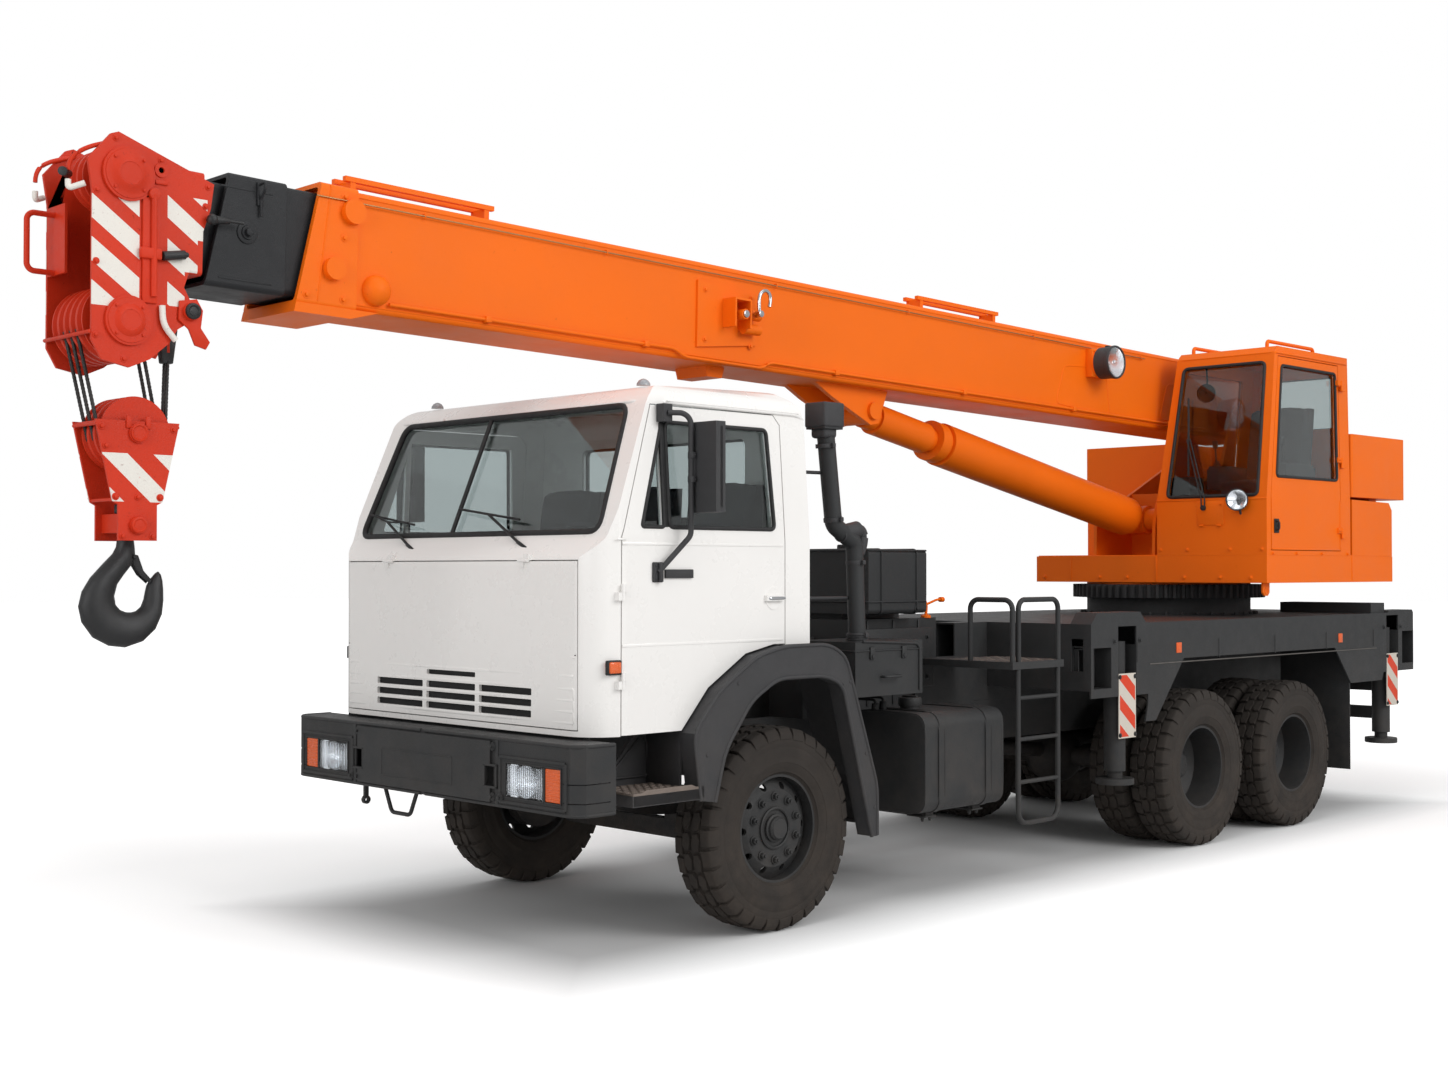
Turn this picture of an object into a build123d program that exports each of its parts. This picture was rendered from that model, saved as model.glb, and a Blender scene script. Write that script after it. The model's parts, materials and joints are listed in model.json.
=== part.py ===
# Mobile crane: a telescopic boom crane on a three-axle cab-over truck.
# Millimetres. The truck faces -Y, the driver's side is +X, up is +Z.
# The origin is on the ground under the middle of the whole machine.
from build123d import *
from math import cos, radians, sin
import os

os.makedirs("parts", exist_ok=True)

# ---------------------------------------------------------------- driving sizes
seat_gap = 0.3            # between pieces that seat on each other
running_gap = 6.0         # between pieces that move past each other

tyre_diameter = 1082.0
tyre_width = 290.0
rim_diameter = 600.0
front_axle_y = -2000.0
wheelbase = 4160.0        # front axle to first rear axle
bogie_spread = 1320.0
front_track = 2050.0
rear_track = 1890.0       # between the middles of the twins
twin_spacing = 325.0
kingpin_x = front_track / 2 - 210.0
vehicle_width = 2500.0

frame_top = 1040.0
frame_depth = 270.0
frame_width = 860.0
frame_wall = 12.0

cab_width = 2300.0
cab_roof_width = 2200.0
cab_bottom = 1100.0
cab_roof = 2866.0
cab_waist = 2060.0
cab_wall = 45.0
cab_front_y = front_axle_y - 1290.0
cab_rear_y = front_axle_y + 230.0
panel_thickness = 25.0
door_gap = 6.0
glass_thickness = 6.0

bumper_front_y = front_axle_y - 1470.0
bumper_bottom = 749.0
bumper_top = 1085.0
bumper_depth = 235.0
bumper_wall = 12.0

deck_top = 1560.0
subframe_front_y = front_axle_y + 2762.0
subframe_rear_y = front_axle_y + 7479.0
subframe_beam_x = 430.0
skirt_thickness = 12.0
beam_box_height = 250.0
beam_box_width = 190.0
beam_wall = 12.0
beam_bottom = 1150.0
left_front_beam_y = front_axle_y + 3182.0
right_front_beam_y = front_axle_y + 2892.0
left_rear_beam_y = front_axle_y + 7090.0
right_rear_beam_y = front_axle_y + 7370.0
jack_x = 1150.0
jack_tube_diameter = 140.0
jack_ram_diameter = 100.0
jack_tube_bottom = 590.0
jack_foot_bottom = 505.0
jack_foot_diameter = 250.0
jack_foot_height = 40.0
warning_plate = 200.0
jack_slot = warning_plate + 16

slew_y = front_axle_y + 5750.0
slew_drum_diameter = 1280.0
slew_gear_diameter = 1500.0
slew_gear_bottom = 1690.0
slew_gear_top = 1793.0
slew_tooth_count = 72
platform_bottom = 1811.0
platform_top = 2016.0
platform_front_y = front_axle_y + 5073.0
platform_rear_y = front_axle_y + 7144.0
platform_left_x = 1230.0
platform_right_x = -800.0

booth_inner_x = 316.0     # operator's cab
booth_roof = 3570.0
booth_rear_y = front_axle_y + 6400.0
booth_lean = 165.0
booth_wall = 40.0

boom_pitch = 1.3
boom_foot_y = front_axle_y + 6450.0
boom_foot_z = 3118.0
boom_width = 470.0
boom_height = 585.0
boom_wall = 12.0
boom_axis_rise = 150.0    # middle of the box above the foot pin
middle_width = 400.0
middle_height = 515.0
tip_width = 330.0
tip_height = 445.0
section_wall = 10.0
middle_corner = 28.0
tip_corner = 26.0
base_front = 8815.0       # lower front corners, along the boom from the foot pin
middle_front = 9264.0
tip_front = 9490.0
base_rear = -260.0
collar_lean = 12.0

luff_base_y = front_axle_y + 5270.0
luff_base_z = 2300.0
luff_pin_y = front_axle_y + 1930.0
luff_pin_z = 2940.0
barrel_diameter = 300.0
barrel_length = 2640.0    # base pin to the front of the gland
rod_diameter = 170.0

head_y = front_axle_y - 3190.0
head_upper_z = 3650.0
head_lower_z = 3005.0
head_half_width = 236.0
head_plate = 16.0
head_sheave_radius = 172.0
block_y = front_axle_y - 3085.0
block_sheave_z = 2522.0
block_sheave_radius = 166.0
block_half_width = 120.0
rope_diameter = 18.0
jib_pin_diameter = 80.0
jib_pin_length = 32.0
sheave_pitch = 62.0
sheave_groove = 22.0

arch_top = 1508.0         # underside of the cab over the engine
axle_z = tyre_diameter / 2
middle_axle_y = front_axle_y + wheelbase
rear_axle_y = middle_axle_y + bogie_spread
bogie_y = (middle_axle_y + rear_axle_y) / 2


# ---------------------------------------------------------------- helpers
def block(x, y, z, mode=Mode.ADD):
    """A box between two stations on each axis, each given as a pair."""
    with Locations((sum(x) / 2, sum(y) / 2, sum(z) / 2)):
        Box(x[1] - x[0], y[1] - y[0], z[1] - z[0], mode=mode)


def prism(plane, points, amount, mode, radius, grow):
    """An outline carried along its plane; radius is one number or one for each corner."""
    with BuildSketch(plane) as outline:
        with BuildLine():
            FilletPolyline(*points, radius=radius, close=True)
        make_face()
        if grow:
            offset(amount=grow, kind=Kind.INTERSECTION)
    extrude(outline.sketch, amount=amount, mode=mode)


def side_prism(points, x, mode=Mode.ADD, radius=0, grow=0):
    """A side-view (y, z) outline carried from x[0] to x[1]."""
    prism(Plane.YZ.offset(x[0]), points, x[1] - x[0], mode, radius, grow)


def front_prism(points, y, mode=Mode.ADD, radius=0, grow=0):
    """A front-view (x, z) outline carried from y[0] to y[1]."""
    prism(Plane.XZ.offset(-y[0]), points, y[0] - y[1], mode, radius, grow)


def plan_prism(points, z, mode=Mode.ADD, radius=0, grow=0):
    """A plan-view (x, y) outline carried from z[0] to z[1]."""
    prism(Plane.XY.offset(z[0]), points, z[1] - z[0], mode, radius, grow)


def rod(start, end, diameter, mode=Mode.ADD):
    """A round bar between two points."""
    way = Vector(*end) - Vector(*start)
    with BuildSketch(Plane(origin=start, z_dir=way)) as section:
        Circle(diameter / 2)
    extrude(section.sketch, amount=way.length, mode=mode)


def tube_path(points, diameter, bend):
    """A bent tube along straight runs joined by arcs."""
    with BuildLine() as path:
        FilletPolyline(*points, radius=bend)
    with BuildSketch(Plane(origin=path.line @ 0, z_dir=path.line % 0)) as section:
        Circle(diameter / 2)
    sweep(section.sketch, path=path.line)


def write(piece, name):
    piece.part.label = name
    export_step(piece.part, f"parts/{name}.step")


# ---------------------------------------------------------------- wheels
def tyre(name, x_middles, y):
    """One tyre, or two side by side on a twin wheel."""
    half = tyre_width / 2
    tread = tyre_diameter / 2
    bead = rim_diameter / 2 - 14
    with BuildPart() as piece:
        for x in x_middles:
            with BuildSketch(Plane(origin=(x, y, axle_z))):
                with BuildLine():
                    Polyline(
                        (-half * 0.74, bead), (-half, bead + 70), (-half, tread - 75),
                        (-half * 0.86, tread - 12), (-half * 0.3, tread), (half * 0.3, tread),
                        (half * 0.86, tread - 12), (half, tread - 75), (half, bead + 70),
                        (half * 0.74, bead), close=True,
                    )
                make_face()
            revolve(axis=Axis((x, y, axle_z), (1, 0, 0)))
    write(piece, name)


def front_rim(name, s, y):
    """Single wheel: the disc bulges outward over the hub."""
    x = s * front_track / 2
    lip = rim_diameter / 2
    edge = tyre_width * 0.37
    with BuildPart() as piece:
        with BuildSketch(Plane(origin=(x, y, axle_z))):
            with BuildLine():
                Polyline(
                    (s * -edge, lip - 14.5), (s * -edge, lip - 30), (s * 18, lip - 34),
                    (s * 62, 205), (s * 62, 120), (s * 20, 118), (s * 20, 0), (s * 125, 0),
                    (s * 125, 52), (s * 112, 62), (s * 80, 66), (s * 80, 205), (s * 36, lip - 24),
                    (s * edge, lip - 28), (s * edge, lip - 14.5), close=True,
                )
            make_face()
        revolve(axis=Axis((x, y, axle_z), (1, 0, 0)))
        with BuildSketch(Plane(origin=(x, y, axle_z), x_dir=(0, 1, 0), z_dir=(1, 0, 0))):
            with PolarLocations(228, 10):
                Circle(20)
        extrude(amount=edge, both=True, mode=Mode.SUBTRACT)
    write(piece, name)


def twin_rim(name, s, y):
    """Two deep rims bolted back to back on one hub."""
    x = s * rear_track / 2
    lip = rim_diameter / 2
    edge = tyre_width * 0.37
    outer = twin_spacing / 2
    with BuildPart() as piece:
        with BuildSketch(Plane(origin=(x, y, axle_z))):
            with BuildLine():
                Polyline(
                    (s * (-outer - edge), lip - 14.5), (s * (-outer - edge), lip - 30),
                    (s * -60, lip - 34), (s * -16, 190), (s * -16, 120), (s * -40, 110),
                    (s * -40, 0), (s * 118, 0), (s * 118, 70), (s * 104, 92), (s * 16, 110),
                    (s * 16, 190), (s * 60, lip - 34), (s * (outer + edge), lip - 30),
                    (s * (outer + edge), lip - 14.5), (s * (outer - edge), lip - 14.5),
                    (s * 62, lip - 20), (s * 30, 225), (s * -30, 225), (s * -62, lip - 20),
                    (s * (edge - outer), lip - 14.5), close=True,
                )
            make_face()
        revolve(axis=Axis((x, y, axle_z), (1, 0, 0)))
    write(piece, name)


for side, s in (("left", 1), ("right", -1)):
    tyre(f"tyre_front_{side}", [s * front_track / 2], front_axle_y)
    front_rim(f"rim_front_{side}", s, front_axle_y)
    for place, y in (("middle", middle_axle_y), ("rear", rear_axle_y)):
        twins = [s * (rear_track - twin_spacing) / 2, s * (rear_track + twin_spacing) / 2]
        tyre(f"tyre_{place}_{side}", twins, y)
        twin_rim(f"rim_{place}_{side}", s, y)


# ---------------------------------------------------------------- chassis
rail_bottom = frame_top - frame_depth
rail_front_y = front_axle_y - 1290.0
rail_rear_y = subframe_rear_y - 60.0
rail_outer = frame_width / 2
flange = 80.0

with BuildPart() as chassis_frame:
    for s in (1, -1):
        channel = [
            (s * rail_outer, rail_bottom), (s * rail_outer, frame_top),
            (s * (rail_outer - flange), frame_top), (s * (rail_outer - flange), frame_top - frame_wall),
            (s * (rail_outer - frame_wall), frame_top - frame_wall),
            (s * (rail_outer - frame_wall), rail_bottom + frame_wall),
            (s * (rail_outer - flange), rail_bottom + frame_wall), (s * (rail_outer - flange), rail_bottom),
        ]
        front_prism(channel, (rail_front_y, rail_rear_y))
    for y in (rail_front_y + 60, bogie_y - 1250, bogie_y, bogie_y + 1150, rail_rear_y - 60):
        block((-rail_outer + 1, rail_outer - 1), (y - 50, y + 50), (rail_bottom + 40, frame_top - 40))
    # the cross member over the propeller shaft is shallower
    block((-rail_outer + 1, rail_outer - 1), (front_axle_y + 1280, front_axle_y + 1380),
          (rail_bottom + 170, frame_top - 40))
    # bar across the tail, hung from the rails
    block((-1000, 1000), (rail_rear_y - 60, rail_rear_y), (rail_bottom - 100, rail_bottom + 1))
    # cab mounts: low ones under the nose, tall ones behind the wheel arch
    for s in (1, -1):
        mount_x = sorted((s * (rail_outer - flange), s * rail_outer))
        block(mount_x, (cab_front_y + 180, cab_front_y + 300), (frame_top - 1, cab_bottom - seat_gap))
        block(mount_x, (cab_rear_y - 130, cab_rear_y - 30), (frame_top - 1, arch_top))

leaf_x = 360.0
leaf_width = 90.0
leaf_half = 760.0
fist = 50.0               # half height of the axle's ends, between the forks
kingpin_diameter = 40.0

with BuildPart() as running_gear:
    front_prism([
        (-kingpin_x + 20, axle_z + fist), (-kingpin_x + 20, axle_z - fist),
        (-kingpin_x + 70, axle_z - fist), (-560, axle_z - 130), (560, axle_z - 130),
        (kingpin_x - 70, axle_z - fist), (kingpin_x - 20, axle_z - fist), (kingpin_x - 20, axle_z + fist),
        (540, axle_z - 30), (-540, axle_z - 30),
    ], (front_axle_y - 40, front_axle_y + 40))
    for s in (1, -1):
        rod((s * kingpin_x, front_axle_y, axle_z - fist), (s * kingpin_x, front_axle_y, axle_z + fist), 88)
        rod((s * kingpin_x, front_axle_y, axle_z - fist), (s * kingpin_x, front_axle_y, axle_z + fist),
            kingpin_diameter + 2 * seat_gap, mode=Mode.SUBTRACT)
        with BuildSketch(Plane.YZ.offset(s * leaf_x - leaf_width / 2)):
            with BuildLine():
                ThreePointArc(
                    (front_axle_y - leaf_half, rail_bottom - 60), (front_axle_y, axle_z + 10),
                    (front_axle_y + leaf_half, rail_bottom - 60))
                Line((front_axle_y + leaf_half, rail_bottom - 60), (front_axle_y + leaf_half, rail_bottom - 42))
                ThreePointArc(
                    (front_axle_y + leaf_half, rail_bottom - 42), (front_axle_y, axle_z + 90),
                    (front_axle_y - leaf_half, rail_bottom - 42))
                Line((front_axle_y - leaf_half, rail_bottom - 42), (front_axle_y - leaf_half, rail_bottom - 60))
            make_face()
        extrude(amount=leaf_width)
        block((s * leaf_x - 50, s * leaf_x + 50), (front_axle_y - 60, front_axle_y + 60),
              (axle_z - 60, axle_z + 40))
        for y in (front_axle_y - leaf_half, front_axle_y + leaf_half):
            block((s * leaf_x - 50, s * leaf_x + 50), (y - 30, y + 30), (rail_bottom - 70, rail_bottom))

    # driven axles with their drums, on springs that pivot at the middle of the bogie
    hub_face = rear_track / 2 - 40 - seat_gap
    for y in (middle_axle_y, rear_axle_y):
        rod((-600, y, axle_z), (600, y, axle_z), 150)
        rod((-hub_face, y, axle_z), (hub_face, y, axle_z), 90)
        for s in (1, -1):
            rod((s * 590, y, axle_z), (s * (rear_track / 2 - 80), y, axle_z), 400)
        with Locations((0, y, axle_z)):
            Sphere(210)
        block((-80, 80), (y - 90, y + 90), (axle_z + 120, axle_z + 260))
    for s in (1, -1):
        x = s * 500
        side_prism([
            (middle_axle_y - 120, axle_z + 60), (bogie_y - 100, axle_z + 230), (bogie_y + 100, axle_z + 230),
            (rear_axle_y + 120, axle_z + 60), (rear_axle_y + 120, axle_z + 85), (bogie_y, axle_z + 165 + 120),
            (middle_axle_y - 120, axle_z + 85),
        ], (x - 45, x + 45))
        for y in (middle_axle_y, rear_axle_y):
            block((x - 50, x + 50), (y - 60, y + 60), (axle_z - 60, axle_z + 80))
        block((x - 60, x + 60), (bogie_y - 90, bogie_y + 90), (axle_z - 20, axle_z + 300))
        block((min(s * rail_outer, x), max(s * rail_outer, x)), (bogie_y - 90, bogie_y + 90),
              (rail_bottom - 20, frame_top - 30))
    rod((-500, bogie_y, axle_z + 60), (500, bogie_y, axle_z + 60), 130)

    # propeller shafts, from the gearbox to the first axle and on to the second
    rod((0, front_axle_y + 1240, 870), (0, middle_axle_y - 150, axle_z + 40), 100)
    rod((0, middle_axle_y + 150, axle_z), (0, rear_axle_y - 150, axle_z), 90)

    # engine and gearbox on their mounts between the rails
    block((-300, 300), (front_axle_y - 420, front_axle_y + 560), (rail_bottom + 20, 1330))
    block((-210, 210), (front_axle_y + 560, front_axle_y + 1250), (rail_bottom + 40, 1230))
    mount_reach = rail_outer - frame_wall - seat_gap
    for y in (front_axle_y - 300, front_axle_y + 420):
        block((-mount_reach, mount_reach), (y - 60, y + 60), (rail_bottom + 90, rail_bottom + 170))

# Steered ends of the front axle: a forked kingpin boss, stub axle and drum.
for side, s in (("left", 1), ("right", -1)):
    with BuildPart() as knuckle:
        rod((s * kingpin_x, front_axle_y, axle_z - 105), (s * kingpin_x, front_axle_y, axle_z + 105),
            kingpin_diameter)
        for z in (axle_z - 105, axle_z + fist + seat_gap):
            rod((s * kingpin_x, front_axle_y, z), (s * kingpin_x, front_axle_y, z + 105 - fist - seat_gap), 88)
            block(sorted((s * kingpin_x, s * (kingpin_x + 62))), (front_axle_y - 44, front_axle_y + 44),
                  (z, z + 105 - fist - seat_gap))
        block(sorted((s * (kingpin_x + 52), s * (kingpin_x + 62))), (front_axle_y - 44, front_axle_y + 44),
              (axle_z - 105, axle_z + 105))
        rod((s * (kingpin_x + 60), front_axle_y, axle_z), (s * (front_track / 2 - 60), front_axle_y, axle_z), 400)
        rod((s * (kingpin_x + 60), front_axle_y, axle_z), (s * (front_track / 2 + 20 - seat_gap), front_axle_y, axle_z), 90)
    write(knuckle, f"knuckle_{side}")

write(chassis_frame, "chassis_frame")
write(running_gear, "running_gear")


# ---------------------------------------------------------------- bumper and lamps
bumper_half = vehicle_width / 2
lamp_x = (700.0, 1000.0, 1130.0)   # inner end, joint with the indicator, outer end
lamp_z = (802.0, 970.0)
bumper_plan = [
    (-bumper_half, bumper_front_y + bumper_depth), (-bumper_half, bumper_front_y + 50),
    (-bumper_half + 60, bumper_front_y), (bumper_half - 60, bumper_front_y),
    (bumper_half, bumper_front_y + 50), (bumper_half, bumper_front_y + bumper_depth),
]

with BuildPart() as front_bumper:
    plan_prism(bumper_plan, (bumper_bottom, bumper_top))
    plan_prism([(x, y + bumper_wall) for x, y in bumper_plan],
               (bumper_bottom + bumper_wall, bumper_top - bumper_wall), mode=Mode.SUBTRACT, grow=-0.01)
    for s in (1, -1):
        block(sorted((s * (bumper_half - bumper_wall), s * bumper_half)),
              (bumper_front_y + 60, bumper_front_y + bumper_depth), (bumper_bottom, bumper_top))
        block(sorted((s * lamp_x[0], s * lamp_x[2])), (bumper_front_y - 1, bumper_front_y + bumper_wall + 1),
              lamp_z, mode=Mode.SUBTRACT)
        block(sorted((s * (rail_outer - 70), s * (rail_outer - 10))),
              (bumper_front_y + bumper_wall, rail_front_y - seat_gap), (bumper_bottom + 40, bumper_top - 60))
    # raised middle panel and the two tow pockets with their pins
    block((-590, 590), (bumper_front_y - 14, bumper_front_y), (bumper_bottom + 18, bumper_top - 18))
    for s in (1, -1):
        block((s * 590 - 45, s * 590 + 45), (bumper_front_y - 15, bumper_front_y + bumper_wall + 1),
              (845, 945), mode=Mode.SUBTRACT)
        rod((s * 590, bumper_front_y + 30, bumper_bottom), (s * 590, bumper_front_y + 30, bumper_top), 32)
    tow_y = bumper_front_y + 70
    tube_path([(-455, tow_y, bumper_bottom + 6), (-385, tow_y, bumper_bottom - 135),
               (-215, tow_y, bumper_bottom - 135), (-145, tow_y, bumper_bottom + 6)], 22, 40)
    block((-644, -626), (tow_y - 12, tow_y + 12), (bumper_bottom - 80, bumper_bottom + 2))
    rod((-646, tow_y, bumper_bottom - 92), (-624, tow_y, bumper_bottom - 92), 46)
    rod((-647, tow_y, bumper_bottom - 92), (-623, tow_y, bumper_bottom - 92), 20, mode=Mode.SUBTRACT)
    for s in (1, -1):
        for z in (bumper_bottom + 60, bumper_bottom + 150):
            block(sorted((s * (bumper_half - 110), s * (bumper_half + 1))),
                  (bumper_front_y - 20, bumper_front_y + 200), (z, z + 5), mode=Mode.SUBTRACT)

with BuildPart() as head_lamps:
    for s in (1, -1):
        for inner, outer in ((lamp_x[0], lamp_x[1]), (lamp_x[1] + 1, lamp_x[2])):
            block(sorted((s * (inner + seat_gap), s * (outer - seat_gap))),
                  (bumper_front_y + 2, bumper_front_y + 90), (lamp_z[0] + seat_gap, lamp_z[1] - seat_gap))

write(front_bumper, "front_bumper")
write(head_lamps, "head_lamps")


# ---------------------------------------------------------------- truck cab
# Side outline of the cab, nose at -Y: floor line, nose, windscreen, roof, rear wall.
eave_z = cab_roof - 76
window_top = cab_roof - 131
cab_outline = [
    (cab_front_y, cab_bottom), (cab_front_y + 12, cab_waist - 95), (cab_front_y + 110, cab_waist + 10),
    (cab_front_y + 385, cab_roof - 101), (cab_front_y + 480, cab_roof - 28), (cab_rear_y - 130, cab_roof),
    (cab_rear_y - 30, cab_roof - 51), (cab_rear_y, cab_roof - 166), (cab_rear_y, cab_bottom),
]
cab_outline_radii = [0, 90, 90, 150, 150, 100, 100, 100, 0]
cab_plan = [
    (-cab_width / 2, cab_rear_y), (-cab_width / 2, cab_front_y + 190), (-cab_width / 2 + 50, cab_front_y + 70),
    (-cab_width / 2 + 150, cab_front_y + 8), (0, cab_front_y - 12), (cab_width / 2 - 150, cab_front_y + 8),
    (cab_width / 2 - 50, cab_front_y + 70), (cab_width / 2, cab_front_y + 190), (cab_width / 2, cab_rear_y),
]
cab_plan_radii = [0, 170, 170, 170, 0, 170, 170, 170, 0]
cab_section = [
    (-cab_width / 2, cab_bottom), (-cab_width / 2, cab_waist), (-cab_roof_width / 2, eave_z),
    (-cab_roof_width / 2 + 110, cab_roof), (cab_roof_width / 2 - 110, cab_roof), (cab_roof_width / 2, eave_z),
    (cab_width / 2, cab_waist), (cab_width / 2, cab_bottom),
]
cab_section_radii = [0, 0, 110, 110, 110, 110, 0, 0]
# Outer line of the wheel arch, which the fender fills from below.
arch_line = [
    (front_axle_y - 712, 1095), (front_axle_y - 525, 1303), (front_axle_y - 258, 1465),
    (front_axle_y - 48, arch_top), (front_axle_y + 288, arch_top), (front_axle_y + 425, 1440),
    (front_axle_y + 683, 719),
]
arch_hole = arch_line + [(front_axle_y + 683, 500), (front_axle_y - 712, 500)]


def cab_body(inset):
    """The closed form of the cab, drawn in by one amount all over."""
    with BuildPart() as body:
        side_prism(cab_outline, (-cab_width, cab_width), radius=cab_outline_radii, grow=-inset)
        plan_prism(cab_plan, (0, 2 * cab_roof), mode=Mode.INTERSECT, radius=cab_plan_radii, grow=-inset)
        front_prism(cab_section, (2 * cab_front_y, 0), mode=Mode.INTERSECT, radius=cab_section_radii, grow=-inset)
        side_prism(arch_hole, (-cab_width, cab_width), mode=Mode.SUBTRACT, grow=inset + seat_gap)
    return body.part


def cab_layer(depth, thickness):
    """A skin of the cab at one depth, such as its glass or its front panel."""
    with BuildPart() as layer:
        add(cab_body(depth))
        add(cab_body(depth + thickness), mode=Mode.SUBTRACT)
    return layer.part


def side_wall(depth, thickness):
    """The upright side skins alone, without floor or roof."""
    open_section = [(x, z - 600 if z == cab_bottom else z) for x, z in cab_section]
    with BuildPart() as skins:
        add(cab_body(0))
        front_prism(open_section, (2 * cab_front_y, 0), mode=Mode.INTERSECT, radius=cab_section_radii, grow=-depth)
        front_prism(open_section, (2 * cab_front_y, 0), mode=Mode.SUBTRACT, radius=cab_section_radii,
                    grow=-depth - thickness)
        block((-cab_width, cab_width), (cab_front_y - 100, cab_rear_y + 100), (cab_roof - 96, cab_roof + 134),
              mode=Mode.SUBTRACT)
    return skins.part


door_edge_y = cab_front_y + 175
door_outline = [
    (door_edge_y, cab_bottom - 1), (door_edge_y + 3, cab_waist + 10), (cab_front_y + 400, window_top),
    (cab_rear_y - 240, window_top), (cab_rear_y - 190, window_top - 55), (cab_rear_y - 190, cab_bottom - 1),
]
door_window = [
    (cab_front_y + 305, cab_waist + 62), (cab_front_y + 475, cab_roof - 218),
    (cab_rear_y - 300, cab_roof - 218), (cab_rear_y - 270, cab_waist + 62),
]
window_post_y = cab_front_y + 470
windscreen = [(-1045, cab_waist + 35), (-972, window_top), (972, window_top), (1045, cab_waist + 35)]
rear_window = [
    (-700, cab_waist + 140), (-700, cab_roof - 226), (700, cab_roof - 226), (700, cab_waist + 140),
]
lid_top = cab_waist - 108
lid_outline = [(-1005, cab_bottom + 33), (-1005, lid_top), (1005, lid_top), (1005, cab_bottom + 33)]
side_reach = (cab_width / 2 - 300, cab_width)
# hinge lines of the doors and of the front lid, with the heights and places of their leaves
door_hinge = (cab_width / 2 + 12, door_edge_y + 3)
door_hinge_z = (cab_bottom + 230, cab_waist - 300)
lid_hinge = (cab_front_y + 2, lid_top + 3)
hinge_length = 40.0


def door_leaf(s, direction, z):
    """One leaf of a cab door's hinge, running from the hinge line along the cab's side."""
    x, y = s * door_hinge[0], door_hinge[1]
    rod((x, y, z), (x, y, z + hinge_length), 18)
    block(sorted((s * (cab_width / 2 - 22), x)), sorted((y, y + direction * 30)), (z, z + hinge_length))


def lid_leaf(x, z):
    """One leaf of the front lid's hinge, on the lid below or on the cab above its line."""
    rod((x, *lid_hinge), (x + hinge_length, *lid_hinge), 16)
    block((x, x + hinge_length), (lid_hinge[0], lid_hinge[0] + 26), z)


with BuildPart() as cab_shell:
    add(cab_body(0))
    add(cab_body(cab_wall), mode=Mode.SUBTRACT)
    front_prism(windscreen, (cab_front_y - 50, cab_front_y + 600), mode=Mode.SUBTRACT, radius=45)
    front_prism(rear_window, (cab_rear_y - 200, cab_rear_y + 50), mode=Mode.SUBTRACT, radius=45)
    with BuildPart(mode=Mode.PRIVATE) as door_holes:
        add(side_wall(0, cab_wall + running_gap))
        side_prism(door_outline, (-cab_width, cab_width), mode=Mode.INTERSECT)
    add(door_holes.part, mode=Mode.SUBTRACT)
    with BuildPart(mode=Mode.PRIVATE) as lid_pocket:
        add(cab_layer(0, panel_thickness + door_gap))
        front_prism(lid_outline, (cab_front_y - 50, cab_front_y + 60), mode=Mode.INTERSECT, grow=door_gap)
    add(lid_pocket.part, mode=Mode.SUBTRACT)
    for s in (1, -1):
        for z in door_hinge_z:
            door_leaf(s, -1, z)
        lid_leaf(s * 600 + seat_gap, (lid_hinge[1], lid_hinge[1] + 35))
write(cab_shell, "cab_shell")

with BuildPart() as front_panel:
    add(cab_layer(0, panel_thickness))
    front_prism(lid_outline, (cab_front_y - 50, cab_front_y + 60), mode=Mode.INTERSECT)
    # air slots: three rows of three and a single one above the middle
    with BuildSketch(Plane.XZ.offset(-(cab_front_y - 50))):
        with Locations((-15, cab_bottom + 147)):
            with GridLocations(467, 55, 3, 3):
                RectangleRounded(432, 35, 6)
        with Locations((-15, cab_bottom + 267)):
            RectangleRounded(432, 26, 6)
    extrude(amount=-120, mode=Mode.SUBTRACT)
    # rubber buffers behind the corners, which meet the floor of the pocket
    with BuildPart(mode=Mode.PRIVATE) as buffers:
        add(cab_layer(panel_thickness - 5, 5 + door_gap - seat_gap))
        with BuildPart(mode=Mode.PRIVATE) as buffer_places:
            for x in (-760, 760):
                for z in (cab_bottom + 60, lid_top - 62):
                    block((x - 30, x + 30), (cab_front_y - 50, cab_front_y + 60), (z - 20, z + 20))
        add(buffer_places.part, mode=Mode.INTERSECT)
    add(buffers.part)
    for s in (1, -1):
        lid_leaf(s * 600 - hinge_length, (lid_hinge[1] - 35, lid_hinge[1]))
write(front_panel, "front_panel")

with BuildPart() as cab_glass:
    add(cab_layer(cab_wall / 2 - glass_thickness / 2, glass_thickness))
    with BuildPart(mode=Mode.PRIVATE) as panes:
        front_prism(windscreen, (cab_front_y - 50, cab_front_y + 600), radius=45, grow=-seat_gap)
        front_prism(rear_window, (cab_rear_y - 200, cab_rear_y + 50), radius=45, grow=-seat_gap)
    add(panes.part, mode=Mode.INTERSECT)
write(cab_glass, "cab_glass")

mirror_size = (200, 66, 450)
mirror_arm_y = cab_front_y + 563
# how far the arm and the middle of the mirror stand out from the cab
mirror_out = (80, 135)
# lower and upper foot of the mirror's arm: place along the door and height
mirror_feet = ((cab_front_y + 405, cab_waist - 162), (cab_front_y + 468, cab_roof - 176))

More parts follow.
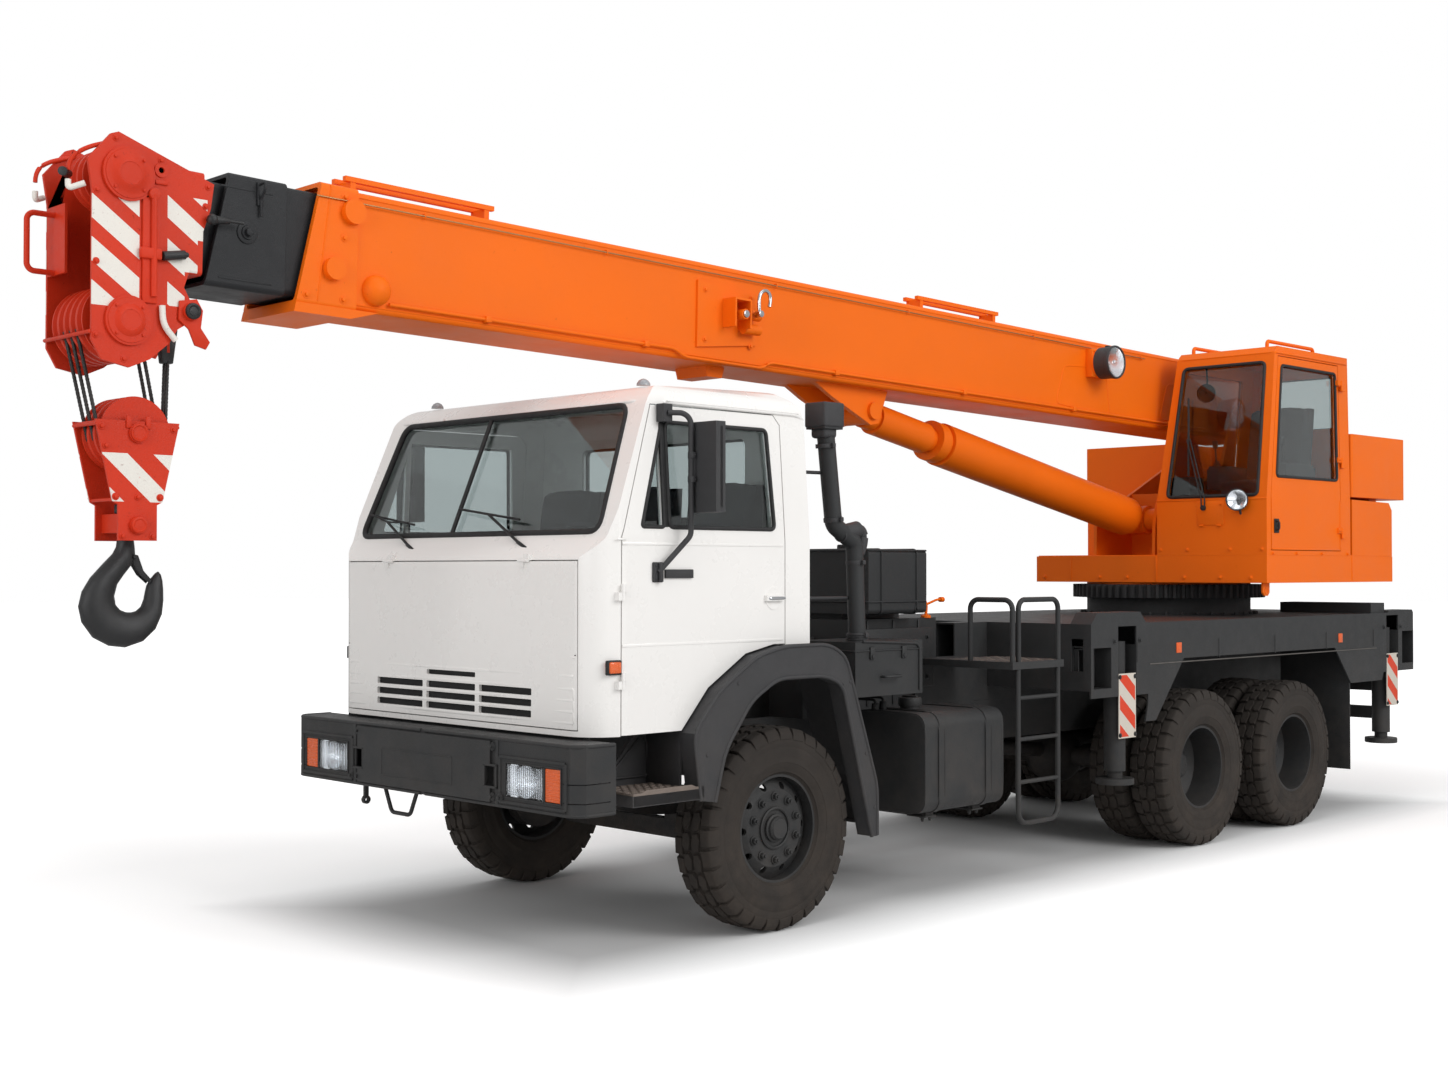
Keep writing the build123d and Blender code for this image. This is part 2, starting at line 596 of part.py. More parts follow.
for side, s in (("left", 1), ("right", -1)):
    reach = sorted((s * side_reach[0], s * side_reach[1]))
    with BuildPart() as door:
        add(side_wall(0, cab_wall))
        side_prism(door_outline, reach, mode=Mode.INTERSECT, grow=-door_gap)
        side_prism(arch_hole, reach, mode=Mode.SUBTRACT, grow=door_gap + 4)
        side_prism(door_window, reach, mode=Mode.SUBTRACT, radius=20)
        # the post between the quarter light and the main window
        with BuildPart(mode=Mode.PRIVATE) as window_post:
            add(side_wall(8, cab_wall - 16))
            side_prism([(window_post_y - 16, cab_waist + 60), (window_post_y - 16, cab_roof - 216),
                        (window_post_y + 16, cab_roof - 216), (window_post_y + 16, cab_waist + 60)],
                       reach, mode=Mode.INTERSECT)
        add(window_post.part)
        # handle in its cup
        side_prism([(cab_rear_y - 350, 1745), (cab_rear_y - 350, 1775),
                    (cab_rear_y - 220, 1775), (cab_rear_y - 220, 1745)],
                   sorted((s * (cab_width / 2 - 5), s * (cab_width / 2 + 22))))
        for z in door_hinge_z:
            door_leaf(s, 1, z + hinge_length + seat_gap)
    write(door, f"door_{side}")
    with BuildPart() as door_glass:
        add(side_wall(cab_wall / 2 - glass_thickness / 2, glass_thickness))
        side_prism(door_window, reach, mode=Mode.INTERSECT, radius=20, grow=-seat_gap)
        block(reach, (window_post_y - 16 - seat_gap, window_post_y + 16 + seat_gap),
              (cab_waist, cab_roof), mode=Mode.SUBTRACT)
    write(door_glass, f"door_glass_{side}")
    arm_x, mirror_x = (s * (cab_width / 2 + out) for out in mirror_out)
    foot_x = s * (cab_width / 2 + 14)
    # the cab's side leans in above the waist, so the upper foot reaches further in
    upper_lean = (cab_width - cab_roof_width) / 2 * (mirror_feet[1][1] - cab_waist) / (eave_z - cab_waist)
    with BuildPart() as mirror:
        tube_path([(foot_x, *mirror_feet[0]), (arm_x, mirror_arm_y, cab_waist + 20),
                   (arm_x, mirror_arm_y, mirror_feet[1][1]), (foot_x, *mirror_feet[1])], 28, 60)
        for (y, z), lean in zip(mirror_feet, (0, upper_lean - 4)):
            block(sorted((s * (cab_width / 2 - lean + seat_gap), foot_x)), (y - 30, y + 30), (z - 45, z + 45))
        with Locations((mirror_x, mirror_arm_y + 23 + mirror_size[1] / 2, cab_waist + 360)):
            Box(*mirror_size)
        block((arm_x - 12, arm_x + 12), (mirror_arm_y, mirror_arm_y + 30), (cab_waist + 340, cab_waist + 380))
    write(mirror, f"mirror_{side}")

# ---------------------------------------------------------------- inside the cab
floor_z = cab_bottom + cab_wall
tunnel_z = arch_top + seat_gap + cab_wall
with BuildPart() as cab_interior:
    for x in (-650, 0, 650):
        side_prism([
            (cab_rear_y - 700, tunnel_z + seat_gap), (cab_rear_y - 700, tunnel_z + 230),
            (cab_rear_y - 260, tunnel_z + 230), (cab_rear_y - 130, tunnel_z + 820),
            (cab_rear_y - 80, tunnel_z + 820), (cab_rear_y - 120, tunnel_z + seat_gap),
        ], (x - 230, x + 230))

    # dashboard on a heater box, with the steering wheel
    block((-200, 200), (cab_front_y + 200, cab_front_y + 340), (floor_z + seat_gap, 1701))
    dashboard = [
        (cab_front_y + cab_wall + 40, 1700), (cab_front_y + 120, 2010), (cab_front_y + 330, 2030),
        (cab_front_y + 430, 1900), (cab_front_y + 360, 1700),
    ]
    side_prism(dashboard, (-980, 980))
    # the steering column stands on a bracket that is set against the dashboard
    column_x = 580
    column_foot = Vector(column_x, cab_front_y + 340, 1575)
    column_way = Vector(0, 0.45, 0.89).normalized()
    with BuildPart(mode=Mode.PRIVATE) as steering:
        rod(tuple(column_foot), tuple(column_foot + column_way * 525), 60)
        with BuildSketch(Plane(origin=column_foot + column_way * 510, x_dir=(1, 0, 0), z_dir=column_way)):
            Circle(230)
            Circle(200, mode=Mode.SUBTRACT)
            Rectangle(420, 40)
        extrude(amount=26)
        side_prism([(cab_front_y + 370, 1760), (cab_front_y + 370, 1860),
                    (cab_front_y + 480, 1860), (cab_front_y + 430, 1760)], (column_x - 40, column_x + 40))
        side_prism(dashboard, (-980, 980), mode=Mode.SUBTRACT, grow=seat_gap)
    add(steering.part)
write(cab_interior, "cab_interior")


# ---------------------------------------------------------------- fenders and steps
fender_x = (850.0, 1240.0)
lip_x = (1130.0, fender_x[1])
liner = 15.0
fender_inner = [
    (front_axle_y - 567, 742), (front_axle_y - 494, 997), (front_axle_y - 304, 1239),
    (front_axle_y - 108, 1343), (front_axle_y + 256, 1343), (front_axle_y + 400, 1290),
    (front_axle_y + 640, 441),
]
with BuildPart() as cab_fenders:
    for s in (1, -1):
        # a thin liner over the wheel, and a deep lip outside the cab
        liner_x = sorted((s * fender_x[0], s * (lip_x[0] + 1)))
        side_prism(arch_hole, liner_x)
        side_prism(arch_hole, liner_x, mode=Mode.SUBTRACT, grow=-liner)
        block(liner_x, (front_axle_y - 800, front_axle_y + 660), (400, 760), mode=Mode.SUBTRACT)
        side_prism(
            [(front_axle_y - 664, 757)] + arch_line + [(front_axle_y + 683, 441)]
            + list(reversed(fender_inner)), sorted((s * lip_x[0], s * lip_x[1])))
        # step in front of the arch
        block(sorted((s * fender_x[0], s * fender_x[1])), (front_axle_y - 1120, front_axle_y - 640), (765, 820))
        side_prism([(front_axle_y - 1040, 815), (front_axle_y - 760, cab_bottom - seat_gap),
                    (front_axle_y - 700, cab_bottom - seat_gap), (front_axle_y - 640, 815)],
                   sorted((s * fender_x[0], s * (fender_x[0] + 30))))
write(cab_fenders, "cab_fenders")


# ---------------------------------------------------------------- behind the cab
tank_y = (front_axle_y + 1150, front_axle_y + 1895)
tank_x = (650.0, 1200.0)
tank_z = (503.0, 1080.0)
with BuildPart() as fuel_tank:
    corners = [(tank_x[0], tank_z[0]), (tank_x[1], tank_z[0]), (tank_x[1], tank_z[1]), (tank_x[0], tank_z[1])]
    front_prism(corners, tank_y, radius=80)
    for y in (tank_y[0] + 150, tank_y[1] - 150):
        front_prism(corners, (y - 25, y + 25), radius=80, grow=5)
        block((rail_outer + seat_gap, tank_x[1] - 90), (y - 35, y + 35), (tank_z[0] - 30, tank_z[0] + 2))
        block((rail_outer + seat_gap, rail_outer + 20), (y - 35, y + 35), (tank_z[0] - 30, frame_top - 60))
    rod((900, tank_y[0] + 230, tank_z[1] - 5), (900, tank_y[0] + 230, tank_z[1] + 45), 120)
write(fuel_tank, "fuel_tank")

side_box_x = (600.0, 1060.0)
side_box_y = (front_axle_y + 705, front_axle_y + 1300)
side_box_z = (1190.0, 1500.0)
oil_tank_x = (-120.0, 560.0)
oil_tank_y = (front_axle_y + 1400, front_axle_y + 1960)
oil_tank_z = (1636.0, 2033.0)
with BuildPart() as deck_boxes:
    block(side_box_x, side_box_y, side_box_z)
    block((330, side_box_x[0] + 1), (side_box_y[0] + 60, side_box_y[1] - 60),
          (frame_top + seat_gap, side_box_z[0] + 120))
    block((-420, 420), (front_axle_y + 1380, front_axle_y + 2230), (frame_top + seat_gap, 1600))
    block((-300, 300), (front_axle_y + 1450, front_axle_y + 2000), (1599, oil_tank_z[0] + 1))
    front_prism([(oil_tank_x[0], oil_tank_z[0]), (oil_tank_x[1], oil_tank_z[0]),
                 (oil_tank_x[1], oil_tank_z[1]), (oil_tank_x[0], oil_tank_z[1])], oil_tank_y, radius=30)
    # air intake, a stack on the side box
    tube_path([(1000, front_axle_y + 790, side_box_z[1] - 5), (1000, front_axle_y + 765, 2060),
               (1000, front_axle_y + 590, 2160), (1000, front_axle_y + 520, 2700)], 100, 60)
    block((930, 1070), (front_axle_y + 440, front_axle_y + 590), (2690, 2830))
    rod((1000, front_axle_y + 640, 2110), (1000, front_axle_y + 775, 2135), 90)
    rod((1000, front_axle_y + 790, side_box_z[1] - 5), (1000, front_axle_y + 790, side_box_z[1] + 40), 110)
    # far side: battery box and two air reservoirs, hung from the rail
    front_prism([(-1180, 560), (-720, 560), (-720, 1010), (-1180, 1010)],
                (front_axle_y + 1150, front_axle_y + 1800), radius=25)
    for x in (-900, -620):
        rod((x, front_axle_y + 1920, 700), (x, front_axle_y + 2600, 700), 240)
    hanger_x = -rail_outer - seat_gap
    for y in (1230, 1640, 2020, 2460):
        block((hanger_x - 20, hanger_x), (front_axle_y + y, front_axle_y + y + 40), (rail_bottom + 10, frame_top - 60))
        block((-1000, hanger_x), (front_axle_y + y, front_axle_y + y + 40), (rail_bottom + 20, rail_bottom + 70))
write(deck_boxes, "deck_boxes")

step_x = (719.0, 1250.0)
step_y = (front_axle_y + 1925, front_axle_y + 2460)
step_top = 1350.0
rail_bar = 32.0
with BuildPart() as access_ladder:
    block(step_x, step_y, (step_top - 45, step_top))
    block((rail_outer + seat_gap, step_x[0] + 1), (step_y[0] + 60, step_y[1] - 60), (step_top - 45, step_top - 5))
    block((rail_outer + seat_gap, rail_outer + 16), (step_y[0] + 60, step_y[1] - 60), (frame_top - 160, step_top - 5))
    ladder_x = step_x[1] - rail_bar / 2
    ladder_y = (step_y[0] + 75, step_y[1] - 45)
    tube_path([(ladder_x, ladder_y[0], step_top - 40), (ladder_x, ladder_y[0], 370),
               (ladder_x, ladder_y[1], 370), (ladder_x, ladder_y[1], step_top - 40)], rail_bar, 80)
    for z in (620, 880, 1130):
        rod((ladder_x, ladder_y[0], z), (ladder_x, ladder_y[1], z), 26)
    tube_path([(917, step_y[0] + 20, step_top - 10), (917, step_y[0] + 20, 1726),
               (ladder_x, step_y[0] + 20, 1726), (ladder_x, step_y[0] + 20, step_top - 10)], rail_bar, 60)
    tube_path([(ladder_x, step_y[0] + 80, step_top - 10), (ladder_x, step_y[0] + 80, 1726),
               (ladder_x, step_y[1] - 40, 1726), (ladder_x, step_y[1] - 40, step_top - 10)], rail_bar, 60)
write(access_ladder, "access_ladder")


# ---------------------------------------------------------------- outrigger frame
half_width = vehicle_width / 2
cell = running_gap + beam_wall           # beam to the outside of its sleeve
sleeve_z = (beam_bottom - cell, beam_bottom + beam_box_height + cell)
beams = [
    # name, side, middle of the beam along the truck
    ("front_left", 1, left_front_beam_y), ("front_right", -1, right_front_beam_y),
    ("rear_left", 1, left_rear_beam_y), ("rear_right", -1, right_rear_beam_y),
]
sleeve_half_length = jack_x - jack_tube_diameter / 2 - 60
skirt_outline = [
    (subframe_front_y, deck_top), (subframe_front_y, 1086), (front_axle_y + 3432, 1086),
    (front_axle_y + 3432, 1020), (front_axle_y + 3400, 905), (front_axle_y + 3526, 905),
    (front_axle_y + 3884, 1307), (front_axle_y + 6092, 1307), (front_axle_y + 6357, 1023),
    (front_axle_y + 6899, 1023), (front_axle_y + 6930, 1086), (subframe_rear_y, 1086),
    (subframe_rear_y, deck_top),
]

with BuildPart() as outrigger_frame:
    block((-half_width + 1, half_width - 1), (subframe_front_y, subframe_rear_y), (deck_top - 12, deck_top))
    for s in (1, -1):
        side_prism(skirt_outline, sorted((s * (half_width - skirt_thickness), s * half_width)))
        block(sorted((s * (subframe_beam_x - 160), s * subframe_beam_x)),
              (subframe_front_y - 350, subframe_rear_y), (frame_top + seat_gap, deck_top))
        block(sorted((s * (subframe_beam_x - 150), s * (subframe_beam_x - 10))),
              (subframe_front_y - 360, subframe_rear_y + 10), (frame_top + 12, deck_top - 12),
              mode=Mode.SUBTRACT)
    for front_y, back_y in ((subframe_front_y, front_axle_y + 3432), (front_axle_y + 6960, subframe_rear_y)):
        block((-half_width + 1, half_width - 1), (front_y, front_y + 10), (sleeve_z[0], deck_top))
        block((-half_width + 1, half_width - 1), (back_y - 10, back_y), (sleeve_z[0], deck_top))
    for y in (slew_y - 620, slew_y, slew_y + 620):
        block((-half_width + 1, half_width - 1), (y - 6, y + 6), (1330, deck_top))
    # sleeves for the four beams, open to the jack at one end
    for name, s, y in beams:
        block((-half_width + 1, half_width - 1),
              (y - beam_box_width / 2 - cell, y + beam_box_width / 2 + cell), sleeve_z)
    for name, s, y in beams:
        gap_y = beam_box_width / 2 + running_gap
        block((-half_width - 1, half_width + 1), (y - gap_y, y + gap_y),
              (beam_bottom - running_gap, beam_bottom + beam_box_height + running_gap), mode=Mode.SUBTRACT)
        # slot for the jack at the open end of its own sleeve
        block(sorted((s * sleeve_half_length, s * (half_width + 1))),
              (y - jack_slot / 2, y + jack_slot / 2), (sleeve_z[0] - 80, deck_top - 20), mode=Mode.SUBTRACT)
        # slide pads under and over the beam
        for x in (-700, 0, 700):
            block((x - 60, x + 60), (y - 60, y + 60), (beam_bottom - running_gap - 1, beam_bottom - seat_gap))
            block((x - 60, x + 60), (y - 60, y + 60),
                  (beam_bottom + beam_box_height + seat_gap, beam_bottom + beam_box_height + running_gap + 1))
    for s in (1, -1):
        # raised caps over the jacks
        cap_x = sorted((s * (half_width - 160), s * half_width))
        for front_y, back_y, rise in ((subframe_front_y, front_axle_y + 3410, 72),
                                      (front_axle_y + 7007, subframe_rear_y, 20)):
            side_prism([(front_y, deck_top - 5), (front_y + rise, deck_top + rise), (back_y - rise, deck_top + rise),
                        (back_y, deck_top - 5)], cap_x)
        # oblong hole in the front wall
        block(sorted((s * 1100, s * 1190)), (subframe_front_y - 1, subframe_front_y + 30), (1255, 1465),
              mode=Mode.SUBTRACT)
        # mud flap behind the rear wheels, on the skirt
        block(sorted((s * 660, s * (half_width - skirt_thickness + 2))),
              (front_axle_y + 6352, front_axle_y + 6362), (350, 1310))
    # flat box on the rear of the deck
    block((450, half_width - 20), (front_axle_y + 6750, front_axle_y + 6990), (deck_top - 1, deck_top + 82))
write(outrigger_frame, "outrigger_frame")

for name, s, y in beams:
    with BuildPart() as beam:
        beam_x = sorted((s * (jack_x - 20), -s * (half_width - 120)))
        block(beam_x, (y - beam_box_width / 2, y + beam_box_width / 2),
              (beam_bottom, beam_bottom + beam_box_height))
        block((beam_x[0] - (5 if s > 0 else -60), beam_x[1] + (5 if s < 0 else -60)),
              (y - beam_box_width / 2 + 10, y + beam_box_width / 2 - 10),
              (beam_bottom + 10, beam_bottom + beam_box_height - 10), mode=Mode.SUBTRACT)
        rod((s * jack_x, y, jack_tube_bottom), (s * jack_x, y, beam_bottom + beam_box_height + 40),
            jack_tube_diameter)
        rod((s * jack_x, y, jack_tube_bottom - 1), (s * jack_x, y, beam_bottom + beam_box_height - 60),
            jack_ram_diameter + 2 * seat_gap, mode=Mode.SUBTRACT)
        # warning plate on the outer face of the jack
        block(sorted((s * (jack_x + jack_tube_diameter / 2 - 12), s * (half_width - 2))), (y - 12, y + 12),
              (830, 1210))
        block(sorted((s * (half_width - 8), s * half_width)), (y - warning_plate / 2, y + warning_plate / 2), (810, 1232))
    write(beam, f"beam_{name}")
    with BuildPart() as jack:
        rod((s * jack_x, y, jack_foot_bottom), (s * jack_x, y, jack_foot_bottom + jack_foot_height),
            jack_foot_diameter)
        rod((s * jack_x, y, jack_foot_bottom + jack_foot_height),
            (s * jack_x, y, beam_bottom + beam_box_height - 80), jack_ram_diameter)
    write(jack, f"jack_{name}")

with BuildPart() as slew_ring:
    rod((0, slew_y, deck_top + seat_gap), (0, slew_y, slew_gear_bottom), slew_drum_diameter)
    tooth_depth = 26
    with BuildSketch(Plane.XY.offset(slew_gear_bottom)):
        with Locations((0, slew_y)):
            Circle(slew_gear_diameter / 2 - tooth_depth)
            with PolarLocations(slew_gear_diameter / 2 - tooth_depth / 2 - 2, slew_tooth_count):
                Trapezoid(46, tooth_depth + 6, 68, rotation=-90)
    extrude(amount=slew_gear_top - slew_gear_bottom)
write(slew_ring, "slew_ring")


# ---------------------------------------------------------------- superstructure
tower_x = (boom_width / 2 + 15, boom_width / 2 + 43)
pin_diameter = 90.0
sweep_radius = 530.0      # the boom's heel turns inside this circle about its foot pin
tower_outline = [
    (platform_front_y + 30, platform_top - 5), (platform_front_y + 40, luff_base_z - 40),
    (luff_base_y - 110, luff_base_z + 130), (luff_base_y + 180, luff_base_z + 150),
    (boom_foot_y - 330, 2745), (boom_foot_y - 150, boom_foot_z + 60), (boom_foot_y - 60, boom_foot_z + 140),
    (boom_foot_y + 60, boom_foot_z + 140), (boom_foot_y + 150, boom_foot_z + 60),
    (boom_foot_y + 330, 2560), (platform_rear_y - 150, 2440), (platform_rear_y - 150, platform_top - 5),
]
winch_y = boom_foot_y + 370
winch_z = 2320.0
with BuildPart() as slew_platform:
    rod((0, slew_y, slew_gear_top + seat_gap), (0, slew_y, platform_bottom + 1), slew_drum_diameter)
    plan_prism([(platform_right_x, platform_front_y), (platform_left_x, platform_front_y),
                (platform_left_x, platform_rear_y), (-platform_left_x + 200, platform_rear_y),
                (-platform_left_x + 200, slew_y + 300), (platform_right_x, slew_y - 200)],
               (platform_bottom, platform_top))
    for s in (1, -1):
        side_prism(tower_outline, sorted((s * tower_x[0], s * tower_x[1])))
        rod((s * tower_x[0], boom_foot_y, boom_foot_z), (s * (tower_x[1] + 20), boom_foot_y, boom_foot_z), 190)
        rod((s * 130, luff_base_y, luff_base_z), (s * (tower_x[1] + 22), luff_base_y, luff_base_z), 170)
    rod((-tower_x[1] - 30, luff_base_y, luff_base_z), (tower_x[1] + 30, luff_base_y, luff_base_z), pin_diameter)
    block((-tower_x[1], tower_x[1]), (luff_base_y + 350, luff_base_y + 370), (platform_top - 5, 2520))
    for s in (1, -1):
        rod((s * tower_x[0], boom_foot_y, boom_foot_z), (s * (tower_x[1] + 21), boom_foot_y, boom_foot_z),
            pin_diameter + 2 * seat_gap, mode=Mode.SUBTRACT)
        rod((s * tower_x[0], winch_y, winch_z), (s * (tower_x[1] + 1), winch_y, winch_z), 80 + 2 * seat_gap,
            mode=Mode.SUBTRACT)
write(slew_platform, "slew_platform")

with BuildPart() as hoist_winch:
    rod((-tower_x[1], winch_y, winch_z), (tower_x[1], winch_y, winch_z), 80)
    rod((-200, winch_y, winch_z), (200, winch_y, winch_z), 300)
    for x in (-215, 197):
        rod((x, winch_y, winch_z), (x + 18, winch_y, winch_z), 410)
write(hoist_winch, "hoist_winch")

weight_bottom, weight_top = 2480.0, 2978.0
weight_rear_y = front_axle_y + 7373
weight_inner_y = boom_foot_y + sweep_radius + 20
booth_back_y = booth_rear_y + 34
with BuildPart() as counterweight:
    plan_prism([
        (-platform_left_x, booth_back_y), (-330, booth_back_y), (-330, weight_inner_y), (330, weight_inner_y),
        (330, booth_back_y), (platform_left_x, booth_back_y), (platform_left_x, weight_rear_y),
        (-platform_left_x, weight_rear_y),
    ], (weight_bottom, weight_top), radius=20)
    for x in ((-1000, -320), (320, 1100)):
        block(x, (platform_rear_y - 140, platform_rear_y - 10), (platform_top + seat_gap, weight_bottom + 1))
    # tool box behind the booth and valve box on the far side
    side_prism([
        (booth_back_y, platform_top + seat_gap), (booth_back_y, weight_bottom - 20),
        (platform_rear_y - 60, weight_bottom - 30), (platform_rear_y - 5, weight_bottom - 90),
        (platform_rear_y - 5, platform_top + seat_gap),
    ], (1130, platform_left_x))
    block((-980, -340), (slew_y + 330, platform_rear_y - 200), (platform_top + seat_gap, weight_bottom - 60))
write(counterweight, "counterweight")

# Operator's cab: front leans back, sides lean in a little.
booth_outline = [
    (platform_front_y, platform_top + seat_gap), (platform_front_y, 2440),
    (platform_front_y + booth_lean, booth_roof - 45), (platform_front_y + booth_lean + 45, booth_roof),
    (booth_rear_y, booth_roof), (booth_rear_y, platform_top + seat_gap),
]
booth_section = [
    (booth_inner_x, platform_top + seat_gap), (booth_inner_x, 2440), (booth_inner_x + 90, booth_roof),
    (platform_left_x - 20, booth_roof), (platform_left_x, 2440), (platform_left_x, platform_top + seat_gap),
]
booth_door_outline = [
    (platform_front_y + 62, platform_top + 35), (platform_front_y + 62, 2450),
    (platform_front_y + booth_lean + 50, 3500), (booth_rear_y - 160, 3500), (booth_rear_y - 160, platform_top + 35),
]
booth_door_window = [
    (platform_front_y + 150, 2600), (platform_front_y + 260, 3430), (booth_rear_y - 215, 3430),
    (booth_rear_y - 215, 2600),
]
booth_front_window = [
    (booth_inner_x + 90, 2460), (booth_inner_x + 150, 3450), (platform_left_x - 90, 3450),
    (platform_left_x - 75, 2460),
]
booth_rear_window = [
    (booth_inner_x + 180, 3020), (booth_inner_x + 180, 3430), (platform_left_x - 130, 3430),
    (platform_left_x - 130, 3020),
]


def booth_body(inset):
    with BuildPart() as body:
        side_prism(booth_outline, (booth_inner_x - 50, platform_left_x + 50), grow=-inset)
        front_prism(booth_section, (platform_front_y - 50, booth_rear_y + 50), mode=Mode.INTERSECT, grow=-inset)
    return body.part


def booth_layer(depth, thickness):
    with BuildPart() as layer:
        add(booth_body(depth))
        add(booth_body(depth + thickness), mode=Mode.SUBTRACT)
    return layer.part


booth_hinge = (platform_left_x + 14, booth_rear_y - 163)
booth_hinge_z = (2150, 2700, 3300)


def booth_leaf(direction, z):
    """One hinge leaf on the booth's side, running from the hinge line."""
    x, y = booth_hinge
    rod((x, y, z[0]), (x, y, z[1]), 18)
    block((platform_left_x + 5, x), sorted((y, y + direction * 60)), z)
    block((platform_left_x - 20, x), sorted((y + direction * 20, y + direction * 60)), z)


booth_left = (platform_left_x - booth_wall - 25, platform_left_x + 50)
booth_right = (booth_inner_x - 50, booth_inner_x + booth_wall + 110)
with BuildPart() as operator_cab:
    add(booth_layer(0, booth_wall))
    front_prism(booth_front_window, (platform_front_y - 50, platform_front_y + 300), mode=Mode.SUBTRACT, radius=30)
    front_prism(booth_rear_window, (booth_rear_y - 100, booth_rear_y + 50), mode=Mode.SUBTRACT, radius=30)
    side_prism(booth_door_outline, booth_left, mode=Mode.SUBTRACT)
    side_prism(booth_door_window, booth_right, mode=Mode.SUBTRACT, radius=30)
    for z in booth_hinge_z:
        booth_leaf(1, (z, z + 40))
    # guard rails on the roof
    for x in (booth_inner_x + 170, platform_left_x - 130):
        tube_path([(x, platform_front_y + 260, booth_roof - 5), (x, platform_front_y + 260, booth_roof + 50),
                   (x, booth_rear_y - 350, booth_roof + 50), (x, booth_rear_y - 350, booth_roof - 5)], 28, 25)
write(operator_cab, "operator_cab")

with BuildPart() as operator_glass:
    add(booth_layer(booth_wall / 2 - glass_thickness / 2, glass_thickness))
    with BuildPart(mode=Mode.PRIVATE) as panes:
        front_prism(booth_front_window, (platform_front_y - 50, platform_front_y + 300), radius=30, grow=-seat_gap)
        front_prism(booth_rear_window, (booth_rear_y - 100, booth_rear_y + 50), radius=30, grow=-seat_gap)
        side_prism(booth_door_window, booth_right, radius=30, grow=-seat_gap)
    add(panes.part, mode=Mode.INTERSECT)
write(operator_glass, "operator_glass")

with BuildPart() as operator_door:
    add(booth_layer(0, booth_wall))
    side_prism(booth_door_outline, booth_left, mode=Mode.INTERSECT, grow=-door_gap)
    side_prism(booth_door_window, booth_left, mode=Mode.SUBTRACT, radius=30)
    for z in booth_hinge_z:
        booth_leaf(-1, (z + 40 + seat_gap, z + 80))
write(operator_door, "operator_door")

with BuildPart() as operator_door_glass:
    add(booth_layer(booth_wall / 2 - glass_thickness / 2, glass_thickness))
    side_prism(booth_door_window, booth_left, mode=Mode.INTERSECT, radius=30, grow=-seat_gap)
write(operator_door_glass, "operator_door_glass")

booth_floor = platform_top + seat_gap + booth_wall
seat_x = (booth_inner_x + platform_left_x) / 2
with BuildPart() as operator_seat:
    side_prism([
        (booth_rear_y - 760, booth_floor + 420), (booth_rear_y - 760, booth_floor + 520),
        (booth_rear_y - 330, booth_floor + 520), (booth_rear_y - 230, booth_floor + 1120),
        (booth_rear_y - 140, booth_floor + 1120), (booth_rear_y - 230, booth_floor + 420),
    ], (seat_x - 230, seat_x + 230))
    block((seat_x - 130, seat_x + 130), (booth_rear_y - 660, booth_rear_y - 330),
          (booth_floor + seat_gap, booth_floor + 421))
    for s in (1, -1):
        block(sorted((seat_x + s * 228, seat_x + s * 330)), (booth_rear_y - 800, booth_rear_y - 330),
              (booth_floor + 480, booth_floor + 640))
write(operator_seat, "operator_seat")


# ---------------------------------------------------------------- boom
pitch = radians(boom_pitch)
boom_way = Vector(0, -cos(pitch), sin(pitch))
boom_bottom_h = boom_axis_rise - boom_height / 2
boom_top_h = boom_axis_rise + boom_height / 2


def at_boom(s, h):
    """A point s along the boom from the foot pin and h above its line."""
    return (boom_foot_y - s * cos(pitch) + h * sin(pitch), boom_foot_z + s * sin(pitch) + h * cos(pitch))


def boom_side(points, x, mode=Mode.ADD, radius=0):
    side_prism([at_boom(s, h) for s, h in points], x, mode=mode, radius=radius)


def boom_box(s, width, height, radius, mode=Mode.ADD, rise=boom_axis_rise):
    """A round-cornered box section carried along the boom."""
    y, z = at_boom(s[0], rise)
    with BuildSketch(Plane(origin=(0, y, z), x_dir=(1, 0, 0), z_dir=boom_way)) as section:
        RectangleRounded(width, height, radius)
    extrude(section.sketch, amount=s[1] - s[0], mode=mode)


def slant_front(s, bottom_h, mode=Mode.SUBTRACT):
    """Cut a section's mouth so that its lower lip reaches further forward."""
    slope = sin(radians(collar_lean)) / cos(radians(collar_lean))
    reach = 900
    boom_side([(s + slope * reach, bottom_h - reach), (s - slope * reach, bottom_h + reach),
               (s + 3 * reach, bottom_h + reach), (s + 3 * reach, bottom_h - reach)],
              (-boom_width, boom_width), mode=mode)


